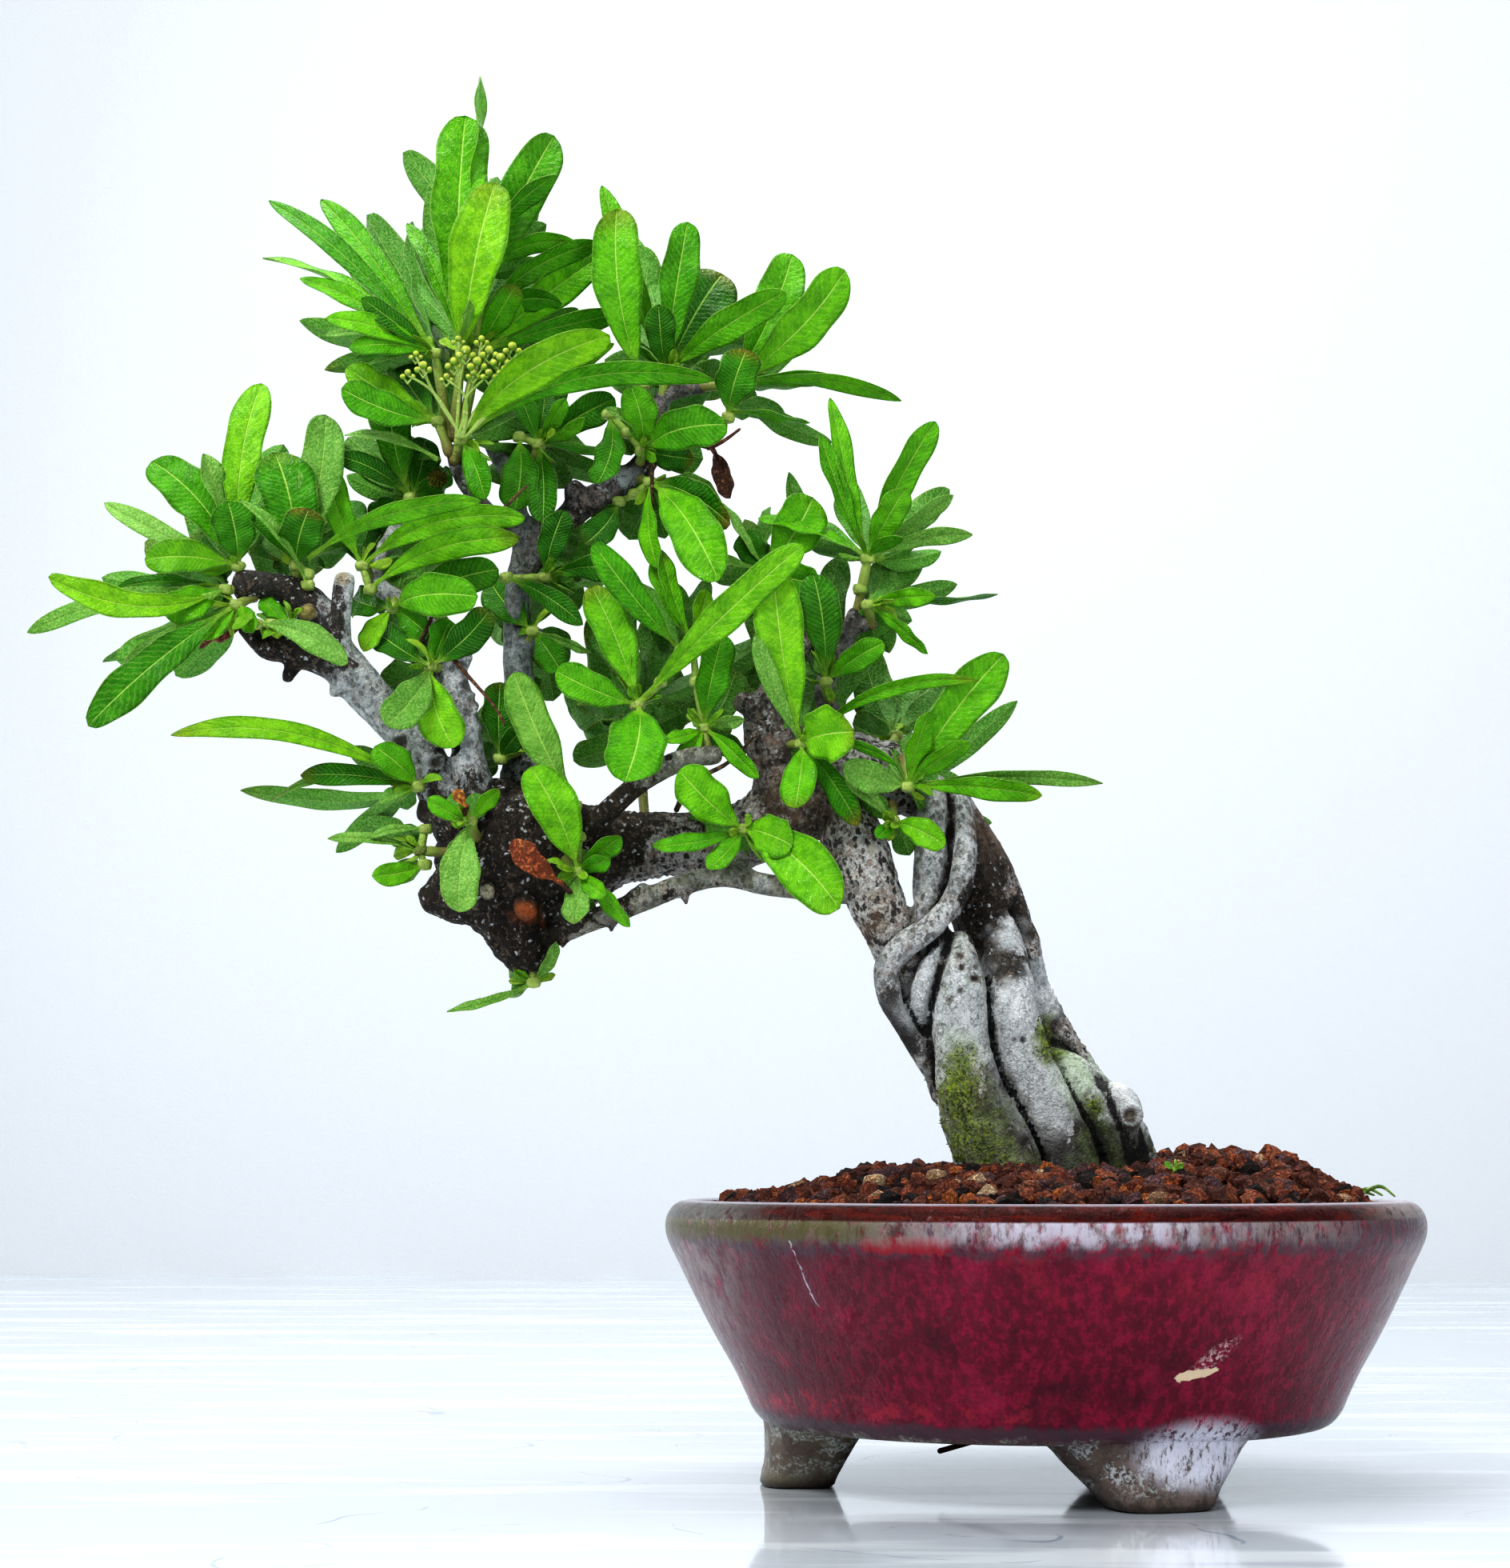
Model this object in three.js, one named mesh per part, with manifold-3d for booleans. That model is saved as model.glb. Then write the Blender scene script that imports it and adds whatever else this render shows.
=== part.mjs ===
// Firethorn bonsai in a round, glazed pot on three feet. Millimetres, +Z up.
// The origin is on the table, under the middle of the whole plant's outline.
//
// The tree was set out as a front drawing: every point has a place across (x) and up (z) on the
// upright plane through the middle of the pot, and a depth behind that plane (+) or before it (-).
// drawn() carries such a point along the line of sight from VIEW_POINT to its true place. Heights
// on the drawing start DRAWING_DROP below the table.

import * as THREE from 'three';
import { mergeVertices } from 'three/addons/utils/BufferGeometryUtils.js';
import Module from 'manifold-3d';

const wasm = await Module();
wasm.setup();

// ---------------------------------------------------------------- driving dimensions

const VIEW_POINT = new THREE.Vector3(-72, -790, 79.4);
const DRAWING_DROP = 2.6;
const CLEARANCE = 0.35;

const RIM_RADIUS = 94.5;
const RIM_CREST_RADIUS = 88.5;
const RIM_HEIGHT = 70;
const WALL = 6.4;
const WALL_LINE = [[76.6, 27], [84.6, 41], [88.2, 48], [91.2, 54.5]];
const BASE_RADIUS = 68;
const BASE_UNDERSIDE = 15;
const FLOOR_LEVEL = 22.5;
const DRAIN_RADIUS = 11;

const FOOT_ANGLES = [20, 146, 272];
const FOOT_TOP_WIDTH = 46;
const FOOT_TOE_WIDTH = 22;
const FOOT_TOP_LEVEL = 19.5;

const SCREEN_SIDE = 30;
const SCREEN_THICKNESS = 0.8;
const SCREEN_HOLE = 4.2;
const SCREEN_PITCH = 6;
const CLIP_WIRE_RADIUS = 0.7;
const CLIP_HALF_SPAN = 6;
const CLIP_LEG_REACH = 22;
const CLIP_LEG_DROP = 6;

const SOIL_BOTTOM = 25.5;
const SOIL_EDGE_LEVEL = 68.5;
const SOIL_RADIUS = 83.5;

const LEAF_THICKNESS = 0.9;
const LEAF_FOLD = 0.22;
const LEAF_START = 1.3;
const STALK_WIDTH = 1.4;
const SHOOT_RADIUS = 1.5;
const KNUCKLE_RADIUS = 2.7;

// ---------------------------------------------------------------- finishes

const GLAZE = new THREE.MeshStandardMaterial({ color: '#7a2238', roughness: 0.2, metalness: 0 });
const BARK = new THREE.MeshStandardMaterial({ color: '#4d443c', roughness: 0.85, metalness: 0 });
const LEAF = new THREE.MeshStandardMaterial({ color: '#4f9420', roughness: 0.45, metalness: 0 });
const BUD = new THREE.MeshStandardMaterial({ color: '#d8d67a', roughness: 0.6, metalness: 0 });
const DRY = new THREE.MeshStandardMaterial({ color: '#6b4630', roughness: 0.8, metalness: 0 });
const GRIT = new THREE.MeshStandardMaterial({ color: '#7b4632', roughness: 0.95, metalness: 0 });
const STONE = new THREE.MeshStandardMaterial({ color: '#c9a583', roughness: 0.8, metalness: 0 });
const NYLON = new THREE.MeshStandardMaterial({ color: '#20211f', roughness: 0.6, metalness: 0 });
const WIRE = new THREE.MeshStandardMaterial({ color: '#4a3026', roughness: 0.4, metalness: 0.9 });

// ---------------------------------------------------------------- limbs of the trunk
// Each limb is a list of [x, z, depth, radius], from its root end to its free end.

const LIMBS = [
  // right-hand stem, the arch over to the left, the level run and the black knuckle
  [[18, 60, 6, 13], [14, 78, 6, 15], [10.5, 90, 6, 12], [4.5, 105, 6, 9], [-4.6, 123, 7, 8.4],
    [-8.5, 138, 8, 8], [-12, 150, 8, 7.6], [-18, 163, 7, 7], [-27, 174.5, 5, 7.8],
    [-37, 179, 3, 9.4], [-48, 179, 2, 11.5], [-60, 173, 2, 11], [-76, 164, 3, 8.5],
    [-95, 162, 4, 8.2], [-110, 161, 4, 11], [-124, 158, 3, 17], [-139, 158, 2, 19.5],
    [-149, 160, 2, 8]],
  // pale middle stem
  [[10, 62, -6, 8.5], [8, 82, -7, 7.8], [4, 92, -8, 7.4], [-1, 101, -9, 7], [-5, 110, -9, 6.8],
    [-7, 119, -9, 6.6], [-8, 128, -6, 6.2], [-10, 141, 2, 5]],
  // dark stem behind the crossing
  [[-4, 112, 6, 7], [-10, 126, 5, 7.5], [-14, 140, 4, 7.5], [-17, 154, 4, 7.2], [-22, 168, 4, 6.5]],
  // mossy front stem
  [[-9, 62, -8, 12], [-10.5, 79, -9, 11], [-13.5, 89, -10, 10.2], [-17.5, 99, -11, 8.8],
    [-19.8, 109, -11, 8], [-20, 119, -11, 7.3], [-20, 127, -11, 6.4], [-21, 138, -9, 4]],
  // thick left stem up to the arch
  [[-21, 100, -4, 7], [-25, 112, -4, 7], [-31, 124, -4, 6.5], [-36, 136, -4, 6.5],
    [-41, 147, -4, 7.2], [-45, 158, -3, 7.8], [-50, 170, 0, 8]],
  // slim middle stem beside it
  [[-29, 136, -6, 3.4], [-27.5, 145, -6, 4.3], [-27.5, 152, -5, 4.5], [-27, 162, -5, 4.6],
    [-26, 172, -3, 4.8], [-28, 181, 0, 4.6]],
  // root that wraps the stems in a loop
  [[-20, 174, -3, 3.2], [-19, 165, -6, 3.3], [-19, 157, -8, 3.3], [-21, 149, -10, 3.3],
    [-27, 141, -12, 3.4], [-34, 136.5, -13, 3.4], [-38.6, 130.5, -13, 3.3], [-37.6, 123, -12, 3.2],
    [-34, 116.5, -11, 3], [-30, 110, -10, 3], [-24, 100, -8, 3]],
  // short stem inside the loop
  [[-22, 139, -10, 2], [-27, 131, -11, 3.4], [-30.5, 122, -11, 2.9], [-29.5, 114, -9, 2]],
  // root hump on the right, and its cut knot
  [[2, 108, 2, 6], [9, 99, -2, 8.5], [16, 92, -3, 8.5], [21, 81, -3, 8.5], [26, 66, -2, 7]],
  [[11, 101.5, -4, 3], [16.5, 99.5, -6, 3.7], [21, 95.5, -8, 4.3], [22.2, 88, -8, 3.8],
    [24, 78, -6, 5]],
  // roots under the soil
  [[18, 68, 8, 8], [38, 60, 20, 6], [56, 50, 30, 3]],
  [[4, 72, 2, 9], [-22, 61, 28, 6], [-40, 50, 46, 3]],
  [[-12, 68, -10, 8], [-34, 60, -22, 6], [-52, 50, -34, 3]],
  [[14, 68, -8, 8], [24, 60, -32, 6], [30, 50, -50, 3]],
  // lobes of the knuckle
  [[-134, 150, 0, 13], [-132, 140, -3, 9], [-129, 132, -4, 5]],
  [[-140, 166, 0, 14], [-150, 170, -1, 8], [-156, 171, -2, 4]],
  [[-140, 152, -2, 14], [-151, 149, -3, 7], [-155, 148, -4, 4]],
  // low pale branch under the level run, and the knobby peg that meets it
  [[-47, 150, -4, 3.4], [-62, 151, -9, 2.9], [-70, 152, -10, 2.8], [-80, 154, -10, 2.7],
    [-90, 152, -10, 2.8], [-100, 148, -10, 2.8], [-110, 144, -9, 2.8], [-122, 139.5, -6, 2.9],
    [-130, 137, -4, 2.8]],
  [[-76, 166, -2, 2.6], [-76, 161, -6, 2.5], [-75, 155, -9, 2.4]],
  // slanting pale branch over the level run
  [[-116, 164, -8, 3], [-107, 173, -13, 2.8], [-100, 179, -14, 2.8], [-90, 184, -13, 2.7],
    [-82, 185, -9, 2.6]],
  // gnarled upright
  [[-66, 170, 0, 8], [-66, 180, -1, 6.5], [-69, 192, -1, 6], [-65, 205, 0, 4], [-58, 216, 2, 2.4],
    [-52, 226, 3, 1.8]],
  // slim right-hand shoot and its side peg
  [[-47, 184, 2, 4], [-53, 196, 1, 3], [-54, 203, 0, 2.6], [-50, 212, -1, 2.5],
    [-46, 222, -2, 2.2]],
  [[-47, 218, -2, 2], [-41, 219, -4, 1.6]],
  // left branch, forked at its end, with the sawn peg on its back
  [[-146, 166, 0, 8], [-153, 178, -2, 6], [-157, 186, -4, 5], [-164, 193, -5, 5],
    [-172, 202, -6, 5.5], [-180, 211, -7, 6], [-184, 220, -7, 6], [-190, 227, -8, 4],
    [-198, 229, -9, 3.6], [-204, 229, -10, 4.2]],
  [[-180, 209, -7, 5], [-190, 213, -9, 4], [-197, 213, -10, 3.2], [-203, 218, -10, 2.2]],
  [[-178, 212, -9, 3], [-178.5, 220, -12, 2.8], [-177.5, 231, -13, 2.6]],
  // upright branch beside it
  [[-142, 168, -3, 7], [-145, 182, -7, 4.8], [-147, 195, -8, 4.4], [-150, 205, -8, 4.2],
    [-153, 213, -5, 3.6], [-160, 222, -2, 3], [-170, 231, 0, 2.4], [-165, 243, 2, 2],
    [-162, 250, 2, 1.8]],
  // leader and its fork
  [[-130, 170, 6, 9], [-131, 190, 8, 5], [-133, 212, 8, 3.6], [-133, 228, 7, 3.5],
    [-131, 238, 6, 3.8], [-133, 248, 5, 2.6], [-135, 257, 5, 2.4], [-139, 264, 6, 2.3],
    [-142, 270, 6, 1.8]],
  [[-131, 234, 6, 3.6], [-124, 243, 5, 3.4], [-116, 250, 4, 3.6], [-106, 256, 3, 3.6],
    [-100, 262, 3, 3.2], [-98, 270, 4, 2.6], [-95, 279, 4, 2.3], [-85, 281, 4, 1.6]],
  [[-131, 241, 5, 2.6], [-139, 247, 2, 2.2], [-144, 252, -2, 2.3], [-148, 259, -5, 2.5],
    [-150, 265, -7, 2]],
  [[-126, 241, 5, 2.4], [-127, 252, 5, 2], [-129, 262, 4, 1.8]],
];

// ---------------------------------------------------------------- shoots
// root and node are [x, z, depth]; the shoot's stem runs from root to node.
// A leaf is [tip x, tip z, tip depth, width, turn, sweep, bulge, base x, base z, base depth].
// turn is the angle about its own length, where 0 faces the front and 90 is edge on; sweep and
// bulge are how far it bows to its left and to the front, as parts of its length. A leaf with
// no base of its own starts at the node.

const SHOOTS = {
  shoot_apex_crown: {
    root: [-150, 268, -7], node: [-148, 290, -9],
    leaves: [
      [-142.5, 364.5, 2, 10, 74, 0.02, 0.04, -146, 312, -5], [-147, 355, -4, 15, 10, 0.03, 0.05],
      [-123, 349, 0, 13, 15, 0.04, 0.05, -146, 300, -7],
      [-123, 337, -6, 7, 50, 0.1, 0.05, -146, 312, -6],
      [-140, 336, -20, 14, -10, 0.03, 0.08, -148, 287, -11], [-162, 326, -2, 6, 30, -0.03, 0.04],
      [-146, 304, -22, 4, 40, 0, 0.03], [-143, 316, -14, 4, 40, 0.03, 0.02],
    ],
    stem: [[-146, 312, -5]],
  },
  shoot_apex_left: {
    root: [-151, 268, -7], node: [-155, 290, -8],
    leaves: [
      [-199, 333, -2, 6, 30, -0.03, 0.03], [-185.5, 333, 4, 7, 20, -0.02, 0.03],
      [-199, 318, -10, 7, 68, -0.05, 0.03], [-190, 311, -16, 6, 30, -0.04, 0.04],
      [-174, 305, -18, 6, 30, 0, 0.03], [-183, 300, -20, 6, 20, -0.05, 0.03],
      [-184, 296, -10, 4, 60, -0.08, 0.02], [-177, 292, -18, 6, 20, -0.06, 0.03],
      [-176, 289, -4, 6, 30, -0.08, 0.03],
    ],
  },
  shoot_apex_low_left: {
    root: [-151, 264, -8], node: [-154, 272, -9],
    leaves: [
      [-179, 281, -16, 9, 10, 0.06, 0.05], [-178, 287, -8, 8, 20, 0.03, 0.03],
      [-178, 269, -10, 4, 40, -0.08, 0.03, -154, 262, -6], [-165, 288, 6, 10, 10, 0.03, 0.03],
    ],
  },
  shoot_apex_right: {
    root: [-148, 268, -8], node: [-144, 290, -6],
    leaves: [
      [-134, 308, -14, 8, 20, 0.02, 0.04], [-118, 319, -6, 6, 30, 0.16, 0.03, -143, 310, -5],
      [-112, 319, -2, 7, 25, 0.1, 0.03, -143, 300, -5],
      [-122, 303, -2, 7, 30, 0.2, 0.03, -143, 296, -5],
      [-112, 316, 6, 10, 10, 0.02, 0.04], [-104, 300, 8, 7, 30, 0.04, 0.03],
    ],
    stem: [[-143, 310, -5]],
  },
  shoot_apex_front: {
    root: [-149.5, 262, -8], node: [-148, 267, -11],
    leaves: [
      [-110, 294, -28, 11, 15, 0.1, 0.06], [-108, 291, -22, 7, 30, 0.08, 0.03],
      [-83, 282, -24, 7, 25, 0.13, 0.05], [-142, 252, -16, 7, 10, 0.05, 0.04],
    ],
  },
  shoot_apex_back: {
    root: [-150, 268, -4], node: [-150, 284, 8],
    leaves: [
      [-151, 343, 26, 14, 170, 0.02, -0.05], [-130, 332, 30, 12, 160, 0.03, -0.05],
      [-178, 322, 34, 9, 200, -0.03, -0.05], [-140, 312, 40, 11, 190, 0.03, -0.08],
      [-160, 298, 42, 10, 175, 0, -0.08], [-124, 298, 36, 10, 160, 0.02, -0.05],
      [-170, 282, 30, 9, 190, 0.03, -0.06],
    ],
  },
  shoot_left_of_apex: {
    root: [-162, 247, 2], node: [-161, 252, 0],
    leaves: [
      [-167, 284, -2, 11, 10, 0.05, 0.04], [-180, 263, -8, 6, 20, -0.08, 0.04],
      [-181, 266, -4, 4, 50, -0.1, 0.03], [-157, 268, 4, 9, 15, -0.04, 0.03],
      [-150, 258, 6, 8, 30, 0.05, 0.03], [-172, 246, 10, 9, 20, 0.05, 0.04],
    ],
  },
  shoot_upper_middle: {
    root: [-129, 261, 4], node: [-128, 266, 3],
    leaves: [
      [-133, 280, 2, 6, 20, 0, 0.03], [-121, 278, -3, 5, 30, 0, 0.03], [-126, 281, 8, 7, 20, 0, 0.03],
      [-116, 273, -3, 4, 40, -0.06, 0.03], [-108, 278, 8, 9, 15, 0.04, 0.04],
      [-109, 263, -2, 4, 50, 0.04, 0.02], [-127, 246, -5, 8, 15, 0.04, 0.04],
      [-134, 249, -2, 10, 10, 0.05, 0.05, -133, 268, 2],
    ],
    stem: [[-133, 268, 2]],
  },
  shoot_upper_right: {
    root: [-97, 272, 4], node: [-95, 285, 2],
    leaves: [
      [-111, 336, 0, 7, 30, 0.02, 0.03], [-108, 329, -5, 13, 5, 0.06, 0.05, -101, 282, 1],
      [-89, 325.5, -3, 10, 15, 0.02, 0.04], [-97, 303, -9, 8, 10, 0.02, 0.04],
      [-80, 312, 12, 15, 5, 0.03, 0.06], [-64, 306, -12, 9, 10, 0.04, 0.06],
      [-112, 286, -3, 6, 20, 0, 0.03], [-105, 292, 6, 6, 25, 0, 0.03],
    ],
    stem: [[-101, 282, 1]],
  },
  shoot_upper_right_tip: {
    root: [-86, 281, 4], node: [-78, 282, 1],
    leaves: [
      [-62, 317, 3, 12, 5, -0.04, 0.05], [-48, 312, -5, 12, 10, -0.05, 0.05],
      [-74, 291, -12, 11, 10, 0.05, 0.07, -79, 273, -4], [-51, 283, 5, 5, 40, 0.04, 0.03],
      [-34, 277, 8, 5, 40, 0.08, 0.03], [-58, 271, -6, 4, 50, 0.04, 0.02, -79, 275, -3],
    ],
    stem: [[-79, 273, -4]],
  },
  shoot_upper_right_back: {
    root: [-98, 268, 6], node: [-94, 280, 18],
    leaves: [
      [-102, 318, 36, 12, 170, 0.03, -0.05], [-82, 304, 42, 12, 185, 0.02, -0.06],
      [-110, 288, 38, 11, 175, 0.04, -0.06], [-78, 284, 40, 11, 190, 0.02, -0.06],
      [-92, 270, 48, 12, 180, 0, -0.08],
    ],
  },
  shoot_right_fork: {
    root: [-102, 260, 2], node: [-101, 264, -3],
    leaves: [
      [-80, 271, -18, 11, 5, 0.1, 0.08], [-88, 262, -5, 7, 10, 0, 0.04],
      [-104, 281, -14, 9, 5, -0.06, 0.05],
      [-110, 276, -14, 4, 60, -0.12, 0.02], [-113, 256, -8, 8, 20, 0.12, 0.05, -110, 274, -3],
    ],
    stem: [[-105, 269, -3], [-110, 274, -3]],
  },
  shoot_right_fork_low: {
    root: [-102, 257, 2], node: [-99, 256, -3],
    leaves: [
      [-79, 245, -16, 9, 10, 0.08, 0.05], [-82, 231, -20, 13, -5, 0.06, 0.06],
      [-98, 234, -10, 7, 52, -0.04, 0.03], [-116, 240, -2, 8, 10, 0.08, 0.04, -107, 251, 0],
      [-90, 246, 14, 10, 170, 0.04, -0.05], [-104, 242, 22, 11, 180, 0.03, -0.06],
    ],
    stem: [[-103, 253, -1], [-107, 251, 0]],
  },
  shoot_leader: {
    root: [-131, 230, 5], node: [-126, 231, 0],
    leaves: [
      [-121, 248.5, -7, 8, 5, 0.05, 0.05], [-103, 232, -3, 7, 20, 0.1, 0.04],
      [-117, 219, -9, 6, 20, 0.06, 0.03, -136, 231, -1], [-112, 244, 18, 10, 170, 0.04, -0.05],
      [-118, 224, 22, 11, 180, 0.03, -0.06],
    ],
    stem: [[-136, 231, -1]],
  },
  shoot_leader_low: {
    root: [-131, 212, 8], node: [-129, 217, 3],
    leaves: [
      [-122, 207, 0, 8, 10, 0.03, 0.04], [-115, 211, -5, 3, 45, 0.04, 0.02],
      [-140, 230, 10, 10, 10, 0.04, 0.04], [-120, 236, 26, 10, 170, 0.04, -0.05],
      [-140, 222, 32, 12, 180, 0.03, -0.06], [-124, 200, 30, 10, 175, 0.03, -0.06],
    ],
  },
  shoot_centre_left: {
    root: [-170, 230, 0], node: [-173, 234, -4],
    leaves: [
      [-183, 261, -8, 8, 10, 0.04, 0.04], [-132, 246, -20, 8, 15, 0.12, 0.05],
      [-133, 241, -18, 8, 10, 0.1, 0.05, -171, 228, -5], [-177, 252, 10, 9, 15, 0.03, 0.03],
      [-165, 246, 14, 10, 20, 0.03, 0.04], [-160, 252, 20, 10, 165, 0.04, -0.05],
    ],
    stem: [[-171, 228, -5]],
  },
  shoot_centre_round: {
    root: [-164, 227, -1], node: [-165, 223, -5],
    leaves: [
      [-144, 226, -22, 11, 0, 0.08, 0.1], [-138, 233, -6, 10, 10, 0.06, 0.05],
      [-172.5, 212, -8, 6, 20, -0.05, 0.03], [-156, 216, -10, 8, 15, 0.04, 0.04],
      [-176, 226, 8, 9, 20, 0.04, 0.04], [-150, 240, 26, 11, 170, 0.04, -0.06],
      [-158, 226, 34, 12, 180, 0.03, -0.06],
    ],
  },
  shoot_left_inner: {
    root: [-189, 227, -6], node: [-190, 234, -10],
    leaves: [
      [-196, 264, -12, 15, 5, -0.05, 0.07], [-183, 274.5, -8, 11, -5, -0.04, 0.05],
      [-202, 250, -16, 9, 35, -0.06, 0.06], [-187, 249, -22, 11, 5, 0.05, 0.08],
      [-204, 252, -24, 4, 55, -0.06, 0.03, -187, 229, -12],
      [-143, 250.5, -24, 6, 25, 0.09, 0.05, -187, 236, -12],
    ],
    stem: [[-187, 232, -12], [-187, 229, -12]],
  },
  shoot_left_inner_back: {
    root: [-188, 227, -4], node: [-189, 235, 6],
    leaves: [
      [-192, 262, 22, 13, 170, 0.04, -0.06], [-204, 246, 26, 11, 190, 0.03, -0.06],
      [-178, 250, 28, 12, 175, 0.04, -0.06], [-184, 238, 36, 12, 185, 0.03, -0.08],
      [-198, 232, 36, 10, 170, 0.03, -0.06],
    ],
  },
  shoot_left_tip_up: {
    root: [-203, 229, -10], node: [-205, 234, -12],
    leaves: [
      [-200, 283, -6, 10, 5, 0.05, 0.05], [-208, 251, -20, 11, 5, -0.04, 0.06],
      [-213, 264, -18, 9, 62, 0.03, 0.03], [-228, 262, -14, 12, 10, -0.08, 0.05],
      [-240, 251.5, -6, 6, 25, 0.03, 0.03], [-229, 236, -18, 9, 20, -0.06, 0.04],
      [-216, 252, 10, 12, 175, 0.03, -0.06],
    ],
  },
  shoot_left_tip_side: {
    root: [-203, 228, -10], node: [-208, 228, -12],
    leaves: [
      [-253.5, 232, -26, 8, 20, 0.14, 0.06], [-259.5, 217.5, -10, 6, 30, -0.05, 0.03],
      [-237, 228.5, -8, 4, 35, -0.06, 0.02], [-224, 222, -16, 9, 10, 0.02, 0.04],
      [-228, 240, 12, 10, 170, 0.04, -0.05],
    ],
  },
  shoot_left_tip_low: {
    root: [-201, 226, -10], node: [-205, 224, -13],
    leaves: [
      [-242.5, 193, -24, 10, 10, -0.03, 0.05], [-237, 206, -8, 5, 25, -0.03, 0.03],
      [-213, 215, -16, 5, 20, 0, 0.03], [-201, 217, -20, 5, 10, 0.04, 0.03],
      [-206, 218, -24, 4, 20, 0.2, 0.04], [-220, 206, 12, 9, 175, 0.04, -0.05],
    ],
  },
  shoot_left_under: {
    root: [-186, 218, -10], node: [-191, 219, -14],
    leaves: [
      [-177, 209, -22, 7, 10, 0.1, 0.05, -200, 219, -16], [-200, 222, -12, 3, 45, 0.05, 0.02],
      [-199, 226, -10, 5, 30, 0.05, 0.02],
    ],
    stem: [[-196, 219, -15], [-200, 219, -16]],
  },
  shoot_left_low: {
    root: [-155, 180, -4], node: [-158, 177, -8],
    leaves: [
      [-221, 192, -20, 6, 15, -0.09, 0.05], [-169, 187, -16, 8, 5, -0.05, 0.05],
      [-188, 180, -12, 6, 20, -0.04, 0.03], [-196, 175, -8, 3, 40, -0.1, 0.02],
      [-168, 173, -12, 4, 30, -0.05, 0.02],
    ],
  },
  shoot_knuckle_edge: {
    root: [-150, 160, -6], node: [-157, 160.5, -8],
    leaves: [
      [-170, 164.5, -10, 3, 30, -0.06, 0.02, -156, 166, -7], [-181, 164, -8, 3, 30, -0.05, 0.02],
      [-169, 154, -14, 6, 10, 0.05, 0.04, -156, 157, -8],
    ],
    stem: [[-156, 166, -7], [-157, 160.5, -8], [-156, 157, -8]],
  },
  shoot_knuckle_front: {
    root: [-143, 164, -15], node: [-144.5, 168, -22],
    leaves: [
      [-147, 145, -28, 10, 0, -0.05, 0.08], [-155.5, 174, -24, 5, 10, 0.05, 0.04],
      [-137, 176, -22, 5, 30, 0.05, 0.03],
    ],
  },
  shoot_beside_branch: {
    root: [-151, 207, -8], node: [-155, 208, -13],
    leaves: [
      [-166, 193, -20, 10, 0, 0.06, 0.06], [-149, 187, -14, 11, 10, -0.08, 0.05],
      [-140, 222, -16, 9, 10, -0.03, 0.04], [-150, 220, -12, 8, 20, 0.02, 0.03],
      [-170, 218, -4, 8, 15, 0.03, 0.04],
    ],
  },
  shoot_leader_foot: {
    root: [-133, 186, 2], node: [-137, 184, -5],
    leaves: [
      [-131, 192, -12, 6, 20, 0.05, 0.03], [-137, 204, -4, 9, 10, 0.03, 0.04],
      [-128, 204, 14, 9, 170, 0.04, -0.05], [-146, 190, 22, 10, 185, 0.04, -0.06],
    ],
  },
  shoot_knuckle_right: {
    root: [-122, 160, -10], node: [-117, 155, -16],
    leaves: [
      [-129, 182, -24, 12, 10, -0.04, 0.06], [-134, 206, -16, 10, 190, 0.02, 0.05, -118, 172, -14],
      [-118, 142, -20, 7, 10, 0.03, 0.04], [-106, 164, -20, 6, 20, 0.03, 0.03],
      [-109, 158, -22, 5, 30, 0.04, 0.03], [-104, 141, -18, 5, 25, 0.04, 0.03],
      [-110, 149, -22, 5, 20, -0.04, 0.03],
    ],
    stem: [[-117, 164, -15], [-118, 172, -14]],
  },
  shoot_knuckle_low: {
    root: [-129, 133, -4], node: [-128, 127, -6],
    leaves: [
      [-122, 137, -10, 4, 30, -0.03, 0.02], [-150, 120, -10, 3, 30, 0.05, 0.02],
      [-134, 132, 12, 6, 150, 0.03, 0.03],
    ],
  },
  shoot_middle_high: {
    root: [-98, 179, -13], node: [-102, 198, -10],
    leaves: [
      [-114, 229, -16, 10, 5, -0.03, 0.05], [-113.5, 240, -24, 8, 5, 0.02, 0.04, -91, 212, -12],
      [-107, 230, -4, 8, 15, 0.03, 0.04], [-104, 222, -14, 4, 40, 0, 0.02],
      [-60, 239, -30, 9, 10, 0.02, 0.05], [-123, 207, -14, 9, 10, 0.04, 0.05],
      [-105, 179, -24, 15, 0, 0.06, 0.1],
    ],
    stem: [[-96, 204, -11], [-91, 212, -12]],
  },
  shoot_middle_back: {
    root: [-100, 168, 6], node: [-102, 190, 16],
    leaves: [
      [-112, 222, 32, 12, 170, 0.04, -0.06], [-92, 218, 36, 12, 185, 0.04, -0.06],
      [-118, 200, 40, 11, 175, 0.04, -0.06], [-86, 200, 42, 11, 190, 0.03, -0.06],
      [-104, 184, 46, 12, 180, 0.03, -0.08], [-118, 184, 26, 9, 165, 0.03, -0.05],
    ],
  },
  shoot_middle_upright: {
    root: [-84, 184, -9], node: [-85, 192, -9],
    leaves: [
      [-80, 216, -18, 9, 10, 0.03, 0.05], [-95.5, 238.5, -10, 6, 40, 0.05, 0.03, -88, 214, -9],
      [-98, 236, -4, 6, 30, 0.04, 0.03, -88, 214, -9], [-84, 228, -6, 6, 30, 0, 0.03, -88, 214, -9],
      [-95, 189, -16, 4, 25, 0.04, 0.02], [-92, 183, -14, 5, 20, 0.04, 0.03],
      [-72, 179, -18, 5, 20, 0.04, 0.03], [-75, 194, -16, 4, 40, 0.04, 0.02],
    ],
    stem: [[-87, 204, -9], [-88, 214, -9]],
  },
  shoot_middle_low: {
    root: [-76, 163, -6], node: [-75, 166, -15],
    leaves: [
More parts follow.
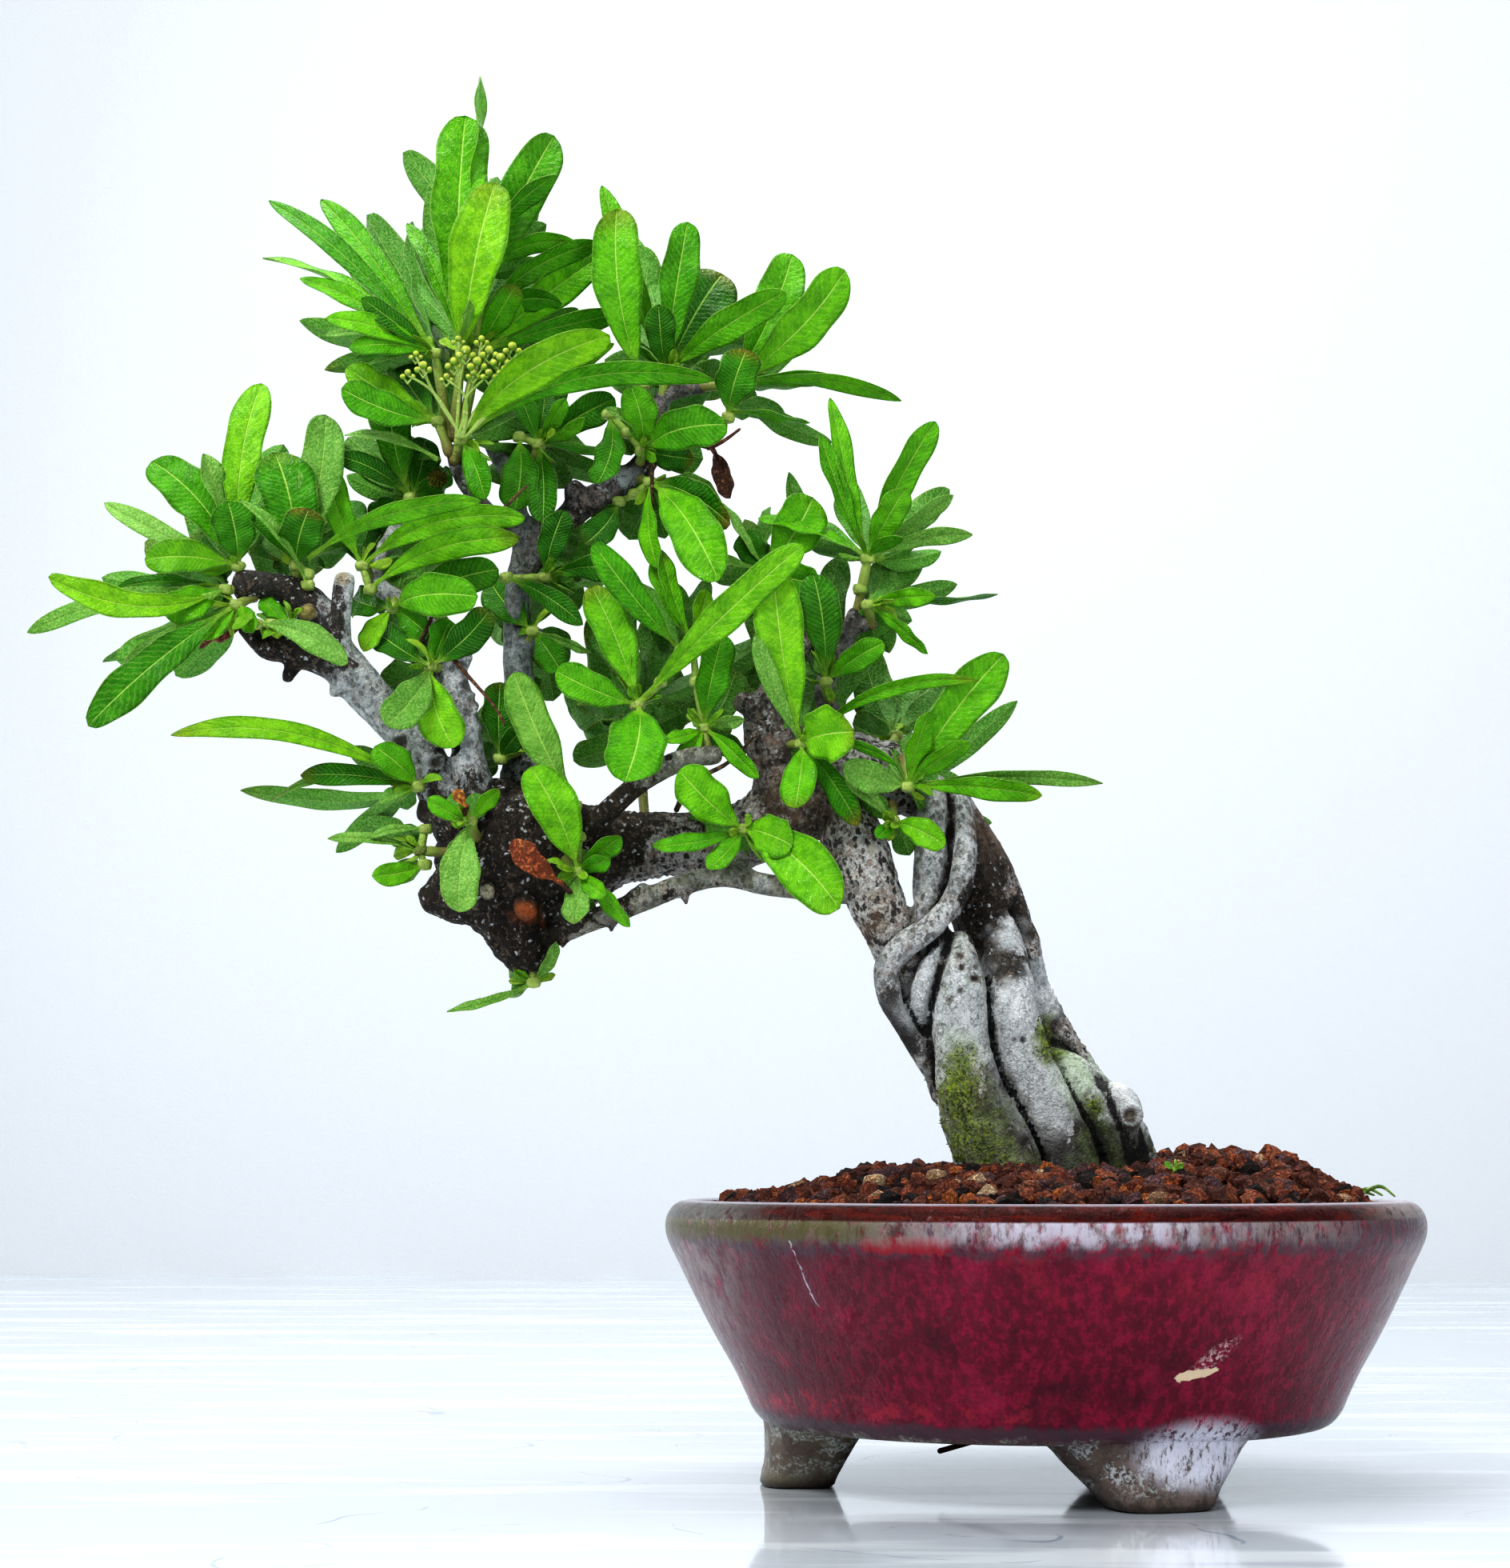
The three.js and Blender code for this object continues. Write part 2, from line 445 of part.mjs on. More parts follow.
      [-91, 181, -24, 11, 10, 0.04, 0.05], [-51, 146, -30, 14, 5, 0.08, 0.07],
      [-98, 162, -20, 5, 20, 0.05, 0.03], [-63, 162, -26, 10, 5, 0.05, 0.06],
      [-84, 156, -20, 6, 20, 0.05, 0.03],
    ],
  },
  shoot_gnarl_front: {
    root: [-65, 188, -6], node: [-60, 188, -13],
    leaves: [
      [-67, 234, -24, 12, 5, 0.03, 0.06], [-72, 216, -26, 5, 15, 0.03, 0.03],
      [-15, 204, -26, 4, 25, 0.12, 0.04], [-47, 191, -28, 14, 0, 0.05, 0.08],
      [-36, 182, -20, 3, 40, 0.12, 0.03], [-46, 167, -16, 7, 20, 0.04, 0.04],
      [-62, 172, -22, 9, 10, 0.03, 0.05],
    ],
  },
  shoot_gnarl_top: {
    root: [-56, 219, 2], node: [-69, 233, -4],
    leaves: [
      [-57, 252, -8, 13, 0, -0.04, 0.06], [-75, 243, -6, 8, 5, 0.05, 0.05],
      [-90, 240, -12, 4, 50, 0.04, 0.02], [-79.5, 251, -10, 4, 50, 0.03, 0.02],
      [-56, 230, -10, 9, 10, -0.05, 0.05], [-78, 222, 16, 10, 175, 0.03, -0.05],
    ],
    stem: [[-62, 228, -1]],
  },
  shoot_gnarl_back: {
    root: [-66, 196, 4], node: [-64, 204, 14],
    leaves: [
      [-70, 230, 30, 12, 170, 0.04, -0.06], [-52, 222, 34, 12, 185, 0.04, -0.06],
      [-78, 208, 38, 11, 175, 0.04, -0.06], [-50, 198, 40, 12, 190, 0.03, -0.06],
      [-64, 184, 42, 12, 180, 0.03, -0.08],
    ],
  },
  shoot_right_spray: {
    root: [-46, 221, -2], node: [-43, 236, -6],
    leaves: [
      [-51, 279, -8, 6, 40, 0.03, 0.03], [-54, 269, -12, 6, 40, 0.04, 0.03],
      [-25, 272, -10, 8, 15, 0.04, 0.04], [-33, 254, -16, 8, 10, 0.03, 0.04],
      [-20, 252, -4, 5, 35, 0.04, 0.02], [-16, 242, -12, 5, 35, 0.08, 0.02],
      [-71, 247, -8, 6, 60, -0.06, 0.03], [-65, 248, 4, 6, 60, -0.06, 0.03],
      [-34, 241, -18, 4, 20, 0.1, 0.02],
    ],
    stem: [[-45, 228, -4]],
  },
  shoot_right_spray_low: {
    root: [-42, 219, -4], node: [-43, 224, -8],
    leaves: [
      [-9.5, 225, -4, 5, 70, 0.02, 0.02], [-26, 226, -16, 5, 20, 0.04, 0.02],
      [-28, 211, -12, 4, 25, 0.04, 0.02], [-30, 236, 14, 9, 170, 0.04, -0.05],
      [-48, 212, 22, 10, 180, 0.04, -0.06],
    ],
  },
  shoot_right_inner: {
    root: [-53, 199, -1], node: [-54, 204, -8],
    leaves: [
      [-39, 214, -14, 7, 15, 0.04, 0.04], [-57, 232, -14, 10, 10, -0.04, 0.05],
      [-50, 236, 18, 9, 170, 0.04, -0.05],
    ],
  },
  shoot_arch_right: {
    root: [-34, 184, -5], node: [-33, 177, -15],
    leaves: [
      [-8, 211, -22, 12, 10, 0.04, 0.06], [-17, 188, -20, 6, 30, 0.06, 0.04],
      [-27, 196, -24, 7, 30, 0.04, 0.04], [17, 177, -16, 4, 25, 0.05, 0.02],
      [1, 174, -20, 6, 20, 0.04, 0.03], [-49, 182, -24, 8, 10, 0.04, 0.04],
    ],
  },
  shoot_arch_low: {
    root: [-37, 172, -6], node: [-37, 168, -15],
    leaves: [
      [-24, 162, -24, 7, 5, 0.05, 0.04], [-49, 179, -20, 4, 25, -0.04, 0.03],
      [-41, 164, -20, 4, 20, 0.04, 0.03],
    ],
  },
  shoot_arch_back: {
    root: [-38, 186, 8], node: [-36, 190, 18],
    leaves: [
      [-16, 202, 30, 11, 170, 0.04, -0.06], [-44, 212, 34, 11, 185, 0.04, -0.06],
      [-30, 178, 40, 12, 180, 0.03, -0.08], [-52, 186, 36, 11, 175, 0.04, -0.06],
    ],
  },
};

// dried leaves: [x, z, depth] of the stalk's start, the leaf's base and its tip, then its width
const DRY_LEAVES = {
  dry_leaf_hanging: {
    stalk: [-94, 268, -8], base: [-83, 265, -8], tip: [-79, 252, -10], width: 5.5,
  },
  dry_leaf_orange: {
    stalk: [-146, 170, -25], base: [-145.5, 171.5, -26], tip: [-148.5, 176, -27], width: 3,
  },
  dry_leaf_brown: {
    stalk: [-119, 150, -19], base: [-121, 152, -20], tip: [-134, 163, -24], width: 6.5,
  },
};

// flower buds: [x, z, depth, radius], on stalks that rise from BUD_FOOT
const BUD_FOOT = [-149, 276, -15];
const BUDS = [
  [-150, 288, -17, 1.5], [-147, 291, -18, 1.6], [-144, 288, -19, 1.6], [-141, 291, -18, 1.5],
  [-138, 289, -19, 1.6], [-135, 292, -18, 1.5], [-158, 287, -17, 1.4], [-162, 285, -17, 1.2],
];

// grass at the right-hand rim: [x, z, depth] of foot, crown and tip of each blade
const GRASS = [
  [[78.5, 73.6, -8], [81.5, 75.6, -9], [84.5, 74.6, -10]],
  [[78.5, 73.6, -8], [84.5, 76.2, -10], [88.4, 73.9, -11]],
  [[78.5, 73.6, -8], [82, 74.8, -5], [86.5, 74, -2]],
];

const SEEDLING = { foot: [33, 77.2, -45], crown: [33.4, 80, -45.5], leaf_reach: 2.4 };

// loose stones on the soil: [x, y, radius]
const STONES = [[-43.5, -38, 2.9], [-29, -45, 2.7], [-8, -62, 2.4], [38, -46, 2.8], [20, 66, 3]];

// ---------------------------------------------------------------- general shaping

/** Place of a point of the front drawing. */
function drawn([x, z, depth]) {
  const point = new THREE.Vector3(x, 0, z - DRAWING_DROP).sub(VIEW_POINT);
  return point.multiplyScalar(1 - depth / VIEW_POINT.y).add(VIEW_POINT);
}

/** Closed three.js geometry as a manifold-3d solid. */
function toSolid(geometry) {
  const bare = geometry.clone();
  bare.deleteAttribute('normal');
  bare.deleteAttribute('uv');
  const merged = mergeVertices(bare, 1e-5);
  return new wasm.Manifold(new wasm.Mesh({
    numProp: 3,
    vertProperties: new Float32Array(merged.attributes.position.array),
    triVerts: new Uint32Array(merged.index.array),
  }));
}

/** One solid out of several that touch. */
function joined(solids) {
  return solids.reduce((whole, next) => whole.add(next));
}

/** The biggest body that is left after a cut. */
function biggest(solid) {
  const bodies = solid.decompose();
  return bodies.reduce((best, body) => (body.volume() > best.volume() ? body : best));
}

/** Named mesh from a solid. */
function toMesh(name, solid, material) {
  const { vertProperties, triVerts } = solid.getMesh();
  const geometry = new THREE.BufferGeometry();
  geometry.setAttribute('position', new THREE.BufferAttribute(new Float32Array(vertProperties), 3));
  geometry.setIndex(new THREE.BufferAttribute(new Uint32Array(triVerts), 1));
  geometry.computeVertexNormals();
  const mesh = new THREE.Mesh(geometry, material);
  mesh.name = name;
  return mesh;
}

/** Lays a unit cylinder along a path: section(t, across, up) gives the place of each vertex. */
function loft(sides, steps, section) {
  const geometry = new THREE.CylinderGeometry(1, 1, 1, sides, steps);
  const position = geometry.attributes.position;
  for (let i = 0; i < position.count; i += 1) {
    const place = section(position.getY(i) + 0.5, position.getX(i), position.getZ(i));
    position.setXYZ(i, place.x, place.y, place.z);
  }
  return toSolid(geometry);
}

/** How far the ends of a swollen shape reach past the plain one's. */
function endGrowth(t, grow) {
  if (t === 0) return -grow;
  return t === 1 ? grow : 0;
}

/** Tapered round limb through [x, z, depth, radius] stations, swollen by grow. */
function limb(stations, sides, grow = 0) {
  const curve = new THREE.CatmullRomCurve3(stations.map(drawn));
  const steps = stations.length - 1;
  const frames = curve.computeFrenetFrames(steps);
  return loft(sides, steps, (t, across, up) => {
    const at = t * (stations.length - 1);
    const low = Math.min(Math.floor(at), stations.length - 2);
    const radius = THREE.MathUtils.lerp(stations[low][3], stations[low + 1][3], at - low) + grow;
    const frame = Math.round(t * steps);
    const place = curve.getPoint(t);
    place.addScaledVector(frames.tangents[frame], endGrowth(t, grow));
    return place
      .addScaledVector(frames.normals[frame], across * radius)
      .addScaledVector(frames.binormals[frame], -up * radius);
  });
}

/** Half width of a leaf along its length, as a part of its greatest: a stalk, then the blade. */
function leafOutline(t) {
  const blade = THREE.MathUtils.clamp((t - 0.1) / 0.9, 0, 1);
  return Math.sin(Math.PI * blade ** 1.35) ** 0.75;
}

/** Triangle across a leaf: two raised edges and a keel, its sides moved out by grow. */
function leafSection(half, grow) {
  const rise = half * LEAF_FOLD;
  const slope = (rise + LEAF_THICKNESS) / half;
  const drop = grow * Math.min(Math.hypot(1, slope), 2);
  const reach = Math.max((rise + grow + LEAF_THICKNESS + drop) / slope, half + 1.2 * grow);
  return { reach: grow > 0 ? reach : half, edge: rise + grow, keel: -LEAF_THICKNESS - drop };
}

/** Thin, keeled, bowed leaf from base to tip, swollen by grow. */
function leaf([tipX, tipZ, tipDepth, width, turn, sweep, bulge], base, grow = 0) {
  const to = drawn([tipX, tipZ, tipDepth]);
  const along = to.clone().sub(drawn(base)).normalize();
  const from = drawn(base).addScaledVector(along, LEAF_START);
  const length = to.distanceTo(from);
  const front = VIEW_POINT.clone().sub(from);
  front.addScaledVector(along, -front.dot(along)).normalize();
  const left = front.clone().cross(along);
  const face = front.clone().applyAxisAngle(along, THREE.MathUtils.degToRad(turn));
  const side = along.clone().cross(face);
  return loft(3, width > 5 ? 3 : 2, (t, across, up) => {
    const bow = 4 * t * (1 - t) * length;
    const half = Math.max(leafOutline(t) * width, STALK_WIDTH * (1 - t) + 0.4) / 2;
    const section = leafSection(half, grow);
    return from.clone()
      .addScaledVector(along, t * length + endGrowth(t, grow))
      .addScaledVector(left, sweep * bow)
      .addScaledVector(front, bulge * bow)
      .addScaledVector(side, -Math.sign(Math.round(across * 9)) * section.reach)
      .addScaledVector(face, up < 0 ? section.edge : section.keel);
  });
}

// ---------------------------------------------------------------- pot, screen and clip

/** Points down the inside of the wall, from the rim to the floor. */
function innerWall(inset) {
  return WALL_LINE.map(([radius, height]) => [radius - inset, height + 1]).reverse();
}

/** Ring of the pot's wall, floor and rolled rim, turned about the upright axis. */
function potShell() {
  const profile = [
    [DRAIN_RADIUS, BASE_UNDERSIDE], [BASE_RADIUS, BASE_UNDERSIDE],
    [BASE_RADIUS + 4, BASE_UNDERSIDE + 2.8], ...WALL_LINE, [RIM_RADIUS - 0.4, 61],
    [RIM_RADIUS, 64], [RIM_RADIUS - 1.6, 67.8], [RIM_CREST_RADIUS, RIM_HEIGHT], [86, 69],
    [84.8, 65.5], ...innerWall(WALL), [BASE_RADIUS - 3, FLOOR_LEVEL],
    [DRAIN_RADIUS, FLOOR_LEVEL], [DRAIN_RADIUS, BASE_UNDERSIDE],
  ];
  return turned(profile);
}

/** Solid of revolution about +Z from [radius, height] points. */
function turned(profile, segments = 32) {
  const points = profile.map(([radius, height]) => new THREE.Vector2(radius, height));
  return toSolid(new THREE.LatheGeometry(points, segments).rotateX(Math.PI / 2));
}

/** One foot: a block that narrows to its toe, kept between an inner and an outer cone. */
function foot(angle) {
  const outline = new THREE.Shape([
    new THREE.Vector2(-FOOT_TOP_WIDTH / 2, FOOT_TOP_LEVEL),
    new THREE.Vector2(-FOOT_TOP_WIDTH / 2, FOOT_TOP_LEVEL - 3.5),
    new THREE.Vector2(-FOOT_TOE_WIDTH / 2 - 2.5, 4),
    new THREE.Vector2(-FOOT_TOE_WIDTH / 2, 0),
    new THREE.Vector2(FOOT_TOE_WIDTH / 2, 0),
    new THREE.Vector2(FOOT_TOE_WIDTH / 2 + 2.5, 4),
    new THREE.Vector2(FOOT_TOP_WIDTH / 2, FOOT_TOP_LEVEL - 3.5),
    new THREE.Vector2(FOOT_TOP_WIDTH / 2, FOOT_TOP_LEVEL),
  ]);
  const block = new THREE.ExtrudeGeometry(outline, { depth: 50, bevelEnabled: false });
  block.rotateX(Math.PI / 2);
  block.translate(0, -34, 0);
  block.rotateZ(THREE.MathUtils.degToRad(angle));
  const band = turned([[46, FOOT_TOP_LEVEL], [53, 0], [71, 0], [70.2, 4], [69.4, 12],
    [69.8, FOOT_TOP_LEVEL], [46, FOOT_TOP_LEVEL]]);
  return toSolid(block).intersect(band);
}

function makePot() {
  return toMesh('pot', joined([potShell(), ...FOOT_ANGLES.map(foot)]), GLAZE);
}

/** Square of plastic netting that keeps the soil in. */
function makeDrainScreen() {
  let net = toSolid(new THREE.BoxGeometry(SCREEN_SIDE, SCREEN_SIDE, SCREEN_THICKNESS));
  for (let column = -1; column <= 1; column += 1) {
    for (let row = -1; row <= 1; row += 1) {
      const opening = new THREE.BoxGeometry(SCREEN_HOLE, SCREEN_HOLE, SCREEN_THICKNESS * 3);
      opening.translate(column * SCREEN_PITCH, row * SCREEN_PITCH, 0);
      net = net.subtract(toSolid(opening));
    }
  }
  const level = FLOOR_LEVEL + CLEARANCE + SCREEN_THICKNESS / 2;
  return toMesh('drain_screen', net.translate([0, 0, level]), NYLON);
}

/** Wire staple over the screen, its legs turned out under the pot, the left one hanging a little. */
function makeScreenClip() {
  const top = FLOOR_LEVEL + CLEARANCE * 2 + SCREEN_THICKNESS + CLIP_WIRE_RADIUS;
  const under = BASE_UNDERSIDE - CLEARANCE - CLIP_WIRE_RADIUS;
  const route = [
    [-CLIP_LEG_REACH - 4, under - CLIP_LEG_DROP], [-CLIP_HALF_SPAN - 2, under - 1],
    [-CLIP_HALF_SPAN, under + 2], [-CLIP_HALF_SPAN, top - 1.5],
    [-CLIP_HALF_SPAN + 1.5, top], [CLIP_HALF_SPAN - 1.5, top],
    [CLIP_HALF_SPAN, top - 1.5], [CLIP_HALF_SPAN, under + 2], [CLIP_HALF_SPAN + 2, under],
    [CLIP_LEG_REACH, under],
  ];
  const path = new THREE.CurvePath();
  for (let i = 1; i < route.length; i += 1) {
    const [x0, z0] = route[i - 1];
    const [x1, z1] = route[i];
    path.add(new THREE.LineCurve3(new THREE.Vector3(x0, 0, z0), new THREE.Vector3(x1, 0, z1)));
  }
  const smooth = new THREE.CatmullRomCurve3(path.getSpacedPoints(30));
  const section = new THREE.Shape();
  section.absarc(0, 0, CLIP_WIRE_RADIUS, 0, Math.PI * 2);
  const rod = { steps: 24, curveSegments: 4, extrudePath: smooth };
  const wire = new THREE.ExtrudeGeometry(section, rod);
  return toMesh('screen_clip_wire', toSolid(wire), WIRE);
}

// ---------------------------------------------------------------- soil and stones

/** Height of the soil: level at the rim, mounded by the trunk, heaped at the right, low in front. */
function soilLevel(x, y) {
  const { smoothstep } = THREE.MathUtils;
  const edge = smoothstep(SOIL_RADIUS - Math.hypot(x, y), 0, 8);
  const mound = 7 * smoothstep(SOIL_RADIUS - Math.hypot(x - 8, y), 2, 40);
  const across = smoothstep(x, 22, 36) * smoothstep(-x, -76, -58);
  const heap = 4.2 * across * Math.exp(-(((y - 6) / 30) ** 2));
  const dip = -2 * Math.exp(-(((x - 14) / 26) ** 2) - ((y + 42) / 22) ** 2);
  return SOIL_EDGE_LEVEL + (mound + heap + dip) * edge;
}

/** Soil that fills the pot up to its mounded top, with room for the trunk and the roots. */
function makeSoil(trunkRoom) {
  const profile = [
    [0, SOIL_BOTTOM], [BASE_RADIUS - 2, SOIL_BOTTOM], ...innerWall(WALL + 0.6).reverse().slice(1),
    [SOIL_RADIUS, 64.5],
    ...[SOIL_RADIUS - 0.5, 78, 70, 60, 48, 34, 18, 0].map((radius) => [radius, SOIL_EDGE_LEVEL]),
  ];
  const points = profile.map(([radius, height]) => new THREE.Vector2(radius, height));
  const geometry = new THREE.LatheGeometry(points, 24).rotateX(Math.PI / 2);
  const position = geometry.attributes.position;
  for (let i = 0; i < position.count; i += 1) {
    if (position.getZ(i) > SOIL_EDGE_LEVEL - 0.01) {
      position.setZ(i, soilLevel(position.getX(i), position.getY(i)));
    }
  }
  return toMesh('soil_bed', biggest(toSolid(geometry).subtract(trunkRoom)), GRIT);
}

/** Loose stones that lie on the soil. */
function makeStones() {
  return STONES.map(([x, y, radius], index) => {
    const stone = new THREE.IcosahedronGeometry(radius, 0);
    stone.scale(1.15, 1, 0.8);
    stone.translate(x, y, soilLevel(x, y) + radius * 0.8 + 0.6);
    return toMesh(`stone_${index + 1}`, toSolid(stone), STONE);
  });
}

// ---------------------------------------------------------------- tree

/** The grown wood: all limbs as one piece, each swollen by grow. */
function trunkSolid(grow = 0) {
  return joined(LIMBS.map((stations) => limb(stations, stations[0][3] > 6 ? 8 : 5, grow)));
}

/** A shoot: its green stem, a knuckle where the leaves start, and the leaves. */
function shootSolid({ root, node, leaves, stem = [] }, grow = 0) {
  const route = [root, node, ...stem];
  const first = stem.length > 0 ? [root, node] : route;
  const pieces = [limb(withRadius(first), 4, grow), knuckle(node, grow)];
  if (stem.length > 0) pieces.push(limb(withRadius([node, ...stem]), 4, grow));
  stem.forEach((place) => pieces.push(knuckle(place, grow)));
  leaves.forEach((row) => pieces.push(leaf(row, row.length > 7 ? row.slice(7) : node, grow)));
  return joined(pieces);
}

/** Stations of a shoot's stem, with the stem's radius added. */
function withRadius(places) {
  return places.map((place) => [...place, SHOOT_RADIUS]);
}

/** Small round swelling at a leaf joint. */
function knuckle(place, grow) {
  const ball = new THREE.OctahedronGeometry(KNUCKLE_RADIUS + 1.5 * grow, 0);
  const { x, y, z } = drawn(place);
  return toSolid(ball.translate(x, y, z));
}

/** Dried leaf on its stalk. */
function dryLeafSolid({ stalk, base, tip, width }, grow = 0) {
  const twig = limb([[...stalk, 0.9], [...base, 0.9]], 6, grow);
  return joined([twig, leaf([...tip, width, 20, 0.05, 0.08], base, grow)]);
}

/** Flower buds on thin stalks that rise from one foot. */
function budsSolid(grow = 0) {
  const stalks = BUDS.map(([x, z, depth]) => limb([[...BUD_FOOT, 0.9], [x, z, depth, 0.7]], 3, grow));
  const heads = BUDS.map(([x, z, depth, radius]) => {
    const { x: right, y: back, z: up } = drawn([x, z, depth]);
    return toSolid(new THREE.IcosahedronGeometry(radius + grow, 0).translate(right, back, up));
  });
  return joined([...stalks, ...heads]);
}

/** Grass blades from one tuft. */
function grassSolid() {
  return joined(GRASS.map(([root, crown, tip]) => (
    limb([[...root, 0.8], [...crown, 0.7], [...tip, 0.5]], 5))));
}

/** Two-leaved seedling before the trunk. */
function seedlingSolid() {
  const { foot: low, crown, leaf_reach: reach } = SEEDLING;
  const [x, z, depth] = crown;
  const sides = [-1, 1].map((hand) => limb([
    [x, z, depth, 0.6], [x + hand * reach * 0.6, z + 0.8, depth - 0.6, 0.8],
    [x + hand * reach, z + 1.6, depth - 1, 0.4],
  ], 5));
  return joined([limb([[...low, 0.6], [...crown, 0.6]], 6), ...sides]);
}

/** Cuts each growth by the swollen shapes of the wood and of every growth before it. */
function trimmed(growths, wood) {
  const taken = [wood];
  const kept = [];
  growths.forEach(({ name, build, material }) => {
    const body = taken.reduce((left, other) => left.subtract(other), build(0));
    kept.push(toMesh(name, biggest(body), material));
    taken.push(build(CLEARANCE));
  });
  return kept;
}

function makeTree() {
  const trunk = trunkSolid();
  const room = trunkSolid(CLEARANCE);
  const growths = [
    { name: 'flower_buds', build: budsSolid, material: BUD },
    ...Object.entries(DRY_LEAVES).map(([name, row]) => (
      { name, build: (grow) => dryLeafSolid(row, grow), material: DRY })),
    ...Object.entries(SHOOTS).map(([name, row]) => (
      { name, build: (grow) => shootSolid(row, grow), material: LEAF })),
  ];
  return [toMesh('trunk', trunk, BARK), makeSoil(room), ...trimmed(growths, room)];
}

// ---------------------------------------------------------------- the whole plant

const plant = new THREE.Group();
plant.add(makePot(), makeDrainScreen(), makeScreenClip(), ...makeTree(), ...makeStones());
plant.add(toMesh('grass_blades', grassSolid(), LEAF), toMesh('seedling', seedlingSolid(), LEAF));

const outline = new THREE.Box3().setFromObject(plant);
const middle = outline.getCenter(new THREE.Vector3());
plant.position.set(-middle.x, -middle.y, -outline.min.z);

export default plant;
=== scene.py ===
"""Firethorn bonsai in a round glazed pot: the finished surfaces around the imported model.

The tree was set out as a front drawing. Each point has a place across (x) and up (z) on the
upright plane through the middle of the pot, and a depth behind that plane (+) or before it (-),
all in millimetres. Drawing.place() carries such points along the lines of sight to their true
places, in metres.
"""

import logging
from dataclasses import dataclass, field
from enum import Enum
from functools import partial
from typing import Any, Dict, List, Mapping, Sequence, Tuple, Union

import bpy
import numpy as np
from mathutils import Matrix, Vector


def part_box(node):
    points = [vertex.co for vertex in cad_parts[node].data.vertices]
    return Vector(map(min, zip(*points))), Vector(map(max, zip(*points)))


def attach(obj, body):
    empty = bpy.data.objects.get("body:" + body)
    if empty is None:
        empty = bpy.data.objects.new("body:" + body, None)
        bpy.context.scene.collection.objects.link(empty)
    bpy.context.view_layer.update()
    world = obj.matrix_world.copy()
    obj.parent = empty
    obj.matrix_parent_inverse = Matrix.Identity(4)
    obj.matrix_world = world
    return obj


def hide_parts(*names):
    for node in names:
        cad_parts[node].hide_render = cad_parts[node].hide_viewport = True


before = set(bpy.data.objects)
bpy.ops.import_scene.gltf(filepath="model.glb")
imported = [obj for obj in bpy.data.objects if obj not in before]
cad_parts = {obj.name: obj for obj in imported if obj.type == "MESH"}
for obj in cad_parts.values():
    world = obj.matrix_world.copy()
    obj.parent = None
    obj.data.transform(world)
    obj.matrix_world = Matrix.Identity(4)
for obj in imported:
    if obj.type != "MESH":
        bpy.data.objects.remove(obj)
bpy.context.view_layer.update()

LOG = logging.getLogger("bonsai")
MM = 0.001
BODY = "root"
UPRIGHT = np.array([[1.0, 0.0, 0.0, 0.0]])

Row = Tuple[float, ...]
Colour = Tuple[float, float, float, float]
Socket = bpy.types.NodeSocket
STEP = {"interpolation_type": "SMOOTHSTEP"}
TIMES = {"operation": "MULTIPLY"}
PLUS = {"operation": "ADD"}
MINUS = {"operation": "SUBTRACT"}
SCALE_ADD = {"operation": "MULTIPLY_ADD"}
SIZE = {"operation": "ABSOLUTE"}
MOST = {"operation": "MAXIMUM"}


# ---------------------------------------------------------------- colour and nodes


def linear(hex_colour: str) -> Colour:
    """Turn an sRGB hex colour into linear RGBA.

    Formula: c / 12.92 up to 0.04045, and ((c + 0.055) / 1.055) to the power 2.4 above it.

    Args:
        hex_colour: colour such as "#4c981a".

    Returns:
        Linear red, green and blue, and an alpha of one.
    """
    raw = np.array([int(hex_colour[i : i + 2], 16) for i in (1, 3, 5)]) / 255.0
    lin = np.where(raw <= 0.04045, raw / 12.92, ((raw + 0.055) / 1.055) ** 2.4)
    return (float(lin[0]), float(lin[1]), float(lin[2]), 1.0)


def add_node(
    tree: bpy.types.NodeTree,
    kind: str,
    inputs: Union[Sequence[Any], Mapping[int, Any]] = (),
    out: int = 0,
    **settings: Any,
) -> Socket:
    """Add one shader node with its settings and links.

    Args:
        tree: node tree that gets the node.
        kind: type of the node without its "ShaderNode" start, such as "TexNoise".
        inputs: a value or a socket for each input, in order or by number; None is left alone.
        out: number of the output to give back.
        **settings: attributes of the node.

    Returns:
        The chosen output socket.
    """
    node = tree.nodes.new("ShaderNode" + kind)
    for key, value in settings.items():
        setattr(node, key, value)
    pairs = inputs.items() if isinstance(inputs, Mapping) else enumerate(inputs)
    for number, value in pairs:
        if isinstance(value, Socket):
            tree.links.new(value, node.inputs[number])
        elif value is not None:
            node.inputs[number].default_value = value
    return node.outputs[out]


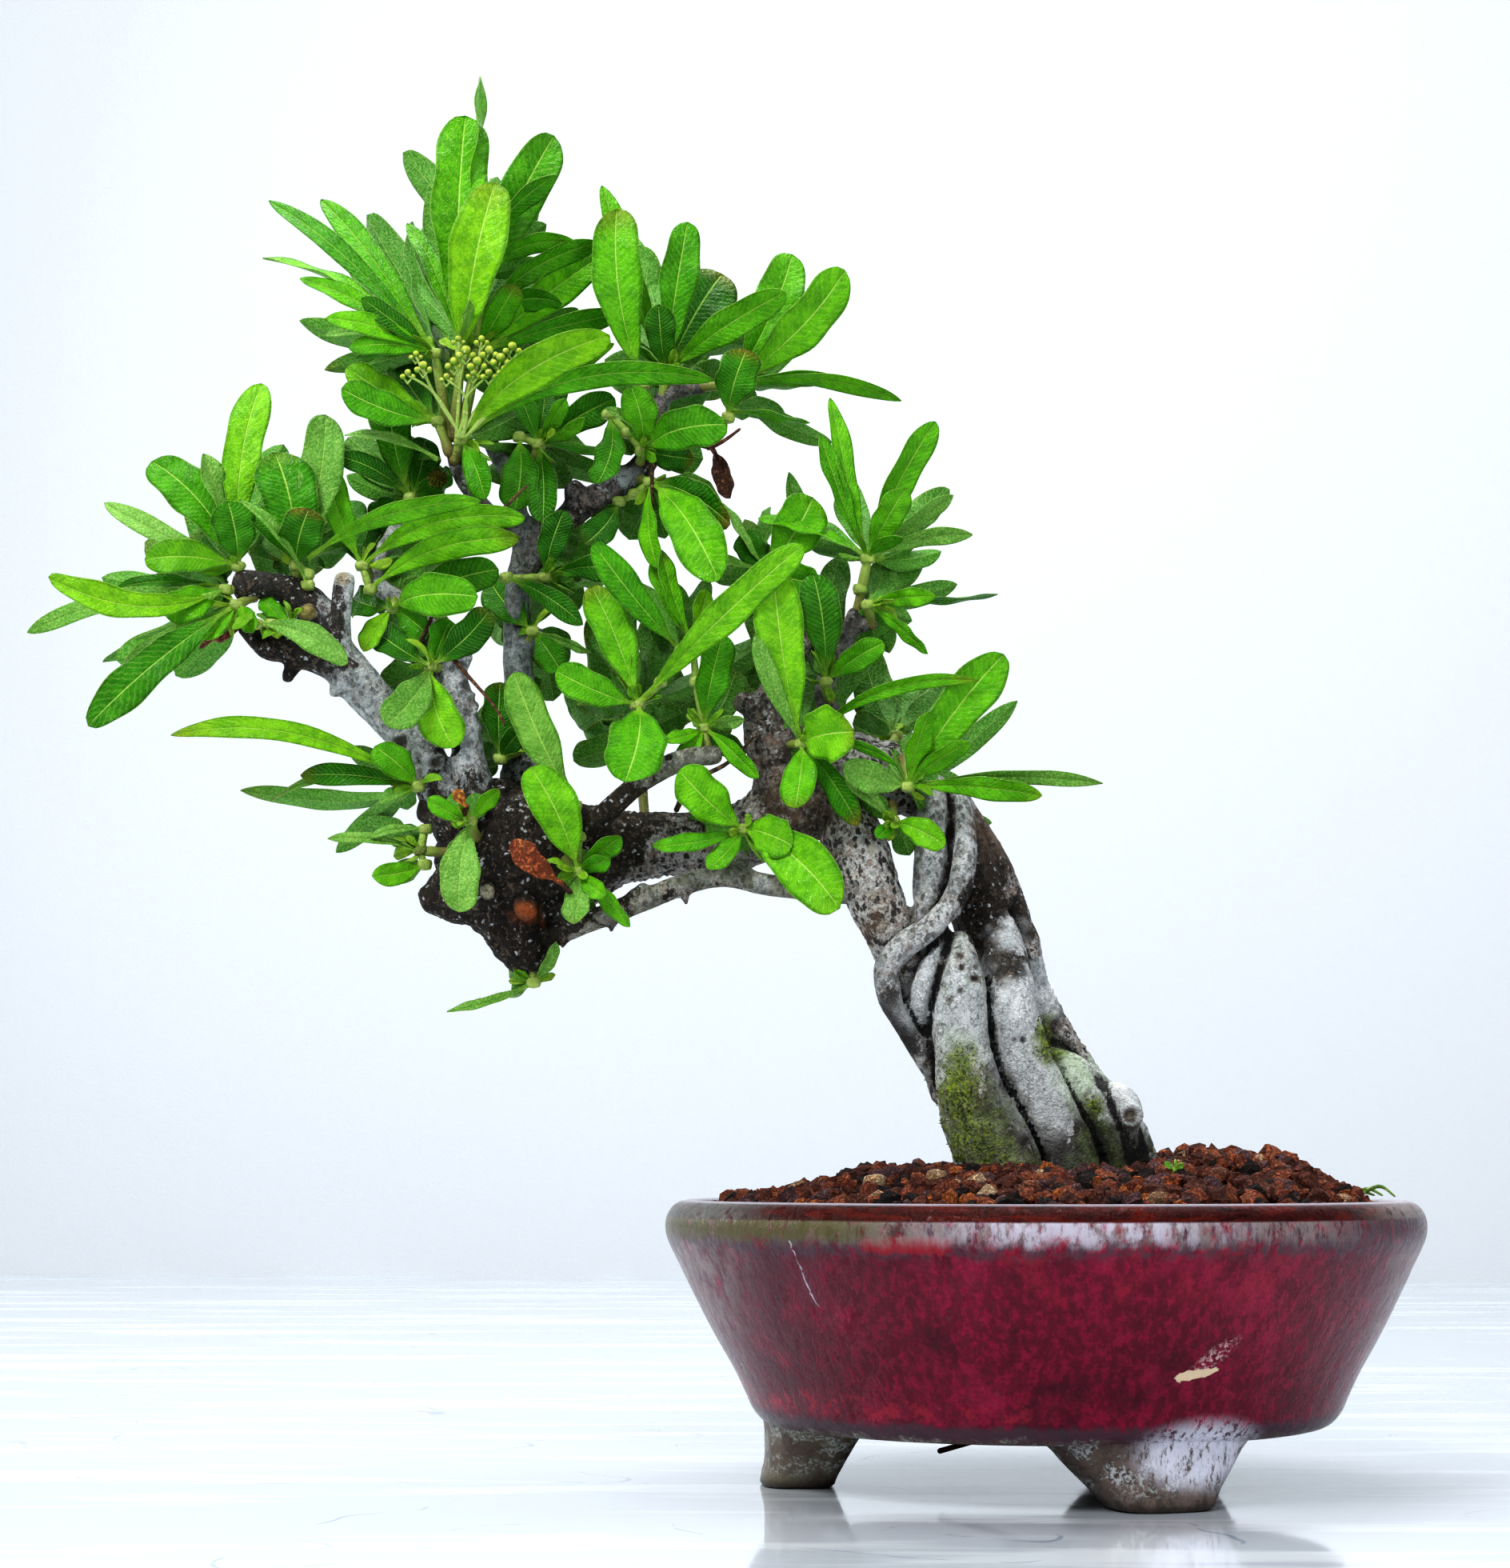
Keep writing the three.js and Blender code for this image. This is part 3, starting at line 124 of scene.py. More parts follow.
class Coat:
    """A material in the making: one Principled shader, its place on the object, and its colour."""

    def __init__(self, name: str, colour: Any = None) -> None:
        """Start the material.

        Args:
            name: name of the material.
            colour: first colour, a socket or linear RGBA.
        """
        self.material = bpy.data.materials.new(name)
        self.material.use_nodes = True
        self.tree = self.material.node_tree
        self.shader = self.tree.nodes["Principled BSDF"]
        self.add = partial(add_node, self.tree)
        self.place = self.add("TexCoord", out=3)
        self.colour = colour

    def patches(
        self, size_mm: float, low: float, high: float, detail: float = 5.0, rough: float = 0.65,
        place: Any = None,
    ) -> Socket:
        """Mask of irregular patches: noise of that size, then a smooth step from low to high.

        Args:
            size_mm: size of a patch in millimetres.
            low: noise value where the mask is zero.
            high: noise value where the mask is one.
            detail: number of finer layers.
            rough: strength of each finer layer.
            place: coordinates other than the object's.

        Returns:
            The mask, zero to one.
        """
        value = self.add("TexNoise", (place or self.place, None, 1.0 / (size_mm * MM), detail, rough))
        return self.add("MapRange", (value, low, high), **STEP)

    def both(self, *masks: Any) -> Any:
        """Multiply masks.

        Args:
            *masks: each a socket, a number or (value, low, high), a smooth step between millimetres.

        Returns:
            The product, or None without masks.
        """
        result = None
        for mask in masks:
            if isinstance(mask, tuple):
                mask = self.add("MapRange", (mask[0], mask[1] * MM, mask[2] * MM), **STEP)
            result = mask if result is None else self.add("Math", (result, mask), **TIMES)
        return result

    def layer(self, colour: Any, *masks: Any, blend_type: str = "MIX") -> None:
        """Lay a colour over the one so far, where the product of the masks lets it.

        Args:
            colour: a socket, linear RGBA or an sRGB hex colour.
            *masks: masks as both() takes them.
            blend_type: blend type of the mix.
        """
        colour = linear(colour) if isinstance(colour, str) else colour
        inputs = {0: self.both(*masks), 6: self.colour, 7: colour}
        self.colour = self.add("Mix", inputs, 2, data_type="RGBA", blend_type=blend_type)

    def finish(
        self, rough: Any, height: Any, depth_mm: float, strength: float = 1.0, **others: Any
    ) -> bpy.types.Material:
        """Connect colour, roughness, bump and other values, each a socket or a constant.

        Args:
            rough: roughness.
            height: height for the bump, zero to one.
            depth_mm: depth that a height of one stands for.
            strength: share of the bump that is used.
            **others: other inputs of the shader, with _ for a space.

        Returns:
            The finished material.
        """
        relief = self.add("Bump", {"Strength": strength, "Distance": depth_mm * MM, "Height": height})
        others.update(Base_Color=self.colour, Roughness=rough, Normal=relief)
        for name, value in others.items():
            target = self.shader.inputs[name.replace("_", " ")]
            if isinstance(value, Socket):
                self.tree.links.new(value, target)
            else:
                target.default_value = value
        return self.material


# ---------------------------------------------------------------- finishes


@dataclass(frozen=True)
class LeafFinish:
    """Live firethorn leaf: a waxed, finely veined top with a thin rib; paler and netted below."""

    # edge: colour of the painted highlight along the blade's edge
    edge: str = "#c8e878"
    rib: str = "#c8ec78"
    under: str = "#a4cc78"
    net: str = "#549832"
    gloss: float = 0.2

    def build(self) -> bpy.types.Material:
        """Build the leaf from the attributes blade (along, across, below) and tint.

        Returns:
            The finished material.
        """
        coat = Coat("waxy_firethorn_leaf")
        add = coat.add
        coat.colour = add("Attribute", attribute_name="tint")
        blade = add("Attribute", out=1, attribute_name="blade")
        along, side, below = (add("SeparateXYZ", (blade,), number) for number in range(3))
        across = add("Math", (side,), **SIZE)
        # blotches of deeper green 3 mm wide, and pores half a millimetre wide
        blotch = coat.patches(3.4, 0.34, 0.68, 2.0)
        pores = coat.patches(0.55, 0.4, 0.62, 2.0)
        coat.layer((0.34, 0.55, 0.2, 1.0), blotch, 0.6, blend_type="MULTIPLY")
        coat.layer((1.3, 1.2, 0.9, 1.0), pores, 0.4, blend_type="MULTIPLY")
        # fine side veins, 22 along the blade, wavy, leaning towards its tip
        wavy = add("TexNoise", (coat.place, None, 1.0 / (1.4 * MM), 2.0))
        lean = add("Math", (across, -16.0), **TIMES)
        phase = add("Math", (along, 138.0, lean), **SCALE_ADD)
        phase = add("Math", (wavy, 7.0, phase), **SCALE_ADD)
        vein = add("MapRange", (add("Math", (phase,), operation="SINE"), 0.2, 1.0), **STEP)
        coat.layer(self.rib, vein, 0.13)
        rib = add("MapRange", (across, 0.05, 0.015), **STEP)
        coat.layer(self.rib, rib, 0.7)
        # painted shade: the blade is darkened in a band just inside its edge
        coat.layer((0.3, 0.5, 0.15, 1.0), add("MapRange", (across, 0.78, 0.92), **STEP), 0.6,
                   blend_type="MULTIPLY")
        # painted highlight: a thin pale line along the very edge of the blade
        coat.layer(self.edge, add("MapRange", (across, 0.95, 1.0), **STEP), 0.35)
        upper = coat.colour
        coat.colour = add("Mix", {0: pores, 6: linear(self.net), 7: linear(self.under)}, 2, data_type="RGBA")
        coat.layer(upper, 0.45)
        pale = coat.colour
        coat.colour = upper
        coat.layer(pale, below, 0.85)
        rough = add("Math", (below, 0.25, self.gloss), **SCALE_ADD)
        rough = add("Math", (pores, 0.12, rough), **SCALE_ADD)
        height = add("Math", (coat.both(pores, 0.3), coat.both(blotch, 0.7)), **PLUS)
        height = add("Math", (vein, -0.22, height), **SCALE_ADD)
        height = add("Math", (rib, -0.5, height), **SCALE_ADD)
        return coat.finish(rough, height, 0.3, 1.0, IOR=1.4, Specular_IOR_Level=0.38,
                           Subsurface_Weight=0.1, Subsurface_Scale=0.001)


@dataclass(frozen=True)
class StemFinish:
    """This year's soft growth: satin, with pale pores along it."""

    name: str = "young_green_bark"
    pore: str = "#c9bf86"

    def build(self) -> bpy.types.Material:
        """Build the soft growth from the attribute tint.

        Returns:
            The finished material.
        """
        coat = Coat(self.name)
        coat.colour = coat.add("Attribute", attribute_name="tint")
        fleck = coat.patches(0.9, 0.52, 0.66, 3.0)
        coat.layer(self.pore, fleck, 0.6)
        return coat.finish(0.5, fleck, 0.2)


@dataclass(frozen=True)
class BarkFinish:
    """Old firethorn bark: a chalky skin of lichen over brown, flecked and cracked, quite matt."""

    pit: str = "#17110d"
    chalk: str = "#f2f5f6"
    shade: Colour = (0.5, 0.47, 0.45, 1.0)

    def build(self) -> bpy.types.Material:
        """Build the bark from tint (alpha: flecks), stain (alpha: cover), skin (chalk, cracks, moss).

        Returns:
            The finished material.
        """
        coat = Coat("weathered_firethorn_bark")
        add = coat.add
        coat.colour = add("Attribute", attribute_name="tint")
        cover = add("Attribute", out=3, attribute_name="stain")
        flecked = add("Attribute", out=3, attribute_name="tint")
        skin = add("Attribute", out=1, attribute_name="skin")
        chalky, cracked, mossy = (add("SeparateXYZ", (skin,), number) for number in range(3))
        # chalky lichen in crisp patches of 3 mm, and darker stretches of 7 mm
        lichen = coat.patches(3.0, 0.42, 0.5, 6.0, 0.72)
        grain = coat.patches(0.5, 0.35, 0.7, 3.0)
        coat.layer(self.shade, coat.patches(7.0, 0.5, 0.38), 0.6, blend_type="MULTIPLY")
        coat.layer(self.chalk, lichen, chalky, 0.85)
        cells = add("TexVoronoi", (coat.place, None, 1.0 / (3.6 * MM)), feature="DISTANCE_TO_EDGE")
        crack = coat.both(add("MapRange", (cells, 0.1, 0.0), **STEP), cracked)
        coat.layer(self.pit, crack, 0.6)
        # brown stretches, and pits under a millimetre wide, upright, which gather in stretches
        coat.layer("#7d5c42", coat.patches(3.0, 0.52, 0.6, 5.0), flecked, 0.7)
        bent = add("TexNoise", (coat.place, None, 1.0 / (1.2 * MM), 3.0), 1)
        bent = add("VectorMath", (bent, (0.0016,) * 3, coat.place), **SCALE_ADD)
        upright = add("Mapping", (bent, None, None, (1.0, 1.0, 0.62)))
        dots = add("TexVoronoi", (upright, None, 1.0 / (1.5 * MM)))
        fleck = add("MapRange", (dots, 0.5, 0.36), **STEP)
        fleck = coat.both(fleck, coat.patches(4.0, 0.4, 0.5), flecked)
        coat.layer(self.pit, fleck, 0.92)
        # stains with ragged edges: their cover against a fine noise
        torn = add("TexNoise", (upright, None, 1.0 / (1.6 * MM), 7.0, 0.8))
        ragged = add("Math", (cover, 0.4, torn), **SCALE_ADD)
        ragged = add("MapRange", (ragged, 0.67, 0.74), **STEP)
        coat.layer(add("Attribute", attribute_name="stain"), ragged, 0.94)
        # a net of fine dark cracks and dust over everything, thicker in stretches
        net = add("TexVoronoi", (bent, None, 1.0 / (1.7 * MM)), feature="DISTANCE_TO_EDGE")
        net = coat.both(add("MapRange", (net, 0.14, 0.0), **STEP), coat.patches(2.6, 0.46, 0.6, 4.0))
        coat.layer("#2c2620", net, 0.5)
        dust = add("MapRange", (torn, 0.56, 0.64), **STEP)
        coat.layer("#3a322a", dust, coat.patches(9.0, 0.42, 0.6), 0.5)
        # grains of white lichen that catch the light on the dark stretches
        white = add("TexVoronoi", (bent, None, 1.0 / (1.9 * MM)))
        white = coat.both(add("MapRange", (white, 0.32, 0.22), **STEP), coat.patches(4.0, 0.48, 0.56))
        coat.layer("#9c8874", coat.patches(1.3, 0.54, 0.6, 6.0, 0.78, upright), cracked, 0.7)
        coat.layer(self.chalk, white, cracked, 0.9)
        coat.layer("#84a034", mossy, coat.patches(2.2, 0.44, 0.56), 0.7)
        coat.layer("#bccc46", mossy, coat.patches(0.8, 0.5, 0.58), 0.75)
        coat.layer("#1d230c", mossy, coat.patches(1.4, 0.54, 0.6), 0.85)
        # painted shadow in the seams: their depth against the same noise gives a near-black line where limbs
        # meet
        seam = add("Attribute", out=2, attribute_name="seam")
        seam = add("Math", (seam, 0.9, torn), **SCALE_ADD)
        seam = add("MapRange", (seam, 1.2, 1.34), **STEP)
        coat.layer("#0b0806", seam, 0.95)
        height = add("Math", (coat.both(lichen, 0.4), coat.both(grain, 0.4)), **PLUS)
        height = add("Math", (height, coat.both(add("Math", (fleck, crack), **MOST), 0.7)), **MINUS)
        return coat.finish(0.72, height, 0.6)


@dataclass(frozen=True)
class GlazeFinish:
    """Oxblood glaze fired on stoneware: glassy, finely mottled, pale-banded under the rim, bare feet, with
    painted shade, reflection and highlight.
    """

    centre: Tuple[float, float]
    deep: str = "#6a0028"
    red: str = "#a80a44"
    bright: str = "#b81e54"
    ember: str = "#ac243c"
    # plum: colour of the painted shade on both sides of the front
    plum: str = "#5c2c38"
    # colour of the painted shade below the lip and where the wall turns under
    painted_shade: str = "#51404a"
    rim: str = "#3e100a"
    # the pale band's colour, also used for the painted highlight along the crest
    pale_band_and_highlight: str = "#cdc8d6"
    olive: str = "#5f5c34"
    # grey laid on the far sides as painted reflection: on the wall, the band and the crest
    stone: str = "#9a8f8c"
    clay: str = "#6f6058"
    dark_clay: str = "#2f2a22"
    chip: str = "#f0d8b8"
    white: str = "#eaeaf6"

    def _from_spot(self, coat: Coat, at_mm: Row, size_mm: Row, lean: float = 0.0) -> Socket:
        """Distance from a spot with each axis divided by its size, so one on an ellipsoid.

        Args:
            coat: the material.
            at_mm: the spot, from the pot's axis and the table.
            size_mm: half length of each axis of the ellipsoid.
            lean: turn of the ellipsoid about Y, in radians.

        Returns:
            The distance socket.
        """
        middle = np.array([*self.centre, 0.0]) + np.array(at_mm) * MM
        sizes = list(np.array(size_mm) * MM)
        inputs = (coat.place, list(middle), (0.0, lean, 0.0), sizes)
        near = coat.add("Mapping", inputs, vector_type="TEXTURE")
        return coat.add("VectorMath", (near,), 1, operation="LENGTH")

    def _scratch(self, coat: Coat) -> Socket:
        """Mask of a thin slanting scratch: near a line, between its ends, at the front.

        Args:
            coat: the material.

        Returns:
            The mask, zero to one.
        """
        start = [self.centre[0] - 65.0 * MM, 0.0, 62.3 * MM]
        turned = coat.add("Mapping", (coat.place, start, (0.0, -0.44, 0.0)), vector_type="TEXTURE")
        wobble = coat.add("TexNoise", (coat.place, None, 250.0))
        side = coat.add("Math", (wobble, 2.4 * MM, -1.2 * MM), **SCALE_ADD)
        across, back, high = (coat.add("SeparateXYZ", (turned,), number) for number in range(3))
        line = coat.add("Math", (coat.add("Math", (across, side), **PLUS),), **SIZE)
        broken = coat.patches(1.5, 0.4, 0.5)
        return coat.both((line, 0.3, 0.05), (back, 0.0, -20.0), (high, -18.5, -16.0),
                         (high, 0.0, -1.5), broken)

    def build(self) -> bpy.types.Material:
        """Build the glaze: mottled red, a pale band under the rim, painted shade, reflection and highlight,
        bare feet, one chip, one scratch.

        Returns:
            The finished material.
        """
        coat = Coat("oxblood_glaze_on_stoneware", linear(self.deep))
        add = coat.add
        across, _, high = (add("SeparateXYZ", (coat.place,), number) for number in range(3))
        drawn_out = add("Mapping", (coat.place, None, None, (1.0, 1.0, 0.4)))
        spots = coat.patches(2.0, 0.44, 0.6, 5.0, 0.72, drawn_out)
        grain = coat.patches(0.8, 0.42, 0.6, 3.0)
        cloud = coat.patches(26.0, 0.4, 0.62, 3.0)
        ragged = add("TexNoise", (drawn_out, None, 1.0 / (4.0 * MM), 5.0, 0.7))
        level = add("Math", (ragged, 6.0 * MM, high), **SCALE_ADD)
        level = add("Math", (level, 3.0 * MM), **MINUS)
        right = add("Math", (across, self.centre[0]), **MINUS)
        coat.layer(self.red, spots, 0.6)
        coat.layer(self.bright, cloud, coat.patches(7.0, 0.4, 0.66), 0.6)
        coat.layer("#33001a", coat.patches(17.0, 0.5, 0.68, 4.0), 0.55)
        coat.layer("#33001a", grain, 0.22)
        coat.layer(self.ember, (level, 44.0, 54.0), coat.patches(11.0, 0.46, 0.62),
                   (right, -34.0, -8.0), (right, 62.0, 34.0), 0.5)
        # painted shade: plum darkens both sides, where the wall turns away from the front
        for start, end in ((-26.0, -70.0), (44.0, 82.0)):
            coat.layer(self.plum, (right, start, end), coat.patches(8.0, 0.28, 0.55), 0.8)
        # painted reflection: grey on the far sides, where the wall turns away from the front
        for start, end in ((-68.0, -86.0), (68.0, 88.0)):
            coat.layer(self.stone, (right, start, end), coat.patches(3.0, 0.36, 0.6, place=drawn_out),
                       0.6)
        # a row of thick beads where the glaze stopped running, and under it painted shade where the wall
        # turns under towards the feet
        bead = coat.both((level, 20.0, 21.5), (level, 27.0, 24.0), (right, 0.0, -16.0))
        coat.layer("#a8283c", bead, coat.patches(3.4, 0.52, 0.58), 0.6)
        coat.layer(self.painted_shade, (level, 20.4, 18.2), 0.85)
        # under the rim: a strip of painted shadow below the lip, then an uneven pale band, white, olive at
        # the left
        coat.layer(self.painted_shade, (level, 56.4, 59.8), coat.patches(3.0, 0.4, 0.56), 0.85)
        coat.layer("#a01c30", (level, 58.4, 59.4), (high, 63.2, 62.0), (right, -50.0, -46.0),
                   (right, -27.0, -31.0), 0.8)
        band = coat.both((level, 59.4, 63.2), (high, 66.3, 65.7))
        worn = coat.patches(2.4, 0.36, 0.54, 5.0, 0.75, drawn_out)
        # the band's far ends take the grey of the painted reflection
        coat.layer(self.stone, band, (right, -78.0, -48.0), (right, 80.0, 50.0), worn, 0.75)
        coat.layer(self.pale_band_and_highlight, band, (right, -40.0, -12.0), (right, 46.0, 10.0),
                   coat.patches(3.4, 0.4, 0.56, 6.0, 0.75, drawn_out), 0.8)
        coat.layer(self.olive, (level, 60.0, 63.0), (high, 67.4, 66.4), (right, -34.0, -56.0),
                   coat.patches(3.0, 0.3, 0.5), 0.85)
        # the roll of the rim turns dark brown, streaked round it
        crest = coat.both((high, 65.7, 66.3))
        round_it = add("Mapping", (coat.place, None, None, (0.3, 0.3, 1.6)))
        coat.layer(self.rim, crest, 0.97)
        coat.layer("#661c10", crest, coat.patches(3.0, 0.48, 0.62, place=round_it), 0.7)
        coat.layer("#120606", crest, coat.patches(2.2, 0.54, 0.64, place=round_it), 0.7)
        # painted reflection: grey on the crest at both far sides
        coat.layer("#6d6f6c", crest, (right, -64.0, -84.0), coat.patches(3.0, 0.3, 0.5), 0.8)
        coat.layer(self.stone, crest, (right, 62.0, 84.0), coat.patches(3.0, 0.3, 0.5), 0.7)
        # painted highlight: a thin pale line along the top of the crest
        coat.layer(self.pale_band_and_highlight, (high, 69.3, 69.8), 0.55)
        # the bare feet: clay, with salts
        foot = coat.both((level, 17.0, 14.5))
        coat.layer(self.clay, foot)
        coat.layer(self.dark_clay, foot, coat.patches(3.0, 0.42, 0.6), 0.6)
        coat.layer("#8d8a6e", foot, (right, 0.0, -20.0), coat.patches(6.0, 0.42, 0.55), 0.45)
        coat.layer("#c4c8c8", foot, (high, 2.0, 6.0), coat.patches(6.0, 0.46, 0.56), grain, 0.8)
        coat.layer(self.dark_clay, (high, 3.0, 0.6), 0.7)
        salt = self._from_spot(coat, (30.0, -62.0, 13.0), (18.0, 20.0, 9.0))
        salt = coat.both(add("MapRange", (salt, 1.15, 0.5), **STEP),
                         coat.patches(1.5, 0.36, 0.52, 5.0, 0.75, drawn_out))
        coat.layer(self.white, salt, 0.95)
        torn = add("TexNoise", (coat.place, None, 1.0 / (2.0 * MM), 4.0))
        near = self._from_spot(coat, (27.6, -73.0, 31.8), (4.8, 12.0, 1.15), -0.2)
        near = add("Math", (torn, 1.7, near), **SCALE_ADD)
        chip = add("MapRange", (near, 1.95, 1.85), **STEP)
        streak = self._from_spot(coat, (32.0, -72.0, 36.0), (8.5, 14.0, 2.6), -0.62)
        streak = coat.both(add("MapRange", (streak, 1.0, 0.4), **STEP), coat.patches(0.9, 0.48, 0.58))
        coat.layer("#e6c6c0", streak, 0.75)
        coat.layer(self.chip, chip)
        scratch = self._scratch(coat)
        coat.layer(self.white, scratch, 0.6)
        bare = add("Math", (add("Math", (coat.both(foot, 0.5), chip), **MOST), salt), **MOST)
        rough = add("Math", (coat.both(bare, 0.45), coat.both(grain, 0.14)), **PLUS)
        rough = add("Math", (rough, 0.1), **PLUS)
        swell = add("TexNoise", (drawn_out, None, 1.0 / (6.0 * MM), 3.0))
        height = add("Math", (coat.both(swell, 0.7), coat.both(spots, 0.12)), **PLUS)
        height = add("Math", (height, coat.both(grain, 0.06)), **PLUS)
        height = add("Math", (height, coat.both(add("Math", (chip, scratch), **MOST), 0.4)), **MINUS)
        shine = add("Math", (crest, -0.22, 0.34), **SCALE_ADD)
        return coat.finish(rough, height, 1.1, 0.7, IOR=1.5, Specular_IOR_Level=shine)


@dataclass(frozen=True)
class GritFinish:
    """Baked clay grit and dry pieces: matt and pitted, each with its own colour."""

    name: str = "baked_clay_grit"
    pit_mm: float = 0.7
    dust: str = "#c0917a"
    rough: float = 0.9

    def build(self) -> bpy.types.Material:
        """Build the grit from the attribute tint.

        Returns:
            The finished material.
        """
        coat = Coat(self.name)
        coat.colour = coat.add("Attribute", attribute_name="tint")
        pits = coat.patches(self.pit_mm, 0.58, 0.42, 4.0, 0.7)
        coat.layer((0.3, 0.26, 0.25, 1.0), pits, 0.8, blend_type="MULTIPLY")
        coat.layer(self.dust, coat.patches(2.0, 0.58, 0.72), 0.35)
        height = coat.add("Math", (1.0, pits), **MINUS)
        return coat.finish(self.rough, height, 0.45)


@dataclass(frozen=True)
class TwoToneFinish:
    """Small plain parts: two tones in patches over a fine relief."""

    name: str
    light: str
    dark: str
    patch_mm: float
    rough: float
    metallic: float = 0.0

    def build(self) -> bpy.types.Material:
        """Build the two-tone material.

        Returns:
            The finished material.
        """
        coat = Coat(self.name, linear(self.dark))
        patch = coat.patches(self.patch_mm, 0.38, 0.62)
        coat.layer(self.light, patch)
        return coat.finish(self.rough, patch, 0.12, Metallic=self.metallic)


# ---------------------------------------------------------------- fields and shapes


@dataclass(frozen=True)
class Drawing:
    """The front drawing: where it is seen from, and how far below the table its heights start."""

    axis: Tuple[float, float]
    eye: Row = (-72.0, -790.0, 79.4)
    drop: float = 2.6

    @property
    def origin(self) -> np.ndarray:
        """Foot of the pot's axis on the table, in metres."""
        return np.array([*self.axis, 0.0])

    @property
    def eye_point(self) -> np.ndarray:
        """Where the drawing is seen from, in metres."""
        return np.array(self.eye) * MM + self.origin

    def place(self, rows: Any) -> np.ndarray:
        """Carry drawn points to their true places.

        Formula: eye + (point on the plane - eye) times (1 + depth / distance of the plane).

        Args:
            rows: points as (x, z, depth) in millimetres.

        Returns:
            Points in the row frame, in metres.
        """
        rows = np.atleast_2d(np.asarray(rows, float))
        plane = np.stack([rows[:, 0], np.zeros(len(rows)), rows[:, 1] - self.drop], axis=1)
        reach = 1.0 - rows[:, 2:3] / self.eye[1]
        return ((plane - self.eye) * reach + self.eye) * MM + self.origin

    def draw(self, points: np.ndarray) -> np.ndarray:
        """Find points on the drawing.

        Args:
            points: points in the row frame, in metres.

        Returns:
            Their (x, z) on the drawing, in millimetres.
        """
        local = (points - self.origin) / MM - self.eye
        plane = local * (-self.eye[1] / local[:, 1:2]) + self.eye
        return plane[:, [0, 2]] + np.array([0.0, self.drop])


def lumps(points: np.ndarray, size_mm: float, seed: int = 0, layers: int = 1) -> np.ndarray:
    """Smooth random field from -1 to 1.

    Formula: random values on a cubic lattice, blended in each cell by smooth steps; each further
    layer has half the size and half the strength.

    Args:
        points: points in metres, (N, 3).
        size_mm: size of a cell in millimetres.
        seed: number of the field.
        layers: number of layers.

    Returns:
        One value for each point.
    """
    scaled = points / (size_mm * MM)
    cell = np.floor(scaled).astype(np.int64)
    part = scaled - cell
    part = part * part * (3.0 - 2.0 * part)
    total = np.zeros(len(points))
    for corner in np.ndindex(2, 2, 2):
        at = (cell + corner) * np.array([374761393, 668265263, 1442695041]) + seed * 97531
        mixed = at.sum(1) & 0xFFFFFFFF
        mixed = ((mixed ^ (mixed >> 13)) * 1274126177) & 0xFFFFFFFF
        value = ((mixed ^ (mixed >> 16)) & 0xFFFF) / 32767.5 - 1.0
        total += np.where(corner, part, 1.0 - part).prod(1) * value
    if layers > 1:
        total += 0.5 * lumps(points, size_mm / 2.0, seed + 1, layers - 1)
    return total


def ease(value: np.ndarray, low: float, high: float) -> np.ndarray:
    """Smooth step: zero at low, one at high, three squares less two cubes between."""
    part = np.clip((value - low) / (high - low), 0.0, 1.0)
    return part * part * (3.0 - 2.0 * part)


def unit(vectors: np.ndarray) -> np.ndarray:
    """Vectors of length one along the last axis."""
    return vectors / np.maximum(np.linalg.norm(vectors, axis=-1, keepdims=True), 1e-12)


def mixed_colour(low: str, high: str, share: np.ndarray) -> np.ndarray:
    """Linear RGBA between two hex colours, one for each share."""
    share = np.clip(share, 0.0, 1.0)[..., None]
    return np.array(linear(low)) * (1.0 - share) + np.array(linear(high)) * share


@dataclass
class Patch:
    """Part of a mesh: points, faces as arrays of corner numbers, values held at the points."""

    points: np.ndarray
    faces: List[np.ndarray]
    values: Dict[str, np.ndarray] = field(default_factory=dict)
    smooth: bool = True

    def outward(self) -> "Patch":
        """Turn the faces of a closed patch outward: its volume, as fans from the origin, is positive.

        Returns:
            This patch.
        """
        centred = self.points - self.points.mean(0)
        volume = 0.0
        for faces in self.faces:
            for corner in range(1, faces.shape[1] - 1):
                a, b, c = (centred[faces[:, i]] for i in (0, corner, corner + 1))
                volume += float((a * np.cross(b, c)).sum())
        if volume < 0.0:
            self.faces = [faces[:, ::-1] for faces in self.faces]
        return self


def merged(patches: Sequence[Patch]) -> Patch:
    """Make one patch of several that hold the same values.

    Args:
        patches: the patches.

    Returns:
        The one patch.
    """
    starts = np.cumsum([0] + [len(patch.points) for patch in patches])
    faces = [part + start for patch, start in zip(patches, starts) for part in patch.faces]
    values = {key: np.concatenate([patch.values[key] for patch in patches]) for key in patches[0].values}
    return Patch(np.concatenate([patch.points for patch in patches]), faces, values)


def grid_faces(rows: int, columns: int, closed: bool) -> np.ndarray:
    """Quads of a grid of points.

    Args:
        rows: number of rows.
        columns: number of points in a row.
        closed: whether the last column joins the first.

    Returns:
        Corner numbers, (quads, 4).
    """
    span = columns if closed else columns - 1
    row, column = np.meshgrid(np.arange(rows - 1), np.arange(span), indexing="ij")
    after = (column + 1) % columns
    corners = [row * columns + column, row * columns + after,
               (row + 1) * columns + after, (row + 1) * columns + column]
    return np.stack(corners, axis=-1).reshape(-1, 4)


def closed_rings(rows: int, columns: int) -> List[np.ndarray]:
    """Faces of rings stacked into a closed body: its quads, then one face over each end."""
    first = np.arange(columns)[None]
    return [grid_faces(rows, columns, True), first[:, ::-1], first + (rows - 1) * columns]


def even_angles(count: int) -> np.ndarray:
    """Angles of that many even steps round a circle, in radians."""
    return np.arange(count) * 2.0 * np.pi / count


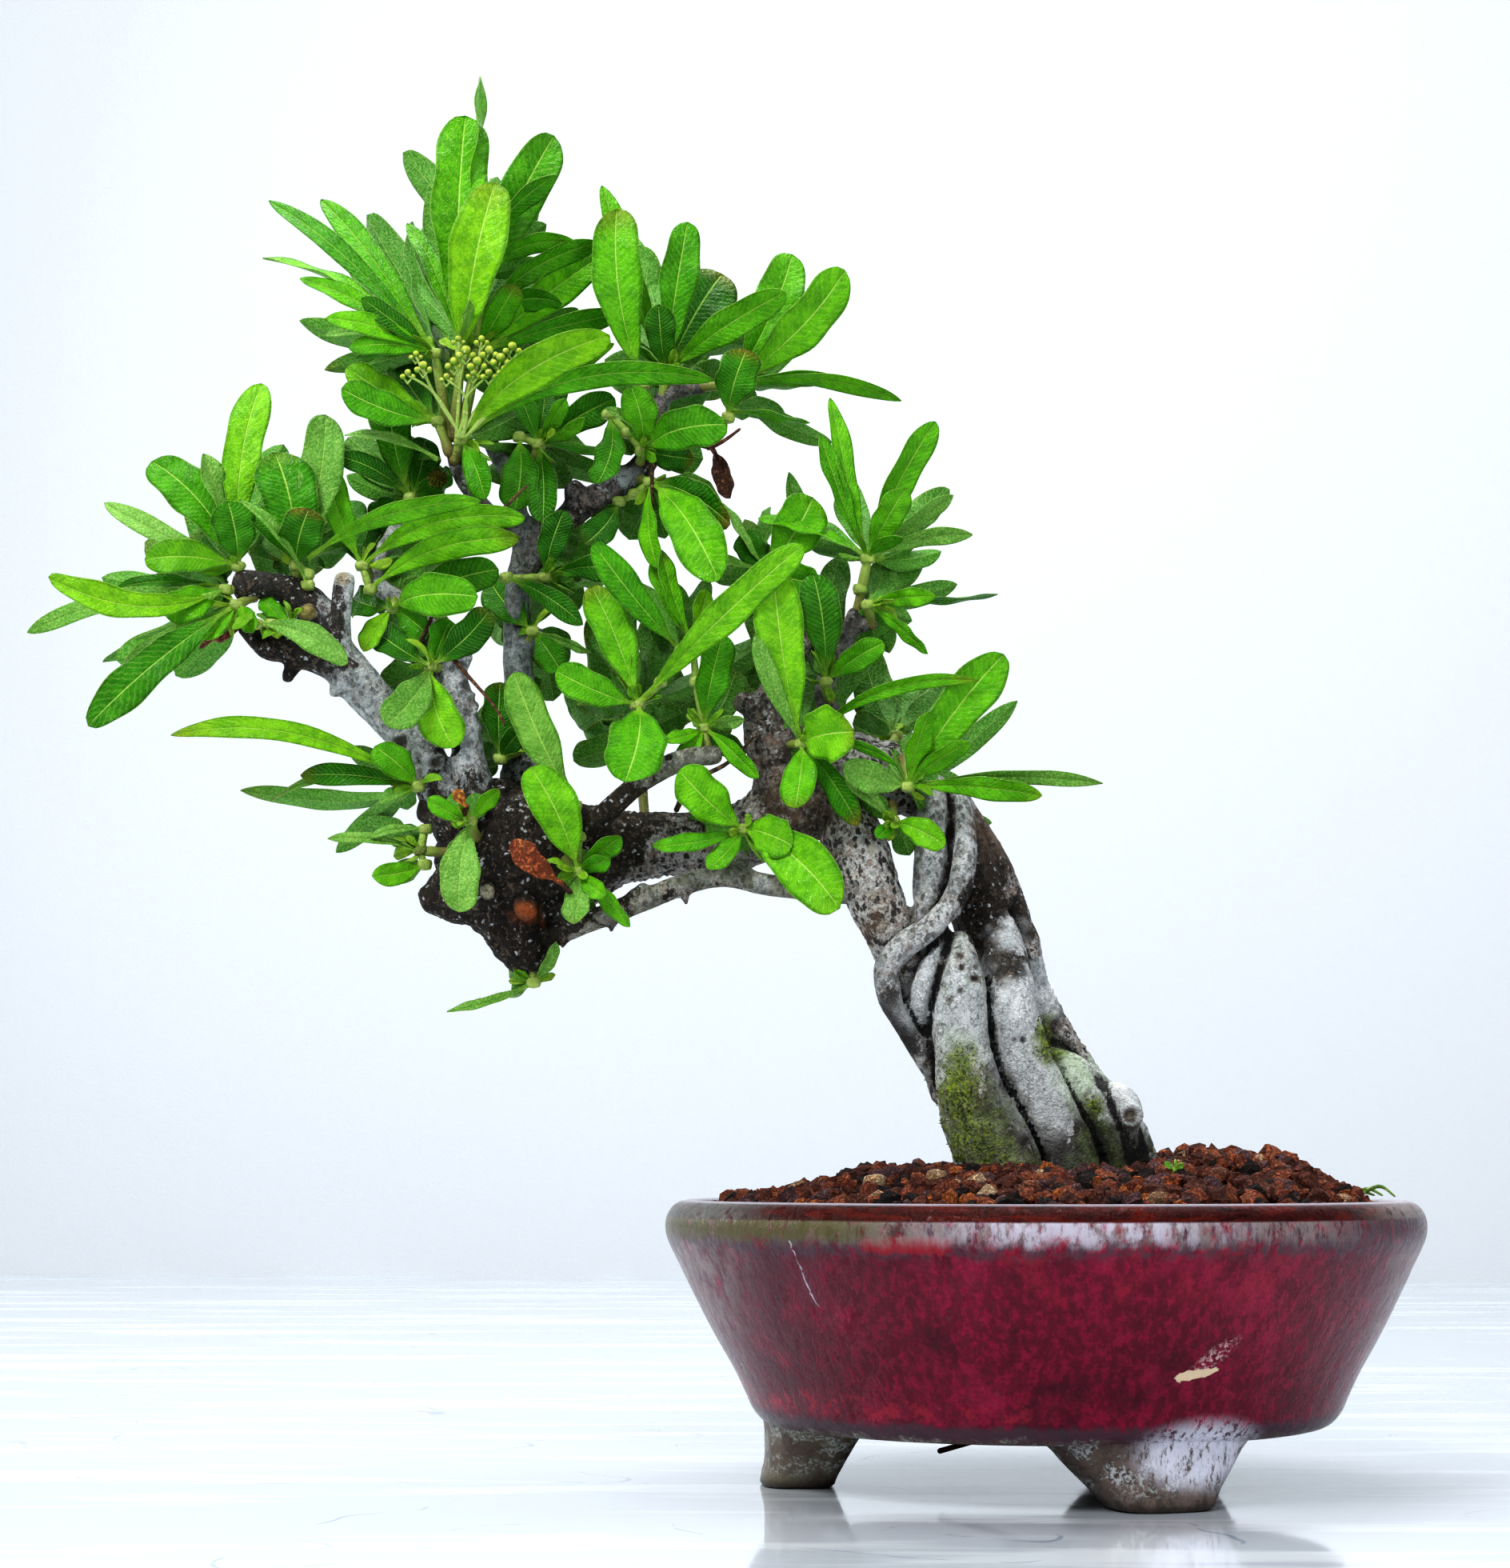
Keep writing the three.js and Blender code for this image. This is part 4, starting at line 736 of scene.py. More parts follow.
def curve(stations: np.ndarray, steps: int) -> np.ndarray:
    """Catmull-Rom curve through stations of any number of values, at even steps of its parameter.

    Args:
        stations: stations, (N, values).
        steps: number of points of the curve.

    Returns:
        Points of the curve, (steps, values).
    """
    count = len(stations)
    at = np.linspace(0.0, count - 1.0, steps)
    low = np.minimum(at.astype(int), count - 2)
    part = (at - low)[:, None]
    a, b, c, d = (stations[np.clip(low + shift, 0, count - 1)] for shift in (-1, 0, 1, 2))
    return 0.5 * (2.0 * b + (c - a) * part + (2.0 * a - 5.0 * b + 4.0 * c - d) * part**2
                  + (3.0 * b - a - 3.0 * c + d) * part**3)


def sideways(centres: np.ndarray) -> Tuple[np.ndarray, np.ndarray, np.ndarray]:
    """Find the tangent of a path and two directions across it.

    Args:
        centres: points of the path, (N, 3).

    Returns:
        The tangents, the directions across, which are level or nearly so, and those square to both.
    """
    tangent = unit(np.gradient(centres, axis=0))
    across = unit(np.cross(tangent, np.array([0.05, 1.0, 0.12])))
    return tangent, across, np.cross(tangent, across)


def tube(centres: np.ndarray, radii: np.ndarray, sides: int, cap: float = 1.0, flat: float = 1.0) -> Patch:
    """Closed round rod along a path.

    Formula: centre + radius times (cosine across + sine up); its ends are rounded by three rings
    whose radius follows a quarter circle.

    Args:
        centres: path, (N, 3).
        radii: radius at each point of the path.
        sides: number of sides.
        cap: how far the round ends reach, in radii.
        flat: thickness as a share of the width.

    Returns:
        The closed patch.
    """
    tangent, across, up = sideways(centres)
    turn = np.sin(np.array([0.08, 0.5, 0.85]) * np.pi / 2.0)
    out = np.sqrt(1.0 - turn**2) * cap
    first = centres[0] - tangent[0] * (radii[0] * out)[:, None]
    last = centres[-1] + tangent[-1] * (radii[-1] * out[::-1])[:, None]
    whole = np.concatenate([first, centres, last])
    wide = np.concatenate([radii[0] * turn, radii, radii[-1] * turn[::-1]])
    across = np.concatenate([across[[0] * 3], across, across[[-1] * 3]])
    up = np.concatenate([up[[0] * 3], up, up[[-1] * 3]])
    angle = even_angles(sides)
    ring = across[:, None] * np.cos(angle)[:, None] + up[:, None] * np.sin(angle)[:, None] * flat
    points = (whole[:, None] + ring * wide[:, None, None]).reshape(-1, 3)
    return Patch(points, closed_rings(len(whole), sides)).outward()


def pebbles(
    centres: np.ndarray, sizes: np.ndarray, turns: np.ndarray, cells: int, rough: float, seed: int
) -> Patch:
    """Closed, angular stones: cubes of cells by cells faces, rounded and dented.

    Formula: a cube point is moved towards the sphere, scaled by its own half sizes, dented by a
    random field, turned and put at its centre.

    Args:
        centres: middles, (N, 3), in metres.
        sizes: half sizes along the stone's own axes, (N, 3), in metres.
        turns: unit quaternions, (N, 4).
        cells: number of faces along an edge of the cube.
        rough: depth of the dents as a share of the size.
        seed: number of the random field.

    Returns:
        All the stones as one patch, with the value "stone", the number of each point's stone.
    """
    line = np.linspace(-1.0, 1.0, cells + 1)
    lattice = np.stack(np.meshgrid(line, line, line, indexing="ij"), axis=-1)
    outer = np.abs(lattice).max(-1) == 1.0
    cube = lattice[outer]
    numbers = (np.cumsum(outer) - 1).reshape(outer.shape)
    sheets = []
    for axis, end in np.ndindex(3, 2):
        sheet = numbers.take(end * cells, axis)
        square = np.stack([sheet[:-1, :-1], sheet[1:, :-1], sheet[1:, 1:], sheet[:-1, 1:]], axis=-1)
        sheets.append(square.reshape(-1, 4)[:, :: 1 if (end == 1) != (axis == 1) else -1])
    faces = np.concatenate(sheets)
    ball = unit(cube) * 0.75 + cube * 0.3
    shape = ball[None] * sizes[:, None]
    shift = shape + centres[:, None] * 7.0
    dent = lumps(shift.reshape(-1, 3), float(sizes.mean()) / MM * 1.1, seed, 2)
    shape = shape * (1.0 + rough * dent.reshape(shape.shape[:2]))[..., None]
    w, axis = turns[:, None, :1], turns[:, None, 1:]
    turned = shape + 2.0 * np.cross(axis, np.cross(axis, shape) + w * shape)
    points = (turned + centres[:, None]).reshape(-1, 3)
    starts = np.arange(len(centres)) * len(cube)
    stone = np.repeat(np.arange(len(centres)), len(cube))
    return Patch(points, [(faces[None] + starts[:, None, None]).reshape(-1, 4)], {"stone": stone})


def to_mesh(name: str, patch: Patch) -> bpy.types.Mesh:
    """Write a patch into a new mesh, its values as attributes.

    Args:
        name: name of the mesh.
        patch: points, faces and values of three (vector) or four (colour) numbers.

    Returns:
        The mesh.
    """
    mesh = bpy.data.meshes.new(name)
    corners = np.concatenate([faces.ravel() for faces in patch.faces])
    sizes = np.concatenate([np.full(len(faces), faces.shape[1]) for faces in patch.faces])
    mesh.vertices.add(len(patch.points))
    mesh.vertices.foreach_set("co", patch.points.astype(np.float32).ravel())
    mesh.loops.add(len(corners))
    mesh.loops.foreach_set("vertex_index", corners.astype(np.int32))
    mesh.polygons.add(len(sizes))
    mesh.polygons.foreach_set("loop_start", (np.cumsum(sizes) - sizes).astype(np.int32))
    mesh.polygons.foreach_set("use_smooth", np.full(len(sizes), patch.smooth))
    mesh.update(calc_edges=True)
    mesh.validate()
    for key, array in patch.values.items():
        if array.ndim == 2:
            kind, item = ("FLOAT_COLOR", "color") if array.shape[1] == 4 else ("FLOAT_VECTOR", "vector")
            layer = mesh.attributes.new(key, kind, "POINT")
            layer.data.foreach_set(item, array.astype(np.float32).ravel())
    return mesh


def add_object(name: str, data: Any) -> bpy.types.Object:
    """Put a new object with that data into the scene.

    Args:
        name: name of the object.
        data: its mesh, light or camera.

    Returns:
        The object.
    """
    item = bpy.data.objects.new(name, data)
    bpy.context.scene.collection.objects.link(item)
    return item


def add_piece(
    name: str, patch: Patch, material: bpy.types.Material, nodes: Sequence[str] = ()
) -> None:
    """Make a patch a finished piece of the object.

    Args:
        name: name of the piece.
        patch: its shape.
        material: its finish.
        nodes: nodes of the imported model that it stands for.
    """
    piece = add_object(name, to_mesh(name, patch))
    piece.data.materials.append(material)
    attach(piece, BODY)
    if nodes:
        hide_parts(*nodes)
    LOG.info("%s: %d points", name, len(patch.points))


# ---------------------------------------------------------------- the pot


@dataclass
class Pot:
    """Round bowl with a rolled rim on three feet, thrown in stoneware. Sizes in millimetres."""

    drawing: Drawing
    foot_angles: Row = (20.0, 146.0, 272.0)
    foot_top: float = 23.5
    foot_toe: float = 11.0
    foot_sides: int = 72
    turns: int = 240
    steps: int = 190
    swell: float = 0.32
    profile: Tuple[Row, ...] = (
        (11, 15), (30, 15), (52, 15), (63, 15), (69, 15.4), (72.4, 18.2), (74.7, 23),
        (77.4, 28.6), (81.2, 35.2), (85, 42.2), (88.5, 49.2), (91, 54.4), (92.9, 58.2), (94.1, 61.2),
        (94.4, 64), (93.9, 66.4), (92.6, 68.4), (90.6, 69.6), (88.4, 69.95), (86.4, 69.2),
        (85.2, 67.2), (84.8, 64.6), (84.5, 56.5), (81.8, 50), (78.2, 42.6), (74.4, 35.6),
        (70.4, 28.8), (67.4, 24.8), (63, 22.7), (54, 22.5), (30, 22.5), (11, 22.5),
    )

    def bowl(self) -> Patch:
        """Wall, floor and rim: the profile turned about the axis, swollen by a slow field.

        Returns:
            The closed bowl.
        """
        line = curve(np.array(self.profile, float), self.steps)
        angle = even_angles(self.turns)
        ring = np.stack([np.cos(angle), np.sin(angle), np.zeros(self.turns)], axis=1)
        points = line[:, None, :1] * ring[None] + line[:, None, 1:] * np.array([0.0, 0.0, 1.0])
        points = points.reshape(-1, 3) * MM
        outer = ease(np.hypot(points[:, 0], points[:, 1]), 0.05, 0.07)
        swell = self.swell * lumps(points, 26.0, 3, 2) * outer
        radial = unit(points * np.array([1.0, 1.0, 0.0]))
        rows = len(line)
        faces = grid_faces(rows, self.turns, True)
        last = (rows - 1) * self.turns
        column = np.arange(self.turns)
        after = (column + 1) % self.turns
        bore = np.stack([last + column, last + after, after, column], axis=1)
        return Patch(points + radial * swell[:, None] * MM + self.drawing.origin, [faces, bore]).outward()

    def foot(self, degrees: float) -> Patch:
        """One cloud-shaped foot.

        Formula: rings like an ellipse, but of the power 2 / 0.55 and so nearly square. Their half
        width grows by a smooth step from the toe to the top and flares into the bowl above 12 mm.

        Args:
            degrees: angle of the foot about the pot's axis, from the front (-Y) towards +X.

        Returns:
            The closed foot.
        """
        high = np.array([0.0, 0.25, 0.9, 2.0, 3.5, 5.0, 7.0, 9.0, 11.0, 13.0, 15.0, 16.4, 17.4, 18.4, 19.8])
        flare = np.clip((high - 12.4) / 5.0, 0.0, 1.3) ** 2
        wide = self.foot_toe + (self.foot_top - self.foot_toe) * ease(high, -3.0, 17.0) + 4.5 * flare
        toe = 1.0 - 0.12 * np.clip(1.0 - high / 0.9, 0.0, 1.0) ** 2
        outer = 69.4 + 1.6 * np.clip(1.0 - high / 6.0, 0.0, 1.0) + 0.9 * flare
        inner = 53.0 - 7.0 * high / 18.0
        angle = even_angles(self.foot_sides)
        square = [np.sign(part) * np.abs(part) ** 0.55 for part in (np.cos(angle), np.sin(angle))]
        tangential = (wide * toe)[:, None] * square[0]
        depth = ((outer - inner) / 2.0 * toe)[:, None] * square[1] + ((outer + inner) / 2.0)[:, None]
        # the outer face bends round the pot
        depth = depth - tangential**2 / (2.0 * 72.0)
        turn = np.radians(degrees)
        out, along = np.array([np.sin(turn), -np.cos(turn)]), np.array([np.cos(turn), np.sin(turn)])
        flat = depth[..., None] * out + tangential[..., None] * along
        points = np.concatenate([flat, np.broadcast_to(high[:, None, None], flat.shape[:2] + (1,))], axis=2)
        points = points.reshape(-1, 3) * MM
        wobble = lumps(points, 7.0, 8, 2) * 0.35 * MM * ease(points[:, 2], 0.0, 0.003)
        points[:, :2] += unit(points[:, :2]) * wobble[:, None]
        return Patch(points + self.drawing.origin, closed_rings(len(high), self.foot_sides)).outward()

    def build(self) -> None:
        """Make the bowl with its three feet as one fired piece."""
        clay = merged([self.bowl(), *[self.foot(degrees) for degrees in self.foot_angles]])
        glaze = GlazeFinish(centre=self.drawing.axis).build()
        add_piece("glazed_bowl", clay, glaze, ["pot"])


@dataclass
class DrainParts:
    """Netting over the drain hole and the wire staple that holds it. Sizes in millimetres."""

    drawing: Drawing
    strand: float = 0.4
    pitch: float = 3.0
    wire: float = 0.7
    half_span: float = 6.0
    leg_reach: float = 22.0
    droop: float = 6.0
    steps: int = 24
    bend_steps: int = 120

    def netting(self) -> Patch:
        """Moulded net: round strands at even spacing both ways.

        Returns:
            The closed strands.
        """
        low, high = np.array(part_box("drain_screen"))
        middle = (low + high) / 2.0
        half = (high - low)[0] / 2.0
        count = int(round(2.0 * half / (self.pitch * MM)))
        patches = []
        for place in np.linspace(-half, half, count + 1):
            radius = self.strand * MM
            keep = np.full(self.steps, np.clip(place, -half + radius, half - radius))
            line = np.linspace(-half + radius, half - radius, self.steps)
            for first, second in ((line, keep), (keep, line)):
                points = np.stack([first, second, np.zeros(self.steps)], axis=1) + middle
                patches.append(tube(points, np.full(self.steps, radius), 8))
        return merged(patches)

    def staple(self) -> Patch:
        """Bent wire: over the net, down through the hole and out under the pot.

        Returns:
            The closed wire.
        """
        box_low, box_high = np.array(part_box("screen_clip_wire"))
        top, under = box_high[2] - self.wire * MM, box_low[2] + (self.wire + self.droop) * MM
        span, reach = self.half_span * MM, self.leg_reach * MM
        corner = 1.6 * MM
        right = [(0.0, top), (span - corner, top), (span - 0.3 * corner, top - 0.3 * corner),
                 (span, top - corner), (span, under + 2 * corner),
                 (span + 0.4 * corner, under + 0.4 * corner), (span + 2 * corner, under), (reach, under)]
        left = [(-x, z) for x, z in right[:0:-1]]
        left[:3] = [(-reach - 4.0 * MM, under - self.droop * MM), (-span - 3.0 * MM, under - 1.2 * MM),
                    (-span - 0.4 * corner, under)]
        points = np.array([(self.drawing.origin[0] + x, self.drawing.origin[1], z) for x, z in left + right])
        return tube(curve(points, self.bend_steps), np.full(self.bend_steps, self.wire * MM), 10)

    def build(self) -> None:
        """Make the net and the staple."""
        net = TwoToneFinish("moulded_polyethylene_net", "#2b2d2a", "#161715", 1.5, 0.55)
        add_piece("drain_net", self.netting(), net.build(), ["drain_screen"])
        # copper wire that has gone brown, with brighter spots
        copper = TwoToneFinish("oxidised_copper_wire", "#8a5238", "#3b241b", 1.2, 0.42, 1.0)
        add_piece("net_staple", self.staple(), copper.build(), ["screen_clip_wire"])


# ---------------------------------------------------------------- soil and stones


@dataclass
class Soil:
    """Baked clay grit: the bed that fills the pot, loose grains on it and a few stones. Millimetres."""

    drawing: Drawing
    radius: float = 83.3
    edge_level: float = 67.9
    grains: int = 2700
    seed: int = 11
    stones: int = 5
    rings: int = 84
    turns: int = 220
    browns: Tuple[Tuple[str, str, float], ...] = (
        ("#8a4630", "#b46e4c", 0.31), ("#5c3026", "#864e3a", 0.31), ("#241a18", "#40322c", 0.15),
        ("#5e4044", "#8c686a", 0.14), ("#b99474", "#d8bc98", 0.02), ("#a05428", "#cc7c40", 0.07),
    )

    def level(self, x: np.ndarray, y: np.ndarray) -> np.ndarray:
        """Height of the soil: mounded by the trunk, heaped at the right, low in front.

        Args:
            x: places across, from the pot's axis, in millimetres.
            y: places back, from the pot's axis, in millimetres.

        Returns:
            Heights in millimetres.
        """
        edge = ease(self.radius - np.hypot(x, y), 0.0, 8.0)
        mound = 7.0 * ease(self.radius - np.hypot(x - 8.0, y), 2.0, 40.0)
        heap = 4.2 * ease(x, 22.0, 36.0) * ease(x, 76.0, 58.0) * np.exp(-(((y - 6.0) / 30.0) ** 2))
        dip = -2.0 * np.exp(-(((x - 14.0) / 26.0) ** 2) - ((y + 42.0) / 22.0) ** 2)
        return self.edge_level + (mound + heap + dip) * edge

    def bed(self) -> Patch:
        """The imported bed: rings from the axis out over the top, down the wall and back under.

        Returns:
            The closed bed, with the value tint.
        """
        out = np.linspace(0.4, self.radius, self.rings)
        down = np.array([(self.radius, 64.5), (83.6, 56.9), (81.0, 50.4), (77.4, 43.0), (73.6, 36.0),
                         (69.6, 29.4), (66.2, 25.8), (30.0, 25.5), (0.4, 25.5)])
        radii = np.concatenate([out, down[:, 0]])
        angle = even_angles(self.turns)
        x, y = radii[:, None] * np.cos(angle), radii[:, None] * np.sin(angle)
        z = np.broadcast_to(np.concatenate([out, down[:, 1]])[:, None], x.shape).copy()
        z[: self.rings] = self.level(x[: self.rings], y[: self.rings])
        points = np.stack([x, y, z], axis=2).reshape(-1, 3) * MM
        top = np.arange(len(points)) < self.rings * self.turns
        rise = (0.9 * lumps(points, 4.2, 5, 2) + 0.6 * np.abs(lumps(points, 2.4, 6))) * top
        points[:, 2] += rise * MM
        shade = np.clip(0.5 + 0.5 * lumps(points, 3.0, 9, 2), 0.0, 1.0)
        values = {"tint": mixed_colour("#2e1b16", "#6b3a2a", shade)}
        faces = closed_rings(len(radii), self.turns)
        return Patch(points + self.drawing.origin, faces, values).outward()

    def scattered(self, count: int, rng: np.random.Generator) -> np.ndarray:
        """Even random places on the soil, thinning out right at the rim.

        Args:
            count: number of places.
            rng: random draws.

        Returns:
            Places (x, y) from the axis, in millimetres.
        """
        reach = (self.radius - 1.5) * np.sqrt(rng.random(count))
        angle = rng.random(count) * 2.0 * np.pi
        return np.stack([reach * np.cos(angle), reach * np.sin(angle)], axis=1)

    def loose_grains(self) -> Patch:
        """Grains of 1.5 to 6 mm that lie on the bed, each turned its own way and with its colour.

        Returns:
            The closed grains, with the values stone and tint.
        """
        rng = np.random.default_rng(self.seed)
        at = self.scattered(self.grains, rng)
        size = 0.95 + 1.75 * rng.random(self.grains) ** 1.2
        edge = ease(self.radius - np.hypot(at[:, 0], at[:, 1]), 0.0, 7.0)
        size *= 0.6 + 0.4 * edge
        axes = size[:, None] * (0.72 + 0.5 * rng.random((self.grains, 3)))
        lift = (rng.random(self.grains) * 1.7 - 0.2) * edge
        z = self.level(at[:, 0], at[:, 1]) + lift + size * 0.3
        turns = rng.normal(size=(self.grains, 4))
        centres = np.column_stack([at, z]) * MM + self.drawing.origin
        patch = pebbles(centres, axes * MM, unit(turns), 2, 0.34, 4)
        patch.smooth = False
        pick = rng.choice(len(self.browns), self.grains, p=[row[2] for row in self.browns])
        # a clump of black peat lies behind the crest at the left
        pick[np.hypot(at[:, 0] + 47.0, at[:, 1] - 4.0) < 7.0] = 2
        share = rng.random(self.grains)
        tints = np.stack([mixed_colour(low, high, share) for low, high, _ in self.browns])
        tint = tints[pick, np.arange(self.grains)]
        patch.values["tint"] = tint[patch.values["stone"]]
        return patch

    def stone(self, number: int) -> Patch:
        """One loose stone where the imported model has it: a ball of 12 by 12 faces a side, dented.

        Args:
            number: number of the stone, from one.

        Returns:
            The closed stone, with the value tint.
        """
        low, high = np.array(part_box(f"stone_{number}"))
        size = (high - low) / 2.0 * np.array([0.95, 0.9, 0.95])
        patch = pebbles(((low + high) / 2.0)[None], size[None], UPRIGHT, 12, 0.13, number)
        shade = 0.5 + 0.5 * lumps(patch.points, 2.0, number, 3)
        tones = ("#c79f74", "#dcc3a0") if number < 3 else ("#7c4a35", "#a2684a")
        patch.values["tint"] = mixed_colour(*tones, shade)
        return patch

    def build(self) -> None:
        """Make the bed, the grains and the stones."""
        grit = GritFinish().build()
        add_piece("soil_filling", self.bed(), grit, ["soil_bed"])
        add_piece("loose_grit", self.loose_grains(), grit)
        pebble = GritFinish("river_pebble", 0.9, "#e6d6bf", 0.75).build()
        for number in range(1, self.stones + 1):
            stone = self.stone(number)
            add_piece(f"pebble_{number}", stone, pebble, [f"stone_{number}"])


# ---------------------------------------------------------------- the wood


class Skin(Enum):
    """Barks of this tree: dark and light colour, then shares of chalk, cracks and flecks."""

    MOTTLED = ("#75675a", "#cfc8be", 0.75, 0.5, 1.0)
    WHITE = ("#c4caca", "#f4f7f8", 0.95, 0.15, 0.4)
    GREEN = ("#a6b092", "#e8eee6", 0.8, 0.25, 0.5)
    FLECKED = ("#a08f7c", "#e8e0d4", 0.85, 0.3, 1.0)
    SMOOTH = ("#a5a49e", "#e6e6e2", 0.75, 0.1, 0.6)
    BLACK = ("#14100d", "#3a3028", 0.04, 0.8, 0.3)
    DARK = ("#1a1612", "#3c352c", 0.0, 0.5, 0.5)
    PALE = ("#85846f", "#b9b8a2", 0.3, 0.1, 0.5)
    LICHEN = ("#9aa09e", "#dfe3e2", 0.5, 0.2, 0.5)
    GNARLED = ("#4a4036", "#a09284", 0.35, 0.8, 0.8)
    GREY = ("#7d8686", "#b9c2c2", 0.25, 0.15, 0.4)
    DUSKY = ("#443d3c", "#8d8482", 0.25, 0.4, 0.6)
    ROOT = ("#57493c", "#8d8170", 0.2, 0.4, 0.6)


@dataclass(frozen=True)
class Limb:
    """One limb: its bark, its stations (x, z, depth, radius), and how deep its seams are."""

    skin: Skin
    stations: Tuple[Row, ...]
    seam: float = 0.0


class Mark(Enum):
    """What may be on the bark: colours, how far it is sunk, and whether it is moss."""

    BLACK = ("#120e0b", "#33291f", 0.0, 0.0)
    WHITE = ("#ccd2d2", "#f6f8f8", 0.0, 0.0)
    BROWN = ("#4a392c", "#8a7460", 0.0, 0.0)
    DUSK = ("#2c2a2a", "#5a5654", 0.0, 0.0)
    JADE = ("#9db48c", "#dde9d8", 0.0, 0.0)
    SHADE_MOSS = ("#15180f", "#4c5440", 0.0, 0.35)
    MOSS = ("#4e5a34", "#98a080", 0.2, 1.0)
    PIT = ("#1c130e", "#4a3324", -0.6, 0.0)
    SCAR = ("#4a4038", "#8a8178", -0.8, 0.0)
    # the hollow is sunk and coloured near black: painted shade inside it
    HOLLOW = ("#050403", "#0e0b09", -2.2, 0.0)
    CUT = ("#a4541c", "#d5772c", -0.2, 0.0)
    PALE_CUT = ("#b9ad8d", "#ddd4b8", -0.2, 0.0)
    YELLOW_CUT = ("#a99a55", "#cfc078", 0.0, 0.0)


STEMS: Tuple[Limb, ...] = (
    Limb(Skin.MOTTLED, (
        (18, 60, 6, 13), (14, 78, 6, 15), (10.5, 90, 6, 12), (4.5, 105, 6, 9), (-4.6, 123, 7, 8.4),
        (-8.5, 138, 8, 8), (-12, 150, 8, 7.6), (-18, 163, 7, 7), (-27, 174.5, 5, 7.8),
        (-37, 179, 3, 9.4), (-48, 179, 2, 11.5), (-60, 173, 2, 11), (-76, 164, 3, 8.5),
        (-95, 162, 4, 8.2), (-110, 161, 4, 11), (-124, 158, 3, 17), (-139, 158, 2, 19.5),
        (-149, 160, 2, 8),
    ), 1.0),
    Limb(Skin.WHITE, (
        (10, 62, -6, 8.5), (8, 82, -7, 7.8), (4, 92, -8, 7.4), (-1, 101, -9, 7), (-5, 110, -9, 6.8),
        (-7, 119, -9, 6.6), (-8, 128, -6, 6.2), (-10, 141, 2, 5),
    ), 1.0),
    Limb(Skin.DARK, (
        (-4, 112, 6, 7), (-10, 126, 5, 7.5), (-14, 140, 4, 7.5), (-17, 154, 4, 7.2), (-22, 168, 4, 6.5),
    ), 0.3),
    Limb(Skin.GREEN, (
        (-9, 62, -8, 12), (-10.5, 79, -9, 11), (-13.5, 89, -10, 10.2), (-17.5, 99, -11, 8.8),
        (-19.8, 109, -11, 8), (-20, 119, -11, 7.3), (-20, 127, -11, 6.4), (-21, 138, -9, 4),
    ), 1.0),
    Limb(Skin.FLECKED, (
        (-21, 100, -4, 7), (-25, 112, -4, 7), (-31, 124, -4, 6.5), (-36, 136, -4, 6.5),
        (-41, 147, -4, 7.2), (-45, 158, -3, 7.8), (-50, 170, 0, 8),
    ), 0.8),
    Limb(Skin.SMOOTH, (
        (-29, 136, -6, 3.4), (-27.5, 145, -6, 4.3), (-27.5, 152, -5, 4.5), (-27, 162, -5, 4.6),
        (-26, 172, -3, 4.8), (-28, 181, 0, 4.6),
    ), 1.0),
    Limb(Skin.SMOOTH, (
        (-20, 174, -3, 3.2), (-19, 165, -6, 3.3), (-19, 157, -8, 3.3), (-21, 149, -10, 3.3),
        (-27, 141, -12, 3.4), (-34, 136.5, -13, 3.4), (-38.6, 130.5, -13, 3.3), (-37.6, 123, -12, 3.2),
        (-34, 116.5, -11, 3), (-30, 110, -10, 3), (-24, 100, -8, 3),
    ), 1.0),
    Limb(Skin.WHITE, (
        (-22, 139, -10, 2), (-27, 131, -11, 3.4), (-30.5, 122, -11, 2.9), (-29.5, 114, -9, 2),
    ), 1.0),
    Limb(Skin.GREEN, (
        (2, 108, 2, 6), (9, 99, -2, 8.5), (16, 92, -3, 8.5), (21, 81, -3, 8.5), (26, 66, -2, 7),
    ), 1.0),
    Limb(Skin.WHITE, (
        (11, 101.5, -4, 3), (16.5, 99.5, -6, 3.7), (21, 95.5, -8, 4.3), (22.2, 88, -8, 3.8),
        (24, 78, -6, 5),
    ), 1.0),
    Limb(Skin.ROOT, ((18, 68, 8, 8), (38, 60, 20, 6), (56, 50, 30, 3)), 0.3),
    Limb(Skin.ROOT, ((4, 72, 2, 9), (-22, 61, 28, 6), (-40, 50, 46, 3)), 0.3),
    Limb(Skin.ROOT, ((-12, 68, -10, 8), (-34, 60, -22, 6), (-52, 50, -34, 3)), 0.3),
    Limb(Skin.ROOT, ((14, 68, -8, 8), (24, 60, -32, 6), (30, 50, -50, 3)), 0.3),
    Limb(Skin.BLACK, ((-134, 150, 0, 13), (-132, 140, -3, 9), (-129, 132, -4, 5)), 0.5),
    Limb(Skin.BLACK, ((-140, 166, 0, 14), (-150, 170, -1, 8), (-156, 171, -2, 4)), 0.5),
    Limb(Skin.BLACK, ((-140, 152, -2, 14), (-151, 149, -3, 7), (-155, 148, -4, 4)), 0.5),
)

